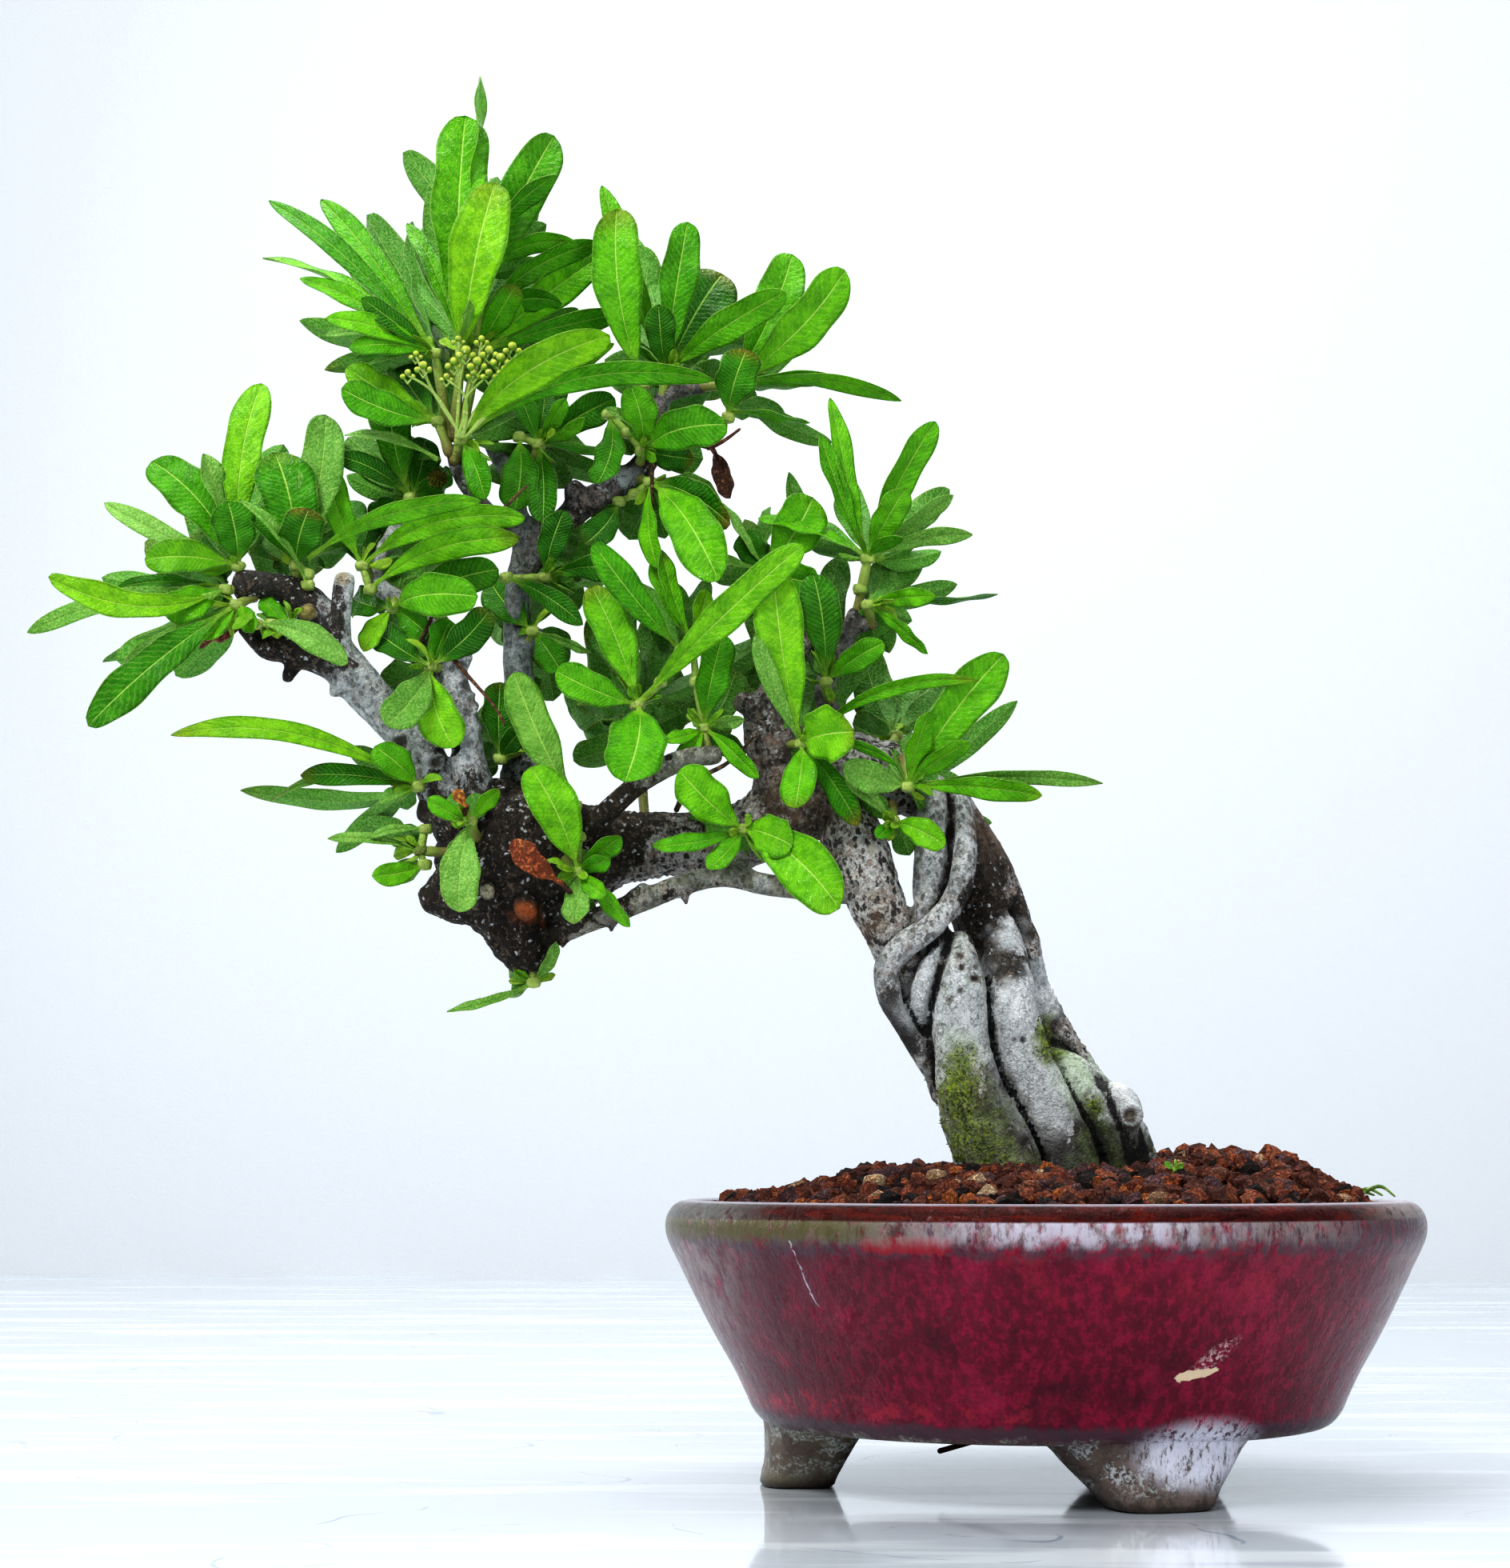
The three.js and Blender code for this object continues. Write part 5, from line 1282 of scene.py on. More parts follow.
BRANCHES: Tuple[Limb, ...] = (
    Limb(Skin.PALE, (
        (-47, 150, -4, 3.4), (-62, 151, -9, 2.9), (-70, 152, -10, 2.8), (-80, 154, -10, 2.7),
        (-90, 152, -10, 2.8), (-100, 148, -10, 2.8), (-110, 144, -9, 2.8), (-122, 139.5, -6, 2.9),
        (-130, 137, -4, 2.8),
    )),
    Limb(Skin.PALE, ((-76, 166, -2, 2.6), (-76, 161, -6, 2.5), (-75, 155, -9, 2.4))),
    Limb(Skin.PALE, (
        (-116, 164, -8, 3), (-107, 173, -13, 2.8), (-100, 179, -14, 2.8), (-90, 184, -13, 2.7),
        (-82, 185, -9, 2.6),
    )),
    Limb(Skin.GNARLED, (
        (-66, 170, 0, 8), (-66, 180, -1, 6.5), (-69, 192, -1, 6), (-65, 205, 0, 4), (-58, 216, 2, 2.4),
        (-52, 226, 3, 1.8),
    )),
    Limb(Skin.DUSKY, (
        (-47, 184, 2, 4), (-53, 196, 1, 3), (-54, 203, 0, 2.6), (-50, 212, -1, 2.5), (-46, 222, -2, 2.2),
    )),
    Limb(Skin.DUSKY, ((-47, 218, -2, 2), (-41, 219, -4, 1.6))),
    Limb(Skin.LICHEN, (
        (-146, 166, 0, 8), (-153, 178, -2, 6), (-157, 186, -4, 5), (-164, 193, -5, 5),
        (-172, 202, -6, 5.5), (-180, 211, -7, 6), (-184, 220, -7, 6), (-190, 227, -8, 4),
        (-198, 229, -9, 3.6), (-204, 229, -10, 4.2),
    ), 0.4),
    Limb(Skin.BLACK, (
        (-180, 209, -7, 5), (-190, 213, -9, 4), (-197, 213, -10, 3.2), (-203, 218, -10, 2.2),
    ), 0.4),
    Limb(Skin.WHITE, ((-178, 212, -9, 3), (-178.5, 220, -12, 2.8), (-177.5, 231, -13, 2.6)), 0.4),
    Limb(Skin.LICHEN, (
        (-142, 168, -3, 7), (-145, 182, -7, 4.8), (-147, 195, -8, 4.4), (-150, 205, -8, 4.2),
        (-153, 213, -5, 3.6), (-160, 222, -2, 3), (-170, 231, 0, 2.4), (-165, 243, 2, 2),
        (-162, 250, 2, 1.8),
    ), 0.4),
    Limb(Skin.GREY, (
        (-130, 170, 6, 9), (-131, 190, 8, 5), (-133, 212, 8, 3.6), (-133, 228, 7, 3.5),
        (-131, 238, 6, 3.8), (-133, 248, 5, 2.6), (-135, 257, 5, 2.4), (-139, 264, 6, 2.3),
        (-142, 270, 6, 1.8),
    )),
    Limb(Skin.DUSKY, (
        (-131, 234, 6, 3.6), (-124, 243, 5, 3.4), (-116, 250, 4, 3.6), (-106, 256, 3, 3.6),
        (-100, 262, 3, 3.2), (-98, 270, 4, 2.6), (-95, 279, 4, 2.3), (-85, 281, 4, 1.6),
    )),
    Limb(Skin.DUSKY, (
        (-131, 241, 5, 2.6), (-139, 247, 2, 2.2), (-144, 252, -2, 2.3), (-148, 259, -5, 2.5),
        (-150, 265, -7, 2),
    )),
    Limb(Skin.DUSKY, ((-126, 241, 5, 2.4), (-127, 252, 5, 2), (-129, 262, 4, 1.8))),
    # stubs, knobs and thorns
    Limb(Skin.DUSKY, ((-131, 149, -9, 3.4), (-130, 145, -16, 2.7))),
    Limb(Skin.DUSKY, ((-141, 152, -12, 2.6), (-140, 150, -19, 2.1))),
    Limb(Skin.DUSKY, ((-160, 243, 1, 1.8), (-160, 246, -4, 2.3))),
    Limb(Skin.DUSKY, ((-186, 222, -8, 2.4), (-187, 222, -15, 1.9))),
    Limb(Skin.LICHEN, ((-176, 205, -7, 3), (-180, 201, -9, 1.6))),
    Limb(Skin.BLACK, ((-190, 209, -8, 2.4), (-192, 204.5, -9, 1.5))),
    Limb(Skin.LICHEN, ((-150, 205, -8, 3), (-146, 211, -12, 2))),
    Limb(Skin.GNARLED, ((-66, 186, -4, 5), (-60, 190, -8, 3))),
    Limb(Skin.GNARLED, ((-70, 197, -2, 4), (-76, 199, -4, 2.6))),
    Limb(Skin.PALE, ((-118, 143, -9, 3), (-121, 146, -12, 2.2))),
    Limb(Skin.PALE, ((-102, 148, -9, 3), (-100, 151, -12, 1.8))),
    Limb(Skin.PALE, ((-48, 152, -4, 4), (-42, 150, -6, 2))),
    Limb(Skin.GREY, ((-131, 214, 8, 3.4), (-127, 216, 5, 2.2))),
    Limb(Skin.DUSKY, ((-117, 250, 4, 4), (-119, 255, 1, 2.4))),
    Limb(Skin.DUSKY, ((-108, 256, 3, 4), (-110, 261, 0, 2.2))),
    Limb(Skin.DUSKY, ((-90, 150, -11, 1.6), (-89.5, 147, -12, 0.6))),
    Limb(Skin.DUSKY, ((-108, 143, -10, 1.7), (-108.5, 140, -11, 0.6))),
    Limb(Skin.DUSKY, ((-120, 139, -7, 1.6), (-121, 135.5, -8, 0.6))),
)

# marks on the front of the bark: kind, then (x, z, radius in millimetres, strength) of each
MARKS: Dict[Mark, Tuple[Row, ...]] = {
    Mark.BROWN: ((-112, 166, 8, 0.6), (-142, 168, 6, 0.5), (-60, 172, 14, 0.6), (-9, 160, 7, 0.6),
                 (-16, 97.5, 6, 0.5), (-40, 146, 5, 0.4), (-13, 168, 5, 0.6), (-44, 140, 4, 0.5)),
    Mark.BLACK: ((-138, 158, 24, 1.0), (-120, 158, 16, 0.9), (-131, 138, 12, 0.9), (-198, 224, 17, 1.0),
                 (-184, 214, 7, 0.8), (-100, 170, 9, 0.8), (-84, 170, 8, 0.6), (-15, 147, 5.5, 0.95),
                 (-12.5, 139, 5, 0.95), (-5, 147, 3, 0.85), (-3, 140.5, 3, 0.85), (-8.5, 131, 5.5, 1.0),
                 (-2.5, 131, 3, 0.8), (-11, 156, 4, 0.6), (-6, 88.5, 5, 0.85), (-10.4, 105, 3, 0.9),
                 (-9.3, 100.5, 4, 0.9), (-7.5, 96.5, 3, 0.8), (-4.6, 97.6, 2.6, 0.8), (4, 119.5, 3, 0.9),
                 (10.8, 90.7, 4, 0.8), (-116, 250, 6, 0.5), (-104, 262, 5, 0.8), (-33, 114, 3, 0.6)),
    Mark.DUSK: ((5, 83, 7, 0.8), (0.5, 86, 4, 0.7), (-37.5, 123, 3.6, 0.8), (-35.5, 118, 4, 0.85),
                (-33, 112, 4, 0.8), (-14, 92, 5, 0.5)),
    Mark.WHITE: ((-7.5, 138.5, 3.4, 0.8), (1, 132, 2.6, 0.8), (1.5, 125, 6, 0.8), (-5.5, 122, 5.5, 0.8),
                 (-18.7, 118, 8, 0.9), (-19, 127, 5, 0.6), (0, 98, 9, 0.9), (-5, 110, 7, 0.8),
                 (21.5, 96, 5.5, 0.95), (22.8, 89.5, 3.6, 0.9), (16.5, 100, 4, 0.85),
                 (-106, 257, 3, 0.7), (-70, 152, 2.4, 0.5), (-30, 122, 6, 0.7)),
    Mark.JADE: ((9.5, 103, 6, 0.8), (7, 108, 4, 0.7), (-21, 112, 4, 0.5)),
    Mark.SHADE_MOSS: ((15, 87, 6, 0.9), (20, 83, 6, 0.95), (24.5, 81, 4, 0.9), (17, 77, 9, 0.9),
                      (-12, 82, 6, 0.7), (-21, 84, 5, 0.5), (-12, 93, 6, 0.75)),
    Mark.MOSS: ((-20.6, 101, 5, 0.9), (-19.8, 107, 3.5, 0.7), (-20.5, 95, 5.5, 0.75), (-18, 88, 6, 0.7),
                (1.5, 114, 2.6, 1.0), (2.8, 110.5, 3.6, 1.0), (13.2, 96, 3.2, 0.8), (28, 78.5, 4, 0.7),
                (25.5, 74, 4, 0.8), (-13, 84, 6, 0.6), (-5, 79, 5, 0.4)),
    Mark.PIT: ((-19.9, 133.8, 1.1, 1.0), (-19.6, 131, 1, 1.0), (-16.3, 128, 1.2, 1.0),
               (-22.9, 122.5, 1, 0.9), (-19.9, 125, 1.1, 0.9), (-16, 131, 0.9, 0.8), (4.2, 116, 2, 0.8),
               (-6.5, 112.4, 1, 0.8), (-4.4, 112.4, 1, 0.8)),
    Mark.SCAR: ((-162.5, 188, 2, 1.0), (-153.5, 183, 1.6, 1.0), (-141, 195, 2.6, 1.0), (-145, 203, 2.2, 0.8),
                (22.6, 93.4, 2.1, 1.0), (-133, 219, 1.2, 0.5), (-62, 186, 3.2, 0.8), (-70, 196, 2.4, 0.7),
                (-47, 151, 2, 0.6)),
    # painted shade: a near-black hollow on the branch at the left
    Mark.HOLLOW: ((-149.5, 187, 2.6, 1.0),),
    Mark.CUT: ((-130, 145, 2.6, 1.0), (-160, 245.5, 2.4, 1.0)),
    Mark.PALE_CUT: ((-140, 150, 2, 1.0), (-178, 231, 2.2, 1.0), (22.6, 93.4, 0.9, 0.6)),
    Mark.YELLOW_CUT: ((-187, 222, 2.4, 1.0),),
}


def read_out(items: Any, key: str, width: int, kind: type) -> np.ndarray:
    """Read one property of all the vertices, loops or edges of a mesh.

    Args:
        items: the vertices, loops or edges.
        key: name of the property.
        width: number of values of each item.
        kind: type of the values.

    Returns:
        The values, (items, width).
    """
    values = np.zeros(len(items) * width, kind)
    items.foreach_get(key, values)
    return values.reshape(-1, width)


def gathered(index: np.ndarray, vectors: np.ndarray, count: int) -> np.ndarray:
    """Sum of the vectors that go to each of count points, (count, 3)."""
    return np.stack([np.bincount(index, vectors[:, axis], count) for axis in range(3)], axis=1)


@dataclass
class Wood:
    """The grown wood: limbs fused into bodies, with fibres, seams, pits, scars, cuts and moss."""

    drawing: Drawing
    voxel: float = 0.75
    sides: int = 28
    smoothings: int = 2
    blend: float = 0.8
    seam_width: float = 3.2
    seam_depth: float = 1.5
    # marks up to this radius are crisp, and marks over the other go round the limb
    crisp: float = 2.4
    wrapping: float = 9.0
    tufts: int = 650
    puff_tufts: int = 420

    def rods(self, limbs: Sequence[Limb]) -> Tuple[List[Patch], np.ndarray, np.ndarray]:
        """Rods of some limbs, and samples of their middle lines.

        Args:
            limbs: the limbs.

        Returns:
            The closed rods; samples (x, y, z, radius), in metres; and for each sample the number of
            its limb, its length from the limb's start and its tangent.
        """
        patches, samples, facts = [], [], []
        for number, limb in enumerate(limbs):
            rows = np.array(limb.stations, float)
            placed = np.column_stack([self.drawing.place(rows[:, :3]), rows[:, 3] * MM])
            line = curve(placed, (len(rows) - 1) * 8 + 1)
            line[:, 3] = np.maximum(line[:, 3], 0.6 * MM)
            patches.append(tube(line[:, :3], line[:, 3], self.sides, 0.6))
            steps = np.linalg.norm(np.diff(line[:, :3], axis=0), axis=1)
            run = np.concatenate([[0.0], np.cumsum(steps)])
            along = unit(np.gradient(line[:, :3], axis=0))
            samples.append(line)
            facts.append(np.column_stack([np.full(len(line), number), run, along]))
        return patches, np.concatenate(samples), np.concatenate(facts)

    def fused(self, patch: Patch) -> Patch:
        """Melt overlapping rods into one closed skin by voxels, then smooth it.

        Formula: each smoothing moves a point 0.6 of the way to the mean of its neighbours.

        Args:
            patch: overlapping closed shapes.

        Returns:
            One closed skin.
        """
        rough = add_object("rods", to_mesh("rods", patch))
        remesh = rough.modifiers.new("melt", "REMESH")
        remesh.mode = "VOXEL"
        remesh.voxel_size = self.voxel * MM
        graph = bpy.context.evaluated_depsgraph_get()
        solid = bpy.data.meshes.new_from_object(rough.evaluated_get(graph))
        points = read_out(solid.vertices, "co", 3, np.float32).astype(float)
        quads = read_out(solid.loops, "vertex_index", 1, np.int32)
        edges = read_out(solid.edges, "vertices", 2, np.int32)
        mesh = rough.data
        bpy.data.objects.remove(rough)
        bpy.data.meshes.remove(mesh)
        bpy.data.meshes.remove(solid)
        count = np.bincount(edges.ravel(), minlength=len(points))[:, None]
        first, second = edges.T
        for _ in range(self.smoothings):
            total = gathered(first, points[second], len(points))
            total += gathered(second, points[first], len(points))
            points = points * 0.4 + total / count * 0.6
        return Patch(points, [quads.reshape(-1, 4)])

    def normals(self, patch: Patch) -> np.ndarray:
        """Directions out of a skin of quads: the sum of the diagonals' cross products.

        Args:
            patch: the skin.

        Returns:
            A unit vector for each point.
        """
        corners = patch.faces[0].T
        a, b, c, d = (patch.points[corner] for corner in corners)
        cross = np.cross(c - a, d - b)
        return unit(sum(gathered(corner, cross, len(patch.points)) for corner in corners))

    def beside(
        self, points: np.ndarray, samples: np.ndarray, owners: np.ndarray, seams: np.ndarray
    ) -> Tuple[np.ndarray, np.ndarray, np.ndarray]:
        """What lies beside each point of the skin.

        Formula: a gap is the distance to a sample less its radius, and a limb's gap is its least
        one. A limb's share falls by e for each 0.8 mm of its gap beyond the least. The seam is a
        smooth step of the two least gaps' difference, times the lesser seam of the two limbs.

        Args:
            points: points of the skin.
            samples: samples (x, y, z, radius).
            owners: number of each sample's limb.
            seams: depth of each limb's seams, zero to one.

        Returns:
            The number of the nearest sample, each limb's share in the point, and the seam.
        """
        starts = np.flatnonzero(np.diff(owners, prepend=-1))
        found, shares, seam = [], [], []
        lengths = (samples[:, :3] ** 2).sum(1)
        for part in np.array_split(points, len(points) // 4000 + 1):
            square = (part**2).sum(1)[:, None] + lengths - 2.0 * part @ samples[:, :3].T
            gap = np.sqrt(np.maximum(square, 0.0)) - samples[:, 3]
            least = np.minimum.reduceat(gap, starts, axis=1)
            order = np.argsort(least, axis=1)[:, :2]
            pair = np.take_along_axis(least, order, axis=1)
            share = np.exp((pair[:, :1] - least) / (self.blend * MM))
            found.append(gap.argmin(1))
            shares.append(share / share.sum(1, keepdims=True))
            close = ease(pair[:, 1] - pair[:, 0], self.seam_width * MM, 0.0)
            seam.append(close * seams[order].min(1))
        return np.concatenate(found), np.concatenate(shares), np.concatenate(seam)

    def dressed(self, limbs: Sequence[Limb]) -> Patch:
        """Fused limbs with relief and colour.

        Formula: each point moves out by a field stretched six times along its limb (the fibres),
        fields of lumps and the marks' hollows, all scaled by the limb's thickness, and in by up to
        1.5 mm where two limbs meet.

        Args:
            limbs: the limbs.

        Returns:
            The finished wood with the values tint (its alpha is the share of flecks), stain (its
            alpha is the cover), skin (chalk, cracks and moss) and seam.
        """
        rods, samples, facts = self.rods(limbs)
        patch = self.fused(merged(rods))
        seams = np.array([limb.seam for limb in limbs])
        near, shares, seam = self.beside(patch.points, samples, facts[:, 0], seams)
        number, run, tangent = facts[near, 0].astype(int), facts[near, 1], facts[near, 2:]
        low = np.array([linear(limb.skin.value[0]) for limb in limbs])
        high = np.array([linear(limb.skin.value[1]) for limb in limbs])
        chalk, cracks, flecks = (shares @ np.array([limb.skin.value[2:] for limb in limbs])).T
        thick = np.clip(samples[near, 3] / (8.0 * MM), 0.2, 1.3)
        away = patch.points - samples[near, :3]
        fibre = away + tangent * (run / 6.0)[:, None] + number[:, None] * 0.01
        fibres = lumps(fibre, 2.6, 21, 2)
        knots = lumps(patch.points, 8.0, 31, 3)
        fine = lumps(patch.points, 2.2, 41, 2)
        relief = 0.35 * knots + (0.15 + 0.8 * cracks) * np.minimum(fibres, 0.3) + 0.18 * fine
        relief = thick * relief - self.seam_depth * seam**2
        share = np.clip(0.55 + 0.3 * fibres + 0.35 * lumps(patch.points, 5.0, 51, 2), 0.0, 1.0)
        tint = (shares @ low) * (1.0 - share[:, None]) + (shares @ high) * share[:, None]
        moss, stain = np.zeros(len(patch.points)), np.zeros((len(patch.points), 4))
        outward = self.normals(patch)
        facing = ease((outward * unit(self.drawing.eye_point - patch.points)).sum(1), -0.5, 0.2)
        flat = self.drawing.draw(patch.points)
        ragged = 1.0 + 0.4 * lumps(patch.points, 4.0, 61, 3)
        marks = [(kind, *row) for kind, rows in MARKS.items() for row in rows]
        for kind, x, z, radius, strength in marks:
            dark, light, depth, mossy = kind.value
            gap = np.hypot(flat[:, 0] - x, flat[:, 1] - z) / radius
            crisp = radius <= self.crisp
            gap = gap * (1.0 if crisp else ragged)
            strength = strength * (1.0 if radius > self.wrapping else facing)
            mask = ease(gap, *((1.3, 0.6) if crisp else (1.65, 0.3))) * strength
            target = tint if crisp else stain
            target *= 1.0 - mask[:, None]
            target += mixed_colour(dark, light, share) * mask[:, None]
            stain *= 1.0 - mask[:, None] if crisp else 1.0
            chalk = chalk * (1.0 - mask * (0.9 if kind is not Mark.WHITE else -0.2))
            cracks = cracks * (1.0 - mask) + mask * (0.8 if kind is Mark.BLACK else 0.1)
            flecks = flecks * (1.0 - mask * (0.6 if kind is Mark.WHITE else 0.2))
            moss = np.maximum(moss * (1.0 - mask * (1.0 - mossy)), mask * mossy)
            lip = 0.8 * np.exp(-(((gap - 1.2) / 0.25) ** 2)) if depth < -0.7 else 0.0
            relief = relief + (depth * ease(gap, 1.0, 0.4) + lip) * strength
        # painted shade: the seams between fused limbs are darkened and lose their chalk
        tint = tint * (1.0 - 0.6 * ease(seam, 0.3, 1.0))[:, None]
        chalk = np.clip(chalk, 0.0, 1.0) * (1.0 - ease(seam, 0.4, 0.9))
        tint[:, 3] = np.clip(flecks, 0.0, 1.0)
        cover = stain[:, 3:].copy()
        stain[:, :3] /= np.maximum(cover, 0.01)
        stain[:, 3:] = cover
        patch.points = patch.points + outward * (relief * MM)[:, None]
        skin = np.column_stack([chalk, cracks, moss * (1.0 - seam)])
        depth = np.repeat(seam[:, None], 4, axis=1)
        patch.values = {"tint": tint, "stain": stain, "skin": skin, "seam": depth}
        return patch

    def moss_tufts(self, wood: Patch) -> Patch:
        """Tufts of moss: small bent three-sided spikes on the mossy stretches, and one yellow puff.

        Args:
            wood: the finished wood.

        Returns:
            All the spikes, with the value tint.
        """
        rng = np.random.default_rng(7)
        outward = self.normals(wood)
        likely = wood.values["skin"][:, 2] * (lumps(wood.points, 2.6, 71, 2) > -0.1)
        at = rng.choice(len(wood.points), self.tufts, p=likely / likely.sum())
        foot, up = wood.points[at] - outward[at] * 0.2 * MM, outward[at]
        puff = self.drawing.place([(-154, 257, -3)])
        ball = unit(rng.normal(size=(self.puff_tufts, 3)))
        foot = np.concatenate([foot, puff + ball * 1.1 * MM])
        up = np.concatenate([up, ball])
        count = len(foot)
        lean = unit(up + 0.75 * rng.normal(size=(count, 3)))
        length = (0.3 + 0.6 * rng.random(count)) * MM
        length[-self.puff_tufts :] *= 2.0
        across = unit(np.cross(lean, np.array([0.3, 0.2, 0.9])))
        over = np.cross(lean, across)
        turn = even_angles(3)
        ring = across[:, None] * np.cos(turn)[:, None] + over[:, None] * np.sin(turn)[:, None]
        rows = [foot[:, None] + ring * 0.17 * MM,
                (foot + lean * (length * 0.55)[:, None])[:, None] + ring * 0.2 * MM,
                (foot + lean * length[:, None] + up * (length * 0.25)[:, None])[:, None] + ring * 0.03 * MM]
        points = np.stack(rows, axis=1).reshape(-1, 3)
        corners = 9
        starts = (np.arange(count) * corners)[:, None, None]
        sides = (grid_faces(3, 3, True)[None, :, ::-1] + starts).reshape(-1, 4)
        tips = np.array([[[6, 7, 8]]]) + starts
        feet = np.array([[[2, 1, 0]]]) + starts
        share = np.repeat(rng.random(count), corners)
        tint = mixed_colour("#5c7420", "#b9c244", share)
        last = self.puff_tufts * corners
        tint[-last:] = mixed_colour("#9aa02e", "#d9d255", share[-last:])
        patch = Patch(points, [sides, tips.reshape(-1, 3), feet.reshape(-1, 3)], {"tint": tint})
        return patch.outward()

    def build(self) -> None:
        """Make the wood and its moss."""
        bark = BarkFinish().build()
        stems = self.dressed(STEMS)
        add_piece("fused_stems", stems, bark, ["trunk"])
        add_piece("upper_branches", self.dressed(BRANCHES), bark, ["trunk"])
        tufts = GritFinish("cushion_moss", 0.5, "#c7cf6a", 0.85).build()
        add_piece("moss_tufts", self.moss_tufts(stems), tufts)


# ---------------------------------------------------------------- the foliage


class Tone(Enum):
    """Leaf colours by their letter in a shoot's row: two ends of the range."""

    G = ("#4ca004", "#78c612")
    # D is a deeper green: partly the leaves' own colour, partly painted shade for leaves inside and behind
    # the crown
    D = ("#247002", "#4a9c08")
    L = ("#62b40a", "#88cc1e")
    P = ("#6ea83a", "#98c864")
    Y = ("#6ab008", "#88c614")


@dataclass(frozen=True)
class Shoot:
    """A shoot: its stem runs from root to node (and on, along stem), and carries leaves.

    A leaf is (tip x, tip z, tip depth, width, turn, sweep, bulge) and, if it doesn't start at the
    node, (base x, base z, base depth). turn is the angle about its length, in degrees, where 0
    faces the front; sweep and bulge are how far it bows to its left and forward, in hundredths of
    its length. tones has a letter for each leaf.
    """

    root: Row
    node: Row
    tones: str
    leaves: Tuple[Row, ...]
    stem: Tuple[Row, ...] = ()


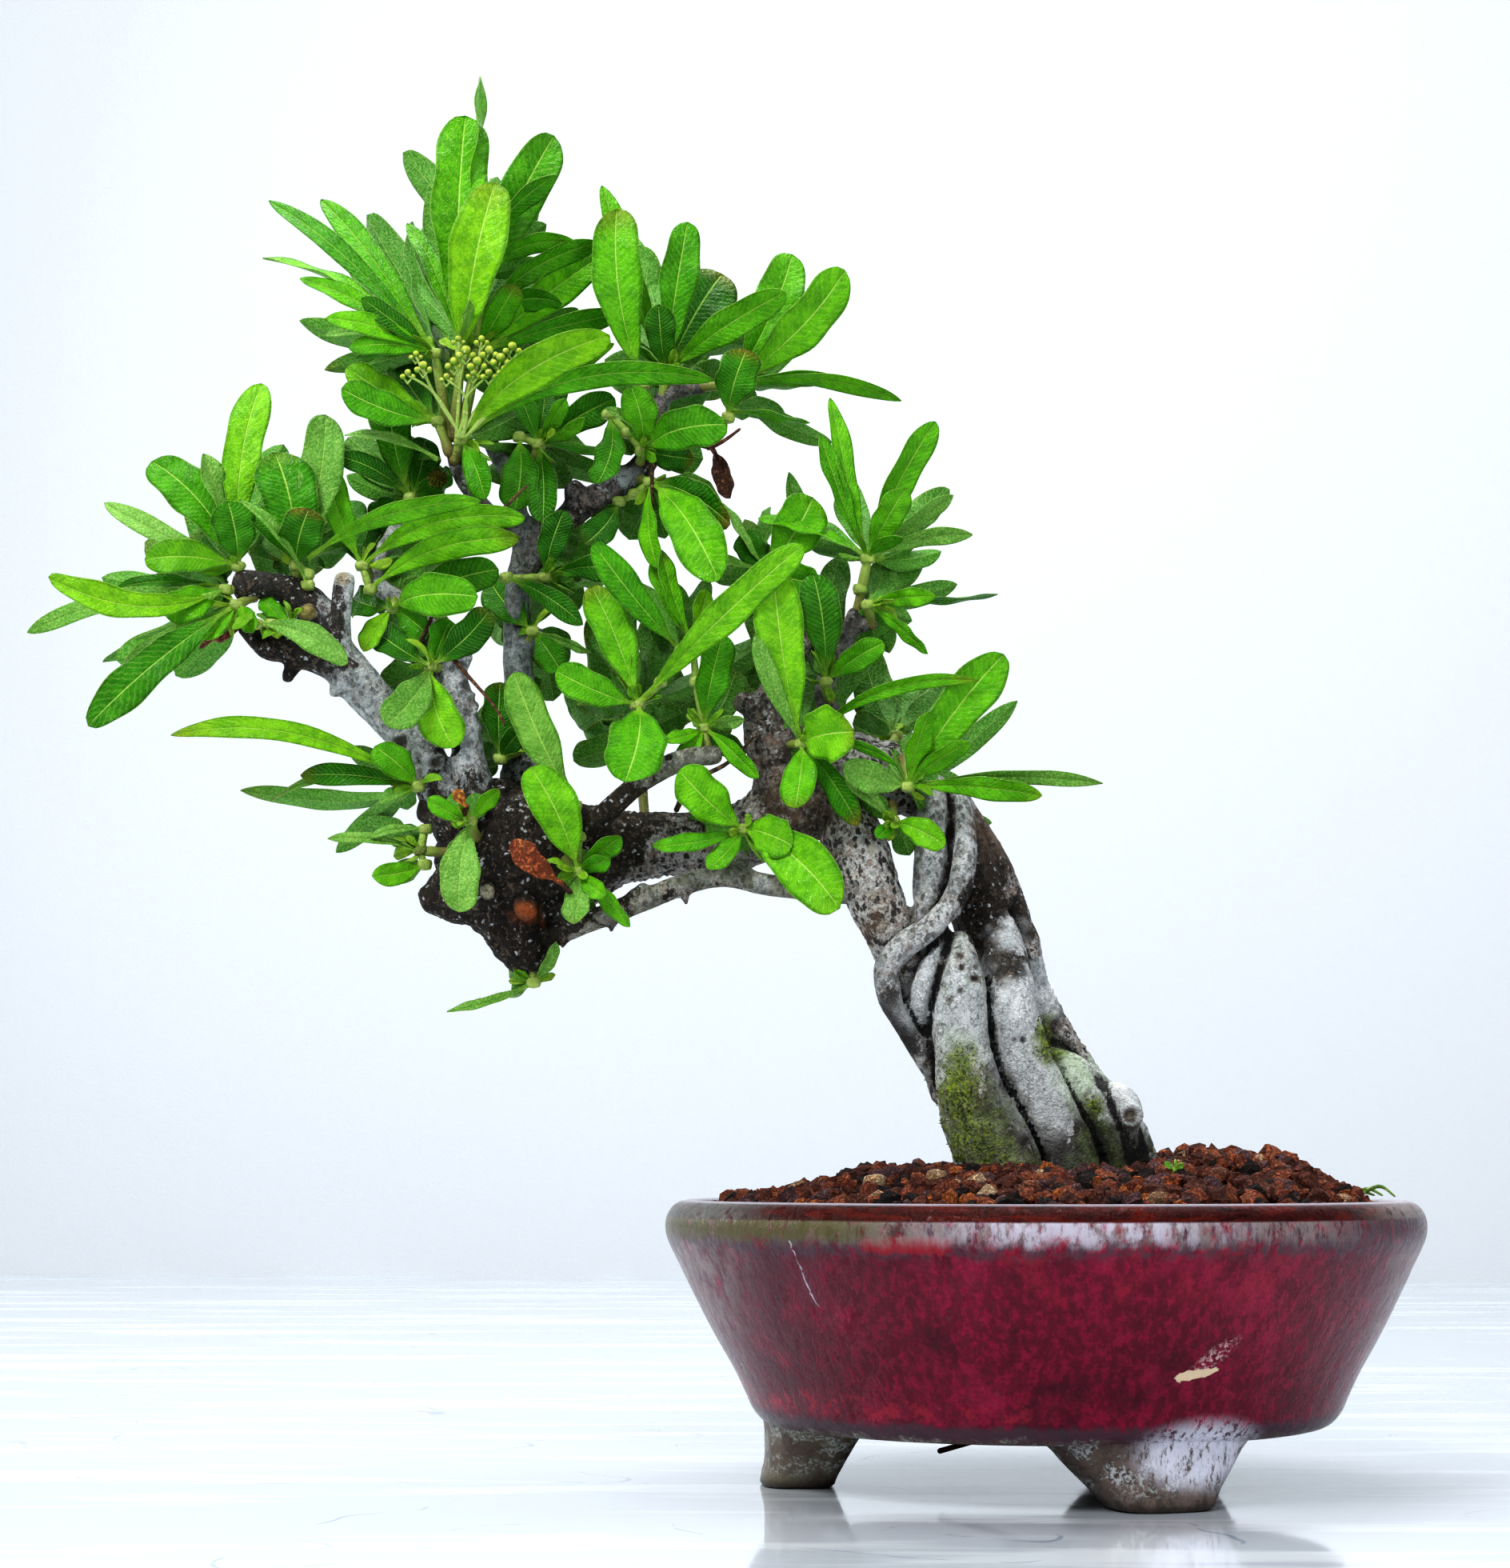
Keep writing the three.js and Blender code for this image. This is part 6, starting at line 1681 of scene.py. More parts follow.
SHOOTS: Dict[str, Shoot] = {
    "apex_crown": Shoot((-150, 268, -7), (-148, 290, -9), "GGGGYGPG", (
        (-142.5, 364.5, 2, 10, 74, 2, 4, -146, 312, -5), (-147, 355, -4, 15, 10, 3, 5),
        (-123, 349, 0, 13, 15, 4, 5, -146, 300, -7), (-123, 337, -6, 7, 50, 10, 5, -146, 312, -6),
        (-140, 336, -20, 14, -10, 3, 8, -148, 287, -11), (-162, 326, -2, 6, 30, -3, 4),
        (-146, 304, -22, 4, 40, 0, 3), (-143, 316, -14, 4, 40, 3, 2),
    ), ((-146, 312, -5),)),
    "apex_left": Shoot((-151, 268, -7), (-155, 290, -8), "DGGGDGPGD", (
        (-199, 333, -2, 6, 30, -3, 3), (-185.5, 333, 4, 7, 20, -2, 3), (-199, 318, -10, 7, 68, -5, 3),
        (-190, 311, -16, 6, 30, -4, 4), (-174, 305, -18, 6, 30, 0, 3), (-183, 300, -20, 6, 20, -5, 3),
        (-184, 296, -10, 4, 60, -8, 2), (-177, 292, -18, 6, 20, -6, 3), (-176, 289, -4, 6, 30, -8, 3),
    )),
    "apex_low_left": Shoot((-151, 264, -8), (-154, 272, -9), "GYPD", (
        (-179, 281, -16, 9, 10, 6, 5), (-178, 287, -8, 8, 20, 3, 3),
        (-178, 269, -10, 4, 40, -8, 3, -154, 262, -6), (-165, 288, 6, 10, 10, 3, 3),
    )),
    "apex_right": Shoot((-148, 268, -8), (-144, 290, -6), "GGGDGG", (
        (-134, 308, -14, 8, 20, 2, 4), (-118, 319, -6, 6, 30, 16, 3, -143, 310, -5),
        (-112, 319, -2, 7, 25, 10, 3, -143, 300, -5), (-122, 303, -2, 7, 30, 20, 3, -143, 296, -5),
        (-112, 316, 6, 10, 10, 2, 4), (-104, 300, 8, 7, 30, 4, 3),
    ), ((-143, 310, -5),)),
    "apex_front": Shoot((-149.5, 262, -8), (-148, 267, -11), "YYGG", (
        (-110, 294, -28, 11, 15, 10, 6), (-108, 291, -22, 7, 30, 8, 3), (-83, 282, -24, 7, 25, 13, 5),
        (-142, 252, -16, 7, 10, 5, 4),
    )),
    "apex_back": Shoot((-150, 268, -4), (-150, 284, 8), "DDDDDDD", (
        (-151, 343, 26, 14, 170, 2, -5), (-130, 332, 30, 12, 160, 3, -5), (-178, 322, 34, 9, 200, -3, -5),
        (-140, 312, 40, 11, 190, 3, -8), (-160, 298, 42, 10, 175, 0, -8), (-124, 298, 36, 10, 160, 2, -5),
        (-170, 282, 30, 9, 190, 3, -6),
    )),
    "left_of_apex": Shoot((-162, 247, 2), (-161, 252, 0), "DDPDDD", (
        (-167, 284, -2, 11, 10, 5, 4), (-180, 263, -8, 6, 20, -8, 4), (-181, 266, -4, 4, 50, -10, 3),
        (-157, 268, 4, 9, 15, -4, 3), (-150, 258, 6, 8, 30, 5, 3), (-172, 246, 10, 9, 20, 5, 4),
    )),
    "upper_middle": Shoot((-129, 261, 4), (-128, 266, 3), "DGDGDGDD", (
        (-133, 280, 2, 6, 20, 0, 3), (-121, 278, -3, 5, 30, 0, 3), (-126, 281, 8, 7, 20, 0, 3),
        (-116, 273, -3, 4, 40, -6, 3), (-108, 278, 8, 9, 15, 4, 4), (-109, 263, -2, 4, 50, 4, 2),
        (-127, 246, -5, 8, 15, 4, 4), (-134, 249, -2, 10, 10, 5, 5, -133, 268, 2),
    ), ((-133, 268, 2),)),
    "upper_right": Shoot((-97, 272, 4), (-95, 285, 2), "GGGDDLDD", (
        (-111, 336, 0, 7, 30, 2, 3), (-108, 329, -5, 13, 5, 6, 5, -101, 282, 1),
        (-89, 325.5, -3, 10, 15, 2, 4), (-97, 303, -9, 8, 10, 2, 4), (-80, 312, 12, 15, 5, 3, 6),
        (-64, 306, -12, 9, 10, 4, 6), (-112, 286, -3, 6, 20, 0, 3), (-105, 292, 6, 6, 25, 0, 3),
    ), ((-101, 282, 1),)),
    "upper_right_tip": Shoot((-86, 281, 4), (-78, 282, 1), "GGDGGG", (
        (-62, 317, 3, 12, 5, -4, 5), (-48, 312, -5, 12, 10, -5, 5),
        (-74, 291, -12, 11, 10, 5, 7, -79, 273, -4), (-51, 283, 5, 5, 40, 4, 3), (-34, 277, 8, 5, 40, 8, 3),
        (-58, 271, -6, 4, 50, 4, 2, -79, 275, -3),
    ), ((-79, 273, -4),)),
    "upper_right_back": Shoot((-98, 268, 6), (-94, 280, 18), "DDDDD", (
        (-102, 318, 36, 12, 170, 3, -5), (-82, 304, 42, 12, 185, 2, -6), (-110, 288, 38, 11, 175, 4, -6),
        (-78, 284, 40, 11, 190, 2, -6), (-92, 270, 48, 12, 180, 0, -8),
    )),
    "right_fork": Shoot((-102, 260, 2), (-101, 264, -3), "GDGPD", (
        (-80, 271, -18, 11, 5, 10, 8), (-88, 262, -5, 7, 10, 0, 4), (-104, 281, -14, 9, 5, -6, 5),
        (-110, 276, -14, 4, 60, -12, 2), (-113, 256, -8, 8, 20, 12, 5, -110, 274, -3),
    ), ((-105, 269, -3), (-110, 274, -3))),
    "right_fork_low": Shoot((-102, 257, 2), (-99, 256, -3), "DGGDDD", (
        (-79, 245, -16, 9, 10, 8, 5), (-82, 231, -20, 13, -5, 6, 6), (-98, 234, -10, 7, 52, -4, 3),
        (-116, 240, -2, 8, 10, 8, 4, -107, 251, 0), (-90, 246, 14, 10, 170, 4, -5),
        (-104, 242, 22, 11, 180, 3, -6),
    ), ((-103, 253, -1), (-107, 251, 0))),
    "leader": Shoot((-131, 230, 5), (-126, 231, 0), "DDDDD", (
        (-121, 248.5, -7, 8, 5, 5, 5), (-103, 232, -3, 7, 20, 10, 4),
        (-117, 219, -9, 6, 20, 6, 3, -136, 231, -1), (-112, 244, 18, 10, 170, 4, -5),
        (-118, 224, 22, 11, 180, 3, -6),
    ), ((-136, 231, -1),)),
    "leader_low": Shoot((-131, 212, 8), (-129, 217, 3), "DPDDDD", (
        (-122, 207, 0, 8, 10, 3, 4), (-115, 211, -5, 3, 45, 4, 2), (-140, 230, 10, 10, 10, 4, 4),
        (-120, 236, 26, 10, 170, 4, -5), (-140, 222, 32, 12, 180, 3, -6), (-124, 200, 30, 10, 175, 3, -6),
    )),
    "centre_left": Shoot((-170, 230, 0), (-173, 234, -4), "GLLDDD", (
        (-183, 261, -8, 8, 10, 4, 4), (-132, 246, -20, 8, 15, 12, 5),
        (-133, 241, -18, 8, 10, 10, 5, -171, 228, -5), (-177, 252, 10, 9, 15, 3, 3),
        (-165, 246, 14, 10, 20, 3, 4), (-160, 252, 20, 10, 165, 4, -5),
    ), ((-171, 228, -5),)),
    "centre_round": Shoot((-164, 227, -1), (-165, 223, -5), "LDYDDDD", (
        (-144, 226, -22, 11, 0, 8, 10), (-138, 233, -6, 10, 10, 6, 5), (-172.5, 212, -8, 6, 20, -5, 3),
        (-156, 216, -10, 8, 15, 4, 4), (-176, 226, 8, 9, 20, 4, 4), (-150, 240, 26, 11, 170, 4, -6),
        (-158, 226, 34, 12, 180, 3, -6),
    )),
    "left_inner": Shoot((-189, 227, -6), (-190, 234, -10), "DPDDPL", (
        (-196, 264, -12, 15, 5, -5, 7), (-183, 274.5, -8, 11, -5, -4, 5), (-202, 250, -16, 9, 35, -6, 6),
        (-187, 249, -22, 11, 5, 5, 8), (-204, 252, -24, 4, 55, -6, 3, -187, 229, -12),
        (-143, 250.5, -24, 6, 25, 9, 5, -187, 236, -12),
    ), ((-187, 232, -12), (-187, 229, -12))),
    "left_inner_back": Shoot((-188, 227, -4), (-189, 235, 6), "DDDDD", (
        (-192, 262, 22, 13, 170, 4, -6), (-204, 246, 26, 11, 190, 3, -6), (-178, 250, 28, 12, 175, 4, -6),
        (-184, 238, 36, 12, 185, 3, -8), (-198, 232, 36, 10, 170, 3, -6),
    )),
    "left_tip_up": Shoot((-203, 229, -10), (-205, 234, -12), "LDPGPYD", (
        (-200, 283, -6, 10, 5, 5, 5), (-208, 251, -20, 11, 5, -4, 6), (-213, 264, -18, 9, 62, 3, 3),
        (-228, 262, -14, 12, 10, -8, 5), (-240, 251.5, -6, 6, 25, 3, 3), (-229, 236, -18, 9, 20, -6, 4),
        (-216, 252, 10, 12, 175, 3, -6),
    )),
    "left_tip_side": Shoot((-203, 228, -10), (-208, 228, -12), "YPDGD", (
        (-253.5, 232, -26, 8, 20, 14, 6), (-259.5, 217.5, -10, 6, 30, -5, 3),
        (-237, 228.5, -8, 4, 35, -6, 2), (-224, 222, -16, 9, 10, 2, 4), (-228, 240, 12, 10, 170, 4, -5),
    )),
    "left_tip_low": Shoot((-201, 226, -10), (-205, 224, -13), "DPGGYD", (
        (-242.5, 193, -24, 10, 10, -3, 5), (-237, 206, -8, 5, 25, -3, 3), (-213, 215, -16, 5, 20, 0, 3),
        (-201, 217, -20, 5, 10, 4, 3), (-206, 218, -24, 4, 20, 20, 4), (-220, 206, 12, 9, 175, 4, -5),
    )),
    "left_under": Shoot((-186, 218, -10), (-191, 219, -14), "PPG", (
        (-177, 209, -22, 7, 10, 10, 5, -200, 219, -16), (-200, 222, -12, 3, 45, 5, 2),
        (-199, 226, -10, 5, 30, 5, 2),
    ), ((-196, 219, -15), (-200, 219, -16))),
    "left_low": Shoot((-155, 180, -4), (-158, 177, -8), "YLDPP", (
        (-221, 192, -20, 6, 15, -9, 5), (-169, 187, -16, 8, 5, -5, 5), (-188, 180, -12, 6, 20, -4, 3),
        (-196, 175, -8, 3, 40, -10, 2), (-168, 173, -12, 4, 30, -5, 2),
    )),
    "knuckle_edge": Shoot((-150, 160, -6), (-157, 160.5, -8), "PPG", (
        (-170, 164.5, -10, 3, 30, -6, 2, -156, 166, -7), (-181, 164, -8, 3, 30, -5, 2),
        (-169, 154, -14, 6, 10, 5, 4, -156, 157, -8),
    ), ((-156, 166, -7), (-157, 160.5, -8), (-156, 157, -8))),
    "knuckle_front": Shoot((-143, 164, -15), (-144.5, 168, -22), "PGL", (
        (-147, 145, -28, 10, 0, -5, 8), (-155.5, 174, -24, 5, 10, 5, 4), (-137, 176, -22, 5, 30, 5, 3),
    )),
    "beside_branch": Shoot((-151, 207, -8), (-155, 208, -13), "PLDDD", (
        (-166, 193, -20, 10, 0, 6, 6), (-149, 187, -14, 11, 10, -8, 5), (-140, 222, -16, 9, 10, -3, 4),
        (-150, 220, -12, 8, 20, 2, 3), (-170, 218, -4, 8, 15, 3, 4),
    )),
    "leader_foot": Shoot((-133, 186, 2), (-137, 184, -5), "DDDD", (
        (-131, 192, -12, 6, 20, 5, 3), (-137, 204, -4, 9, 10, 3, 4), (-128, 204, 14, 9, 170, 4, -5),
        (-146, 190, 22, 10, 185, 4, -6),
    )),
    "knuckle_right": Shoot((-122, 160, -10), (-117, 155, -16), "LPPGGGG", (
        (-129, 182, -24, 12, 10, -4, 6), (-134, 206, -16, 10, 190, 2, 5, -118, 172, -14),
        (-118, 142, -20, 7, 10, 3, 4), (-106, 164, -20, 6, 20, 3, 3), (-109, 158, -22, 5, 30, 4, 3),
        (-104, 141, -18, 5, 25, 4, 3), (-110, 149, -22, 5, 20, -4, 3),
    ), ((-117, 164, -15), (-118, 172, -14))),
    "knuckle_low": Shoot((-129, 133, -4), (-128, 127, -6), "PPD", (
        (-122, 137, -10, 4, 30, -3, 2), (-150, 120, -10, 3, 30, 5, 2), (-134, 132, 12, 6, 150, 3, 3),
    )),
    "middle_high": Shoot((-98, 179, -13), (-102, 198, -10), "LGDPLGL", (
        (-114, 229, -16, 10, 5, -3, 5), (-113.5, 240, -24, 8, 5, 2, 4, -91, 212, -12),
        (-107, 230, -4, 8, 15, 3, 4), (-104, 222, -14, 4, 40, 0, 2), (-60, 239, -30, 9, 10, 2, 5),
        (-123, 207, -14, 9, 10, 4, 5), (-105, 179, -24, 15, 0, 6, 10),
    ), ((-96, 204, -11), (-91, 212, -12))),
    "middle_back": Shoot((-100, 168, 6), (-102, 190, 16), "DDDDDD", (
        (-112, 222, 32, 12, 170, 4, -6), (-92, 218, 36, 12, 185, 4, -6), (-118, 200, 40, 11, 175, 4, -6),
        (-86, 200, 42, 11, 190, 3, -6), (-104, 184, 46, 12, 180, 3, -8), (-118, 184, 26, 9, 165, 3, -5),
    )),
    "middle_upright": Shoot((-84, 184, -9), (-85, 192, -9), "GGGYGGGP", (
        (-80, 216, -18, 9, 10, 3, 5), (-95.5, 238.5, -10, 6, 40, 5, 3, -88, 214, -9),
        (-98, 236, -4, 6, 30, 4, 3, -88, 214, -9), (-84, 228, -6, 6, 30, 0, 3, -88, 214, -9),
        (-95, 189, -16, 4, 25, 4, 2), (-92, 183, -14, 5, 20, 4, 3), (-72, 179, -18, 5, 20, 4, 3),
        (-75, 194, -16, 4, 40, 4, 2),
    ), ((-87, 204, -9), (-88, 214, -9))),
    "middle_low": Shoot((-76, 163, -6), (-75, 166, -15), "GLGLG", (
        (-91, 181, -24, 11, 10, 4, 5), (-51, 146, -30, 14, 5, 8, 7), (-98, 162, -20, 5, 20, 5, 3),
        (-63, 162, -26, 10, 5, 5, 6), (-84, 156, -20, 6, 20, 5, 3),
    )),
    "gnarl_front": Shoot((-65, 188, -6), (-60, 188, -13), "LPGLGDG", (
        (-67, 234, -24, 12, 5, 3, 6), (-72, 216, -26, 5, 15, 3, 3), (-15, 204, -26, 4, 25, 12, 4),
        (-47, 191, -28, 14, 0, 5, 8), (-36, 182, -20, 3, 40, 12, 3), (-46, 167, -16, 7, 20, 4, 4),
        (-62, 172, -22, 9, 10, 3, 5),
    )),
    "gnarl_top": Shoot((-56, 219, 2), (-69, 233, -4), "GDPPGD", (
        (-57, 252, -8, 13, 0, -4, 6), (-75, 243, -6, 8, 5, 5, 5), (-90, 240, -12, 4, 50, 4, 2),
        (-79.5, 251, -10, 4, 50, 3, 2), (-56, 230, -10, 9, 10, -5, 5), (-78, 222, 16, 10, 175, 3, -5),
    ), ((-62, 228, -1),)),
    "gnarl_back": Shoot((-66, 196, 4), (-64, 204, 14), "DDDDD", (
        (-70, 230, 30, 12, 170, 4, -6), (-52, 222, 34, 12, 185, 4, -6), (-78, 208, 38, 11, 175, 4, -6),
        (-50, 198, 40, 12, 190, 3, -6), (-64, 184, 42, 12, 180, 3, -8),
    )),
    "right_spray": Shoot((-46, 221, -2), (-43, 236, -6), "GGGGPPGGG", (
        (-51, 279, -8, 6, 40, 3, 3), (-54, 269, -12, 6, 40, 4, 3), (-25, 272, -10, 8, 15, 4, 4),
        (-33, 254, -16, 8, 10, 3, 4), (-20, 252, -4, 5, 35, 4, 2), (-16, 242, -12, 5, 35, 8, 2),
        (-71, 247, -8, 6, 60, -6, 3), (-65, 248, 4, 6, 60, -6, 3), (-34, 241, -18, 4, 20, 10, 2),
    ), ((-45, 228, -4),)),
    "right_spray_low": Shoot((-42, 219, -4), (-43, 224, -8), "DGGDD", (
        (-9.5, 225, -4, 5, 70, 2, 2), (-26, 226, -16, 5, 20, 4, 2), (-28, 211, -12, 4, 25, 4, 2),
        (-30, 236, 14, 9, 170, 4, -5), (-48, 212, 22, 10, 180, 4, -6),
    )),
    "right_inner": Shoot((-53, 199, -1), (-54, 204, -8), "GDD", (
        (-39, 214, -14, 7, 15, 4, 4), (-57, 232, -14, 10, 10, -4, 5), (-50, 236, 18, 9, 170, 4, -5),
    )),
    "arch_right": Shoot((-34, 184, -5), (-33, 177, -15), "GGGPGP", (
        (-8, 211, -22, 12, 10, 4, 6), (-17, 188, -20, 6, 30, 6, 4), (-27, 196, -24, 7, 30, 4, 4),
        (17, 177, -16, 4, 25, 5, 2), (1, 174, -20, 6, 20, 4, 3), (-49, 182, -24, 8, 10, 4, 4),
    )),
    "arch_low": Shoot((-37, 172, -6), (-37, 168, -15), "LPG", (
        (-24, 162, -24, 7, 5, 5, 4), (-49, 179, -20, 4, 25, -4, 3), (-41, 164, -20, 4, 20, 4, 3),
    )),
    "arch_back": Shoot((-38, 186, 8), (-36, 190, 18), "DDDD", (
        (-16, 202, 30, 11, 170, 4, -6), (-44, 212, 34, 11, 185, 4, -6), (-30, 178, 40, 12, 180, 3, -8),
        (-52, 186, 36, 11, 175, 4, -6),
    )),
}


@dataclass
class Blades:
    """Leaves with a stalk, a folded and twisted blade and a rounded, finely pointed tip."""

    drawing: Drawing
    rows: int = 26
    lines: Row = (-1.0, -0.86, -0.6, -0.3, -0.09, 0.0, 0.09, 0.3, 0.6, 0.86, 1.0)
    # parts of the length: the stalk, and on the blade its widest place and the start of its tip
    stalk: float = 0.1
    widest: float = 0.62
    tip_from: float = 0.66
    thick: float = 0.34

    def grown(
        self, base: np.ndarray, tip: np.ndarray, rows: np.ndarray, tints: np.ndarray,
        under: np.ndarray, rng: np.random.Generator, fold: float = 0.3,
    ) -> Patch:
        """Leaves from their bases to their tips.

        Formula: the middle line is the straight line from base to tip plus 4 t (1 - t) times the
        sweep and the bulge. The half width grows as a sine over the first 0.62 of the blade and
        ends as (1 - q to the power 2.5) to the power of the tip's bluntness, where q runs over the
        last third. The blade rises by the fold times the distance from the rib, and its edges wave.

        Args:
            base: bases, (L, 3), in metres.
            tip: tips, (L, 3), in metres.
            rows: width in millimetres, turn in degrees, sweep and bulge, (L, 4).
            tints: linear RGBA of each leaf, (L, 4).
            under: one where the leaf shows its lower side to the front.
            rng: random draws.
            fold: how steeply the halves rise from the rib.

        Returns:
            The closed leaves with the values tint and blade.
        """
        count = len(base)
        s = np.linspace(0.0, 1.0, self.rows)
        t = (s * (1.55 - 0.55 * s))[None, :]
        draws = rng.random((count, 8))
        width, turn, sweep, bulge = rows.T * np.array([[MM], [np.pi / 180.0], [1.0], [1.0]])
        length = np.linalg.norm(tip - base, axis=1)
        along = unit(tip - base)
        front = self.drawing.eye_point - base
        front = unit(front - along * (front * along).sum(1, keepdims=True))
        left = np.cross(front, along)
        twist = (draws[:, :1] - 0.5) * 0.9 * (t - 0.35)
        angle = (turn[:, None] + twist * np.clip(0.006 / width[:, None], 0.3, 1.5))[..., None]
        face = front[:, None] * np.cos(angle) + np.cross(along, front)[:, None] * np.sin(angle)
        side = np.cross(along[:, None], face)
        bow = (4.0 * t * (1.0 - t) * length[:, None])[..., None]
        middle = base[:, None] + along[:, None] * (t * length[:, None])[..., None]
        middle = middle + left[:, None] * sweep[:, None, None] * bow
        middle = middle + front[:, None] * bulge[:, None, None] * bow
        curl = (0.02 + 0.05 * draws[:, 1:2]) * length[:, None] * np.clip(t - 0.5, 0, 1) ** 2 * 4.0
        middle = middle - face * curl[..., None]
        blade = np.clip((t - self.stalk) / (1.0 - self.stalk), 0.0, 1.0)
        blunt = np.clip(1.15 - 75.0 * width, 0.5, 0.85)[:, None]
        wedge = np.sin(np.pi / 2.0 * np.clip(blade / self.widest, 0.0, 1.0)) ** 0.85
        ending = np.clip((blade - self.tip_from) / 0.34, 0.0, 1.0)
        round_tip = (1.0 - ending**2.5) ** blunt
        half = wedge * round_tip * width[:, None] / 2.0
        stem = np.clip(1.0 - (t - self.stalk) / 0.08, 0.0, 1.0)
        half = np.maximum(half, (0.14 + 0.5 * stem) * MM)
        wave = 1.0 + 0.05 * np.sin(17.0 * t + 6.3 * draws[:, 2:3]) * (width[:, None] > 0.006)
        half = half * wave
        u = np.array(self.lines)[None, None]
        steep = (fold * (0.5 + 0.9 * draws[:, 3:4]) * (1.0 - 0.5 * t))[..., None]
        rise = steep * (np.abs(u) ** 1.25) * half[..., None]
        hand = np.where(u < 0.0, 0.0, 2.0)
        pace = 2.0 * np.pi * (1.6 + 1.6 * draws[:, 4:5, None])
        ripple = np.sin(pace * t[..., None] + 6.3 * draws[:, 5:6, None] + hand)
        rise = rise + (0.1 + 0.12 * draws[:, 6:7, None]) * ripple * u**2 * half[..., None]
        body = (self.thick + 0.55 * stem[..., None]) * np.sqrt(1.0 - 0.85 * u**2) * MM
        groove = np.exp(-((u / 0.1) ** 2)) * (1.0 - stem[..., None]) * (half[..., None] > 0.8 * MM) * MM
        upper = middle[:, :, None] + side[:, :, None] * (u * half[..., None])[..., None]
        lower = upper + face[:, :, None] * (rise - body / 2.0 - 0.22 * groove)[..., None]
        upper = upper + face[:, :, None] * (rise + body / 2.0 - 0.2 * groove)[..., None]
        ring = np.concatenate([upper, lower[:, :, ::-1]], axis=2)
        columns = ring.shape[2]
        number = self.rows * columns
        cell = grid_faces(self.rows, columns, True)
        k = np.arange(columns // 2 - 1)
        cap = np.stack([k, k + 1, columns - 2 - k, columns - 1 - k], axis=1)
        faces = np.concatenate([cell, cap, cap[:, ::-1] + number - columns])
        faces = (faces[None] + (np.arange(count) * number)[:, None, None]).reshape(-1, 4)
        points = ring.reshape(-1, 3)
        far = np.broadcast_to(t[..., None], (count, self.rows, columns))
        across = np.broadcast_to(np.concatenate([u, u[..., ::-1]], axis=2), far.shape)
        below = np.repeat([0.0, 1.0], columns // 2)[None, None] * np.ones(far.shape)
        below = np.where(under[:, None, None] > 0.5, 1.0 - below, below)
        shade = 1.0 + 0.1 * lumps(points, 5.0, 91, 2).reshape(far.shape) + 0.1 * (draws[:, 7:8, None] - 0.5)
        colour = tints[:, None, None] * shade[..., None]
        young = np.array(linear("#b6d65a"))
        pale = (ease(far, 0.28, 0.05) * 0.6)[..., None]
        colour = colour * (1.0 - pale) + young * pale
        # old leaves go yellow, then brown, from the tip
        worn = ((draws[:, 7] > 0.78) * (draws[:, 5] * 0.8))[:, None, None] * ease(far, 0.8, 1.0)
        colour = colour * (1.0 - worn[..., None]) + np.array(linear("#8c6a24")) * worn[..., None]
        colour[..., 3] = 1.0
        values = {"tint": colour.reshape(-1, 4),
                  "blade": np.stack([far, across, below], axis=3).reshape(-1, 3)}
        return Patch(points, [faces], values).outward()


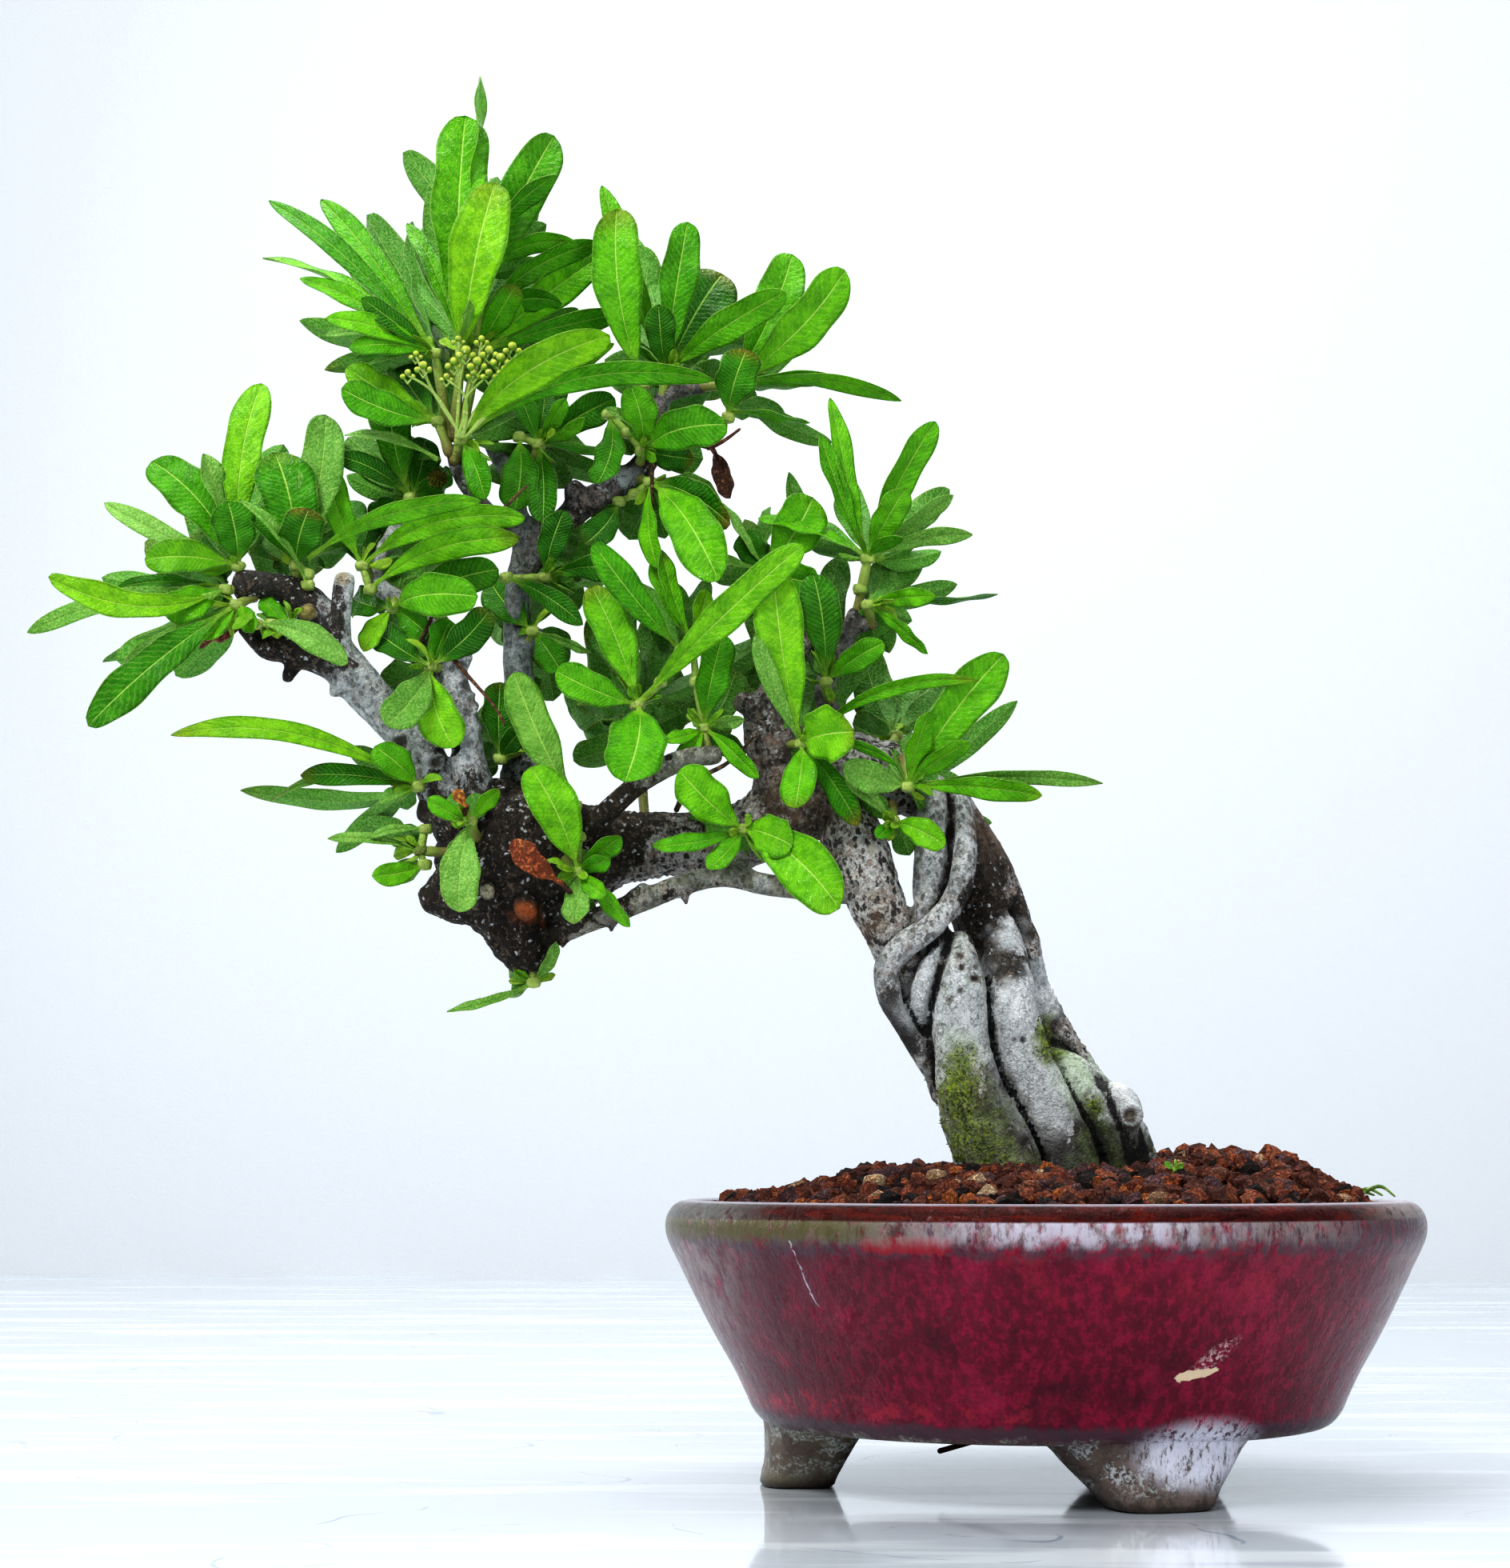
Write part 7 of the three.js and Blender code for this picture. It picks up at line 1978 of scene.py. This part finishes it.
@dataclass
class Foliage:
    """All the shoots: leaves, green stems and the scales at their nodes."""

    drawing: Drawing
    seed: int = 100
    # leaves on the far side: their greatest turn, and their length and depth as parts of the drawn
    far_turn: float = 0.7
    far_length: float = 0.66
    far_depth: float = 0.7
    opening: int = 5

    def tones(self, letters: str, rng: np.random.Generator) -> np.ndarray:
        """Linear colours of a shoot's leaves, each between the ends of its tone's range.

        Args:
            letters: a letter of Tone for each leaf.
            rng: random draws.

        Returns:
            Linear RGBA of each leaf.
        """
        share = rng.random(len(letters))
        ends = [Tone[letter].value for letter in letters]
        return np.array([mixed_colour(low, high, part) for (low, high), part in zip(ends, share)])

    def leaves(self, shoot: Shoot, rng: np.random.Generator) -> Patch:
        """Make the drawn leaves of one shoot.

        Args:
            shoot: the shoot.
            rng: random draws.

        Returns:
            The closed leaves.
        """
        base = self.drawing.place([row[7:10] if len(row) > 7 else shoot.node for row in shoot.leaves])
        tip = self.drawing.place([row[:3] for row in shoot.leaves])
        rows = np.array([row[3:7] for row in shoot.leaves]) / (1.0, 1.0, 100.0, 100.0)
        under = np.array([float(letter == "P") for letter in shoot.tones])
        return Blades(self.drawing).grown(base, tip, rows, self.tones(shoot.tones, rng), under, rng)

    def far_leaves(self, shoot: Shoot, rng: np.random.Generator) -> Patch:
        """Leaves on the far side of a shoot, which the drawing does not show.

        Formula: each drawn leaf is turned by up to 40 degrees on the drawing, drawn 0.66 as long,
        and given a depth of 0.7 times its length.

        Args:
            shoot: the shoot.
            rng: random draws.

        Returns:
            The closed leaves.
        """
        start = np.array([row[7:10] if len(row) > 7 else shoot.node for row in shoot.leaves], float)
        rows = np.array([row[:7] for row in shoot.leaves], float)
        reach = rows[:, :2] - start[:, :2]
        count = len(rows)
        turn = rng.uniform(-self.far_turn, self.far_turn, count)
        ends = start.copy()
        ends[:, 0] += self.far_length * (np.cos(turn) * reach[:, 0] - np.sin(turn) * reach[:, 1])
        ends[:, 1] += self.far_length * (np.sin(turn) * reach[:, 0] + np.cos(turn) * reach[:, 1])
        ends[:, 2] += self.far_depth * np.hypot(reach[:, 0], reach[:, 1])
        sizes = np.column_stack([np.clip(rows[:, 3], 6.0, 11.0), 180.0 + 30.0 * rng.normal(size=count),
                                 0.05 * rng.normal(size=count), -0.05 * np.ones(count)])
        # the far leaves all take the deeper green D, partly painted shade for leaves behind the crown
        tints = self.tones("D" * count, rng)
        base, tip = self.drawing.place(start), self.drawing.place(ends)
        return Blades(self.drawing).grown(base, tip, sizes, tints, np.zeros(count), rng)

    def young_leaves(self, shoot: Shoot, rng: np.random.Generator) -> Patch:
        """Small folded leaves just opening at the node, which lean between the grown ones.

        Args:
            shoot: the shoot.
            rng: random draws.

        Returns:
            The closed leaves.
        """
        node = self.drawing.place([shoot.node])
        tips = self.drawing.place([row[:3] for row in shoot.leaves])
        mean = unit((tips - node).mean(0, keepdims=True))
        count = self.opening
        lean = unit(mean + 0.8 * rng.normal(size=(count, 3)))
        length = (4.0 + 6.0 * rng.random(count)) * MM
        base = node + 0.4 * MM * lean
        rows = np.column_stack([1.6 + 1.8 * rng.random(count), 60.0 * rng.normal(size=count),
                                0.06 * rng.normal(size=count), 0.05 * rng.normal(size=count)])
        tints = mixed_colour("#6fb01e", "#b4d94e", rng.random(count))
        blades = Blades(self.drawing, rows=12, lines=(-1.0, -0.5, 0.0, 0.5, 1.0), thick=0.3)
        return blades.grown(base, base + lean * length[:, None], rows, tints, np.zeros(count), rng, 0.6)

    def stem(self, shoot: Shoot, rng: np.random.Generator) -> List[Patch]:
        """Green stem from root to node and on, with a ring of scales where leaves start.

        Args:
            shoot: the shoot.
            rng: random draws.

        Returns:
            Closed rods with the value tint, brown at the root and green at the node.
        """
        patches = []
        routes = [[shoot.root, shoot.node]] + ([[shoot.node, *shoot.stem]] if shoot.stem else [])
        for number, route in enumerate(routes):
            line = curve(self.drawing.place(route), 6 * len(route) + 1)
            share = np.linspace(0.0, 1.0, len(line))
            thick = (1.45 - 0.35 * share if number == 0 else 1.1 - 0.25 * share) * MM
            thick = thick * (1.0 + 0.1 * np.sin(9.0 * share + rng.random() * 6.0))
            rod = tube(line, thick, 10)
            far = ((rod.points - line[0]) @ unit(line[-1] - line[0])) / np.linalg.norm(line[-1] - line[0])
            share = far if number == 0 else np.ones(len(rod.points))
            rod.values["tint"] = mixed_colour("#7d7440", "#9dbb55", share)
            patches.append(rod)
        places = self.drawing.place([shoot.node, *shoot.stem])
        sizes = np.tile(np.array([[1.75, 1.75, 1.35]]) * MM, (len(places), 1))
        knobs = pebbles(places, sizes, np.tile(UPRIGHT, (len(places), 1)), 6, 0.16, 5)
        tint = mixed_colour("#7e9a3c", "#b7cc6c", 0.5 + 0.5 * lumps(knobs.points, 1.5, 3))
        patches.append(Patch(knobs.points, knobs.faces, {"tint": tint}))
        return patches

    def build(self) -> None:
        """Make the leaves of each shoot, and all the green stems."""
        waxy = LeafFinish().build()
        stems: List[Patch] = []
        for number, (name, shoot) in enumerate(SHOOTS.items()):
            rng = np.random.default_rng(self.seed + number)
            grown = [self.leaves(shoot, rng), self.young_leaves(shoot, rng)]
            leaves = merged([*grown, self.far_leaves(shoot, rng)])
            add_piece(f"leaves_{name}", leaves, waxy, [f"shoot_{name}"])
            stems.extend(self.stem(shoot, rng))
        add_piece("green_stems", merged(stems), StemFinish().build())


@dataclass
class SmallGrowth:
    """Flower buds, dried leaves, dead twigs, grass and a seedling."""

    drawing: Drawing
    bud_foot: Row = (-148, 268, -14)
    # flower buds (x, z, depth, radius), three to a branch of the cluster
    buds: Tuple[Row, ...] = (
        (-150, 288, -17, 1.5), (-147, 291, -18, 1.6), (-149, 294, -17, 1.1), (-144, 288, -19, 1.6),
        (-141, 291, -18, 1.5), (-143, 294, -18, 1.2), (-138, 289, -19, 1.6), (-135, 292, -18, 1.5),
        (-133, 289, -19, 1.2), (-158, 287, -17, 1.4), (-162, 285, -17, 1.2), (-160, 290, -15, 1.1),
        (-152, 284, -18, 1.1), (-145, 285, -19, 1.2), (-141, 285, -20, 1.3), (-137, 286, -19, 1.2),
        (-128, 287, -20, 1.2), (-125, 284, -21, 1.1),
    )
    dry_leaves: Tuple[Tuple[str, Row, Row, Row, float, str, str], ...] = (
        ("hanging", (-94, 268, -8), (-83, 265, -8), (-79, 252, -10), 5.5, "#5a3426", "#8a6048"),
        ("orange", (-146, 170, -25), (-145.5, 171.5, -26), (-148.5, 176, -27), 3, "#b8702c", "#e0a050"),
        ("brown", (-119, 150, -19), (-121, 152, -20), (-134, 163, -24), 6.5, "#a04a24", "#d08050"),
    )
    # twigs: dark and light colour, then stations (x, z, depth, radius)
    twigs: Tuple[Tuple[str, str, Tuple[Row, ...]], ...] = (
        ("#8a4038", "#c47a68", ((-205, 218, -10, 0.9), (-209, 215, -12, 0.8), (-211, 215.5, -13, 0.8),
                                (-214, 213, -13, 0.5))),
        ("#7a4434", "#a86a50", ((-84, 265, -8, 0.6), (-80, 267, -9, 0.5), (-76, 270, -9, 0.35))),
        ("#8a7050", "#b89a70", ((-137, 249, -8, 0.5), (-134, 252, -9, 0.45), (-131, 255, -9, 0.4))),
        ("#5a4630", "#8a7250", ((-98.5, 262, -4, 0.6), (-98.6, 254, -5, 0.5), (-98.3, 247, -5, 0.45))),
        ("#6a4a34", "#9a7050", ((-152, 213, -11, 0.7), (-146, 206, -14, 0.5), (-139, 198, -16, 0.4),
                                (-136, 193, -16, 0.35))),
        ("#5a4030", "#8a6850", ((-158, 214, -10, 0.6), (-155, 221, -12, 0.5), (-154, 229, -12, 0.4))),
        ("#4a3a2c", "#7a6048", ((-92, 171, -8, 0.8), (-88, 178, -12, 0.7), (-79, 183, -13, 0.5),
                                (-72, 190, -14, 0.4))),
    )
    grass: Tuple[Tuple[Row, ...], ...] = (
        ((77, 72.4, -8, 0.5), (81.5, 75.2, -9, 0.45), (85.5, 73.6, -10, 0.25)),
        ((78, 72.4, -8, 0.5), (84.5, 75.8, -10, 0.45), (88.6, 73.4, -11, 0.25)),
        ((78.5, 72.4, -8, 0.5), (81, 74.2, -5, 0.45), (83.5, 73.6, -2, 0.25)),
    )

    def rod(
        self, stations: Sequence[Row], tones: Tuple[str, str], steps: int = 17, flat: float = 1.0
    ) -> Patch:
        """Rod through drawn stations (x, z, depth, radius), coloured by a fine field.

        Args:
            stations: stations on the drawing.
            tones: dark and light colour.
            steps: points along it.
            flat: thickness as a share of the width.

        Returns:
            The closed rod with the value tint.
        """
        rows = np.array(stations, float)
        line = curve(np.column_stack([self.drawing.place(rows[:, :3]), rows[:, 3] * MM]), steps)
        thick = line[:, 3] * (1.0 + 0.16 * lumps(line[:, :3], 2.0, 2))
        rod = tube(line[:, :3], thick, 9, 1.0, flat)
        rod.values["tint"] = mixed_colour(*tones, 0.5 + 0.5 * lumps(rod.points, 1.6, 12, 2))
        return rod

    def bud(self, x: float, z: float, depth: float, radius: float, turn: float) -> Patch:
        """Closed flower bud.

        Formula: a ball whose radius swells and shrinks five times round it, more at its mouth, so
        that the petals show; its lower part is the green cup.

        Args:
            x: place across.
            z: place up.
            depth: depth behind the drawing's plane.
            radius: radius in millimetres.
            turn: angle of the first petal.

        Returns:
            The closed bud with the value tint.
        """
        rows, sides = 15, 25
        high = np.linspace(0.04, np.pi - 0.06, rows)[:, None]
        angle = even_angles(sides)[None]
        petal = 1.0 + 0.14 * np.cos(5.0 * angle + turn) * np.sin(high / 2.0) ** 2
        wide = np.sin(high) ** 0.85 * petal
        tall = -1.05 * np.cos(high) * np.ones_like(angle)
        ball = np.stack([wide * np.cos(angle), wide * np.sin(angle), tall], axis=2)
        points = ball.reshape(-1, 3) * 0.7 * radius * MM + self.drawing.place([(x, z, depth)])
        share = np.repeat(ease(high[:, 0], 0.9, 1.9), sides)
        tint = mixed_colour("#7ca626", "#c6d052", share)
        return Patch(points, closed_rings(rows, sides), {"tint": tint}).outward()

    def bud_cluster(self) -> Patch:
        """Flower buds on thin stalks, three to a branch, that spread from one foot.

        Each has a smaller bud at either side of it, on a short fork of its stalk.

        Returns:
            The closed buds and stalks, with the value tint.
        """
        patches = []
        green = ("#84a83c", "#b4cc74")
        foot = np.array(self.bud_foot, float)
        knees = np.array(self.buds)[:, :3].reshape(-1, 3, 3).mean(1) * 0.6 + foot * 0.4
        for number, (x, z, depth, radius) in enumerate(self.buds):
            start = foot + np.array([0.5 * (number // 3 - 2.5), 0.0, 0.0])
            route = [(*start, 0.5), (*knees[number // 3], 0.4), (x, z - radius * 0.6, depth, 0.3)]
            patches.append(self.rod(route, green, 13))
            patches.append(self.bud(x, z, depth, radius, float(number)))
            fork = (x, z - radius * 2.4, depth, 0.25)
            for side in (-1.0, 1.0):
                mouth = (x + side * radius * 1.1, z - radius * 0.9, depth + side * 0.6)
                patches.append(self.rod([fork, (*mouth, 0.2)], green, 5))
                patches.append(self.bud(*mouth, radius * 0.8, number + side))
        return merged(patches)

    def dry_leaf(self, stalk: Row, base: Row, tip: Row, width: float, tones: Tuple[str, str]) -> Patch:
        """Dried, folded leaf on its stalk.

        Args:
            stalk: start of the stalk on the drawing.
            base: base of the leaf.
            tip: tip of the leaf.
            width: width in millimetres.
            tones: dark and light colour.

        Returns:
            The closed leaf and stalk with the value tint.
        """
        rng = np.random.default_rng(int(width * 10))
        blades = Blades(self.drawing, rows=30, thick=0.4)
        leaf = blades.grown(self.drawing.place([base]), self.drawing.place([tip]),
                            np.array([[width, 20.0, 0.05, 0.08]]), np.array([linear(tones[0])]),
                            np.zeros(1), rng, 0.75)
        crumple = 0.25 * MM * lumps(leaf.points, 1.8, 6, 2)
        leaf.points = leaf.points + unit(leaf.points - leaf.points.mean(0)) * crumple[:, None]
        tint = mixed_colour(*tones, 0.5 + 0.5 * lumps(leaf.points, 2.2, 14, 3))
        twig = self.rod([(*stalk, 0.7), (*base, 0.6)], ("#4a3226", "#7a543e"), 9)
        return merged([Patch(leaf.points, leaf.faces, {"tint": tint}), twig])

    def seedling(self) -> Patch:
        """Seedling with two seed leaves on a short stem.

        Returns:
            The closed seedling, with the value tint.
        """
        foot, crown = (33, 76.4, -45, 0.6), (33.4, 80, -45.5, 0.5)
        stem = self.rod([foot, crown], ("#7f9c3a", "#a8c060"))
        base = np.repeat(self.drawing.place([crown[:3]]), 3, axis=0)
        tips = self.drawing.place([(31, 81.8, -46.5), (35.8, 81.6, -46.5), (33.8, 82.6, -46)])
        rows = np.array([[1.6, 20.0, 0.0, 0.1], [1.6, 20.0, 0.0, 0.1], [0.9, 60.0, 0.0, 0.1]])
        tints = mixed_colour("#5f9f24", "#8fc84a", np.array([0.3, 0.8, 1.0]))
        leaves = Blades(self.drawing, rows=16).grown(base, tips, rows, tints, np.zeros(3),
                                                     np.random.default_rng(3))
        return merged([stem, Patch(leaves.points, leaves.faces, {"tint": leaves.values["tint"]})])

    def build(self) -> None:
        """Make each small growth."""
        tender = StemFinish("tender_green_growth", "#eef0b0").build()
        add_piece("bud_cluster", self.bud_cluster(), tender, ["flower_buds"])
        dead = GritFinish("dried_leaf_and_twig", 1.0, "#c08a5c", 0.7).build()
        for kind, stalk, base, tip, width, *tones in self.dry_leaves:
            leaf = self.dry_leaf(stalk, base, tip, width, tuple(tones))
            add_piece(f"withered_leaf_{kind}", leaf, dead, [f"dry_leaf_{kind}"])
        add_piece("dead_twigs", merged([self.rod(rows, (low, high)) for low, high, rows in self.twigs]),
                  dead)
        blades = [self.rod(rows, ("#4c7a28", "#86a84a"), 25, 0.3) for rows in self.grass]
        add_piece("grass_tuft", merged(blades), tender, ["grass_blades"])
        add_piece("sprout", self.seedling(), tender, ["seedling"])


# ---------------------------------------------------------------- camera, lights and stage


@dataclass
class Studio:
    """Pale table and wall, soft lights, and the camera at the drawing's eye."""

    drawing: Drawing
    # the camera's upward turn in degrees, and its focal length on a frame 36 mm high
    pitch: float = 6.9
    lens: float = 71.63
    table: str = "#ccd3da"
    wall: str = "#dcdfe2"
    # lights: name, place and aim in metres (x from the pot's axis), side, watts and colour
    lamps: Tuple[Tuple[str, Row, Row, float, float, str], ...] = (
        ("key", (-0.7, -0.9, 1.2), (-0.1, 0.0, 0.15), 0.6, 13.0, "#ffffff"),
        ("fill", (1.2, -1.1, 0.7), (0.0, 0.0, 0.15), 1.0, 5.0, "#f4f8ff"),
        ("top", (-0.1, 0.25, 1.4), (-0.1, 0.0, 0.0), 0.9, 8.0, "#ffffff"),
        ("wall_wash", (-0.1, 0.5, 1.6), (-0.2, 1.3, 0.2), 1.4, 6.5, "#ffffff"),
        ("window", (-1.15, 0.75, 0.5), (-0.05, 0.0, 0.12), 0.6, 3.2, "#ffffff"),
    )

    def camera(self) -> None:
        """Camera at the eye, looking along +Y and a little up."""
        data = bpy.data.cameras.new("camera")
        data.sensor_fit = "VERTICAL"
        data.sensor_height = 36.0
        data.lens = self.lens
        data.clip_start = 0.05
        data.clip_end = 20.0
        camera = add_object("camera", data)
        camera.location = self.drawing.eye_point.tolist()
        camera.rotation_euler = (np.radians(90.0 + self.pitch), 0.0, 0.0)
        bpy.context.scene.camera = camera

    def light(self, name: str, place: Row, aim: Row, size: float, power: float, hex_colour: str) -> None:
        """Square soft light.

        Args:
            name: name of the light.
            place: its place, in metres from the pot's axis in x.
            aim: point it faces, in metres from the pot's axis in x.
            size: side, in metres.
            power: watts.
            hex_colour: colour.
        """
        data = bpy.data.lights.new(name, "AREA")
        data.shape = "SQUARE"
        data.size = size
        data.energy = power
        data.color = linear(hex_colour)[:3]
        lamp = add_object(name, data)
        shift = np.array([self.drawing.axis[0], 0.0, 0.0])
        toward = unit((np.array(aim) + shift) - (np.array(place) + shift))
        lamp.location = (np.array(place) + shift).tolist()
        lamp.rotation_euler = (float(np.arccos(-toward[2])), 0.0, float(np.arctan2(-toward[0], toward[1])))

    def stage(self) -> None:
        """Table whose far edge is darkened by a soft band of painted shadow, and a wall behind it."""
        lacquer = Coat("white_lacquered_table", linear(self.table))
        back = lacquer.add("SeparateXYZ", (lacquer.place,), 1)
        # long bright bands where sunlight falls across the table
        haze = lacquer.patches(60.0, 0.48, 0.62, 3.0, place=lacquer.add(
            "Mapping", (lacquer.place, None, None, (0.3, 1.6, 1.0))))
        lacquer.layer("#e6ecf1", haze, 0.75)
        # painted shadow: a soft blue-grey band darkens the table towards its far edge
        lacquer.layer("#b4c6d5", (back, 1000.0, 1380.0), 0.3)
        # hairline scratches: where a slow noise passes through its middle value
        slow = lacquer.add("TexNoise", (lacquer.place, None, 9.0, 2.0))
        slow = lacquer.add("Math", (lacquer.add("Math", (slow, 0.5), **MINUS),), **SIZE)
        hair = lacquer.both(lacquer.add("MapRange", (slow, 0.003, 0.0008), **STEP),
                            lacquer.patches(30.0, 0.48, 0.6))
        lacquer.layer("#7d92a5", hair, 0.6)
        rough = lacquer.add("Math", (haze, 0.08, 0.05), **SCALE_ADD)
        table = lacquer.finish(rough, haze, 0.02, 0.3, IOR=1.6)
        paint = Coat("matt_wall_paint", linear(self.wall))
        wall = paint.finish(0.9, paint.patches(2.0, 0.4, 0.6), 0.05)
        wide, left, right, high = 3.0, 1.7, 1.05, 3.0
        flat = np.array([(-wide, -2.5, 0), (wide, -2.5, 0), (wide, right, 0), (-wide, left, 0)], float)
        up = np.array([(-wide, left, 0), (wide, right, 0), (wide, right, high), (-wide, left, high)], float)
        for name, corners, material in (("table", flat, table), ("wall", up, wall)):
            mesh = to_mesh(name, Patch(corners, [np.array([[0, 1, 2, 3]])]))
            mesh.materials.append(material)
            add_object(name, mesh)

    def build(self) -> None:
        """Set the camera, the stage, the world and the lights."""
        self.camera()
        self.stage()
        scene = bpy.context.scene
        scene.view_settings.view_transform = "Standard"
        scene.view_settings.look = "High Contrast"
        scene.world = scene.world or bpy.data.worlds.new("world")
        scene.world.use_nodes = True
        sky = scene.world.node_tree.nodes["Background"]
        sky.inputs[0].default_value = linear("#f1f5fa")
        sky.inputs[1].default_value = 0.36
        for lamp in self.lamps:
            self.light(*lamp)


def main() -> None:
    """Build the pot, the soil, the wood, the foliage and the small growth, then the studio."""
    logging.basicConfig(level=logging.INFO, format="%(name)s: %(message)s")
    low, high = np.array(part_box("pot"))
    axis = (low + high) / 2.0
    drawing = Drawing(axis=(float(axis[0]), float(axis[1])))
    for part in (Pot, DrainParts, Soil, Wood, Foliage, SmallGrowth, Studio):
        LOG.info("building %s", part.__name__)
        part(drawing).build()


if __name__ == "__main__":
    main()
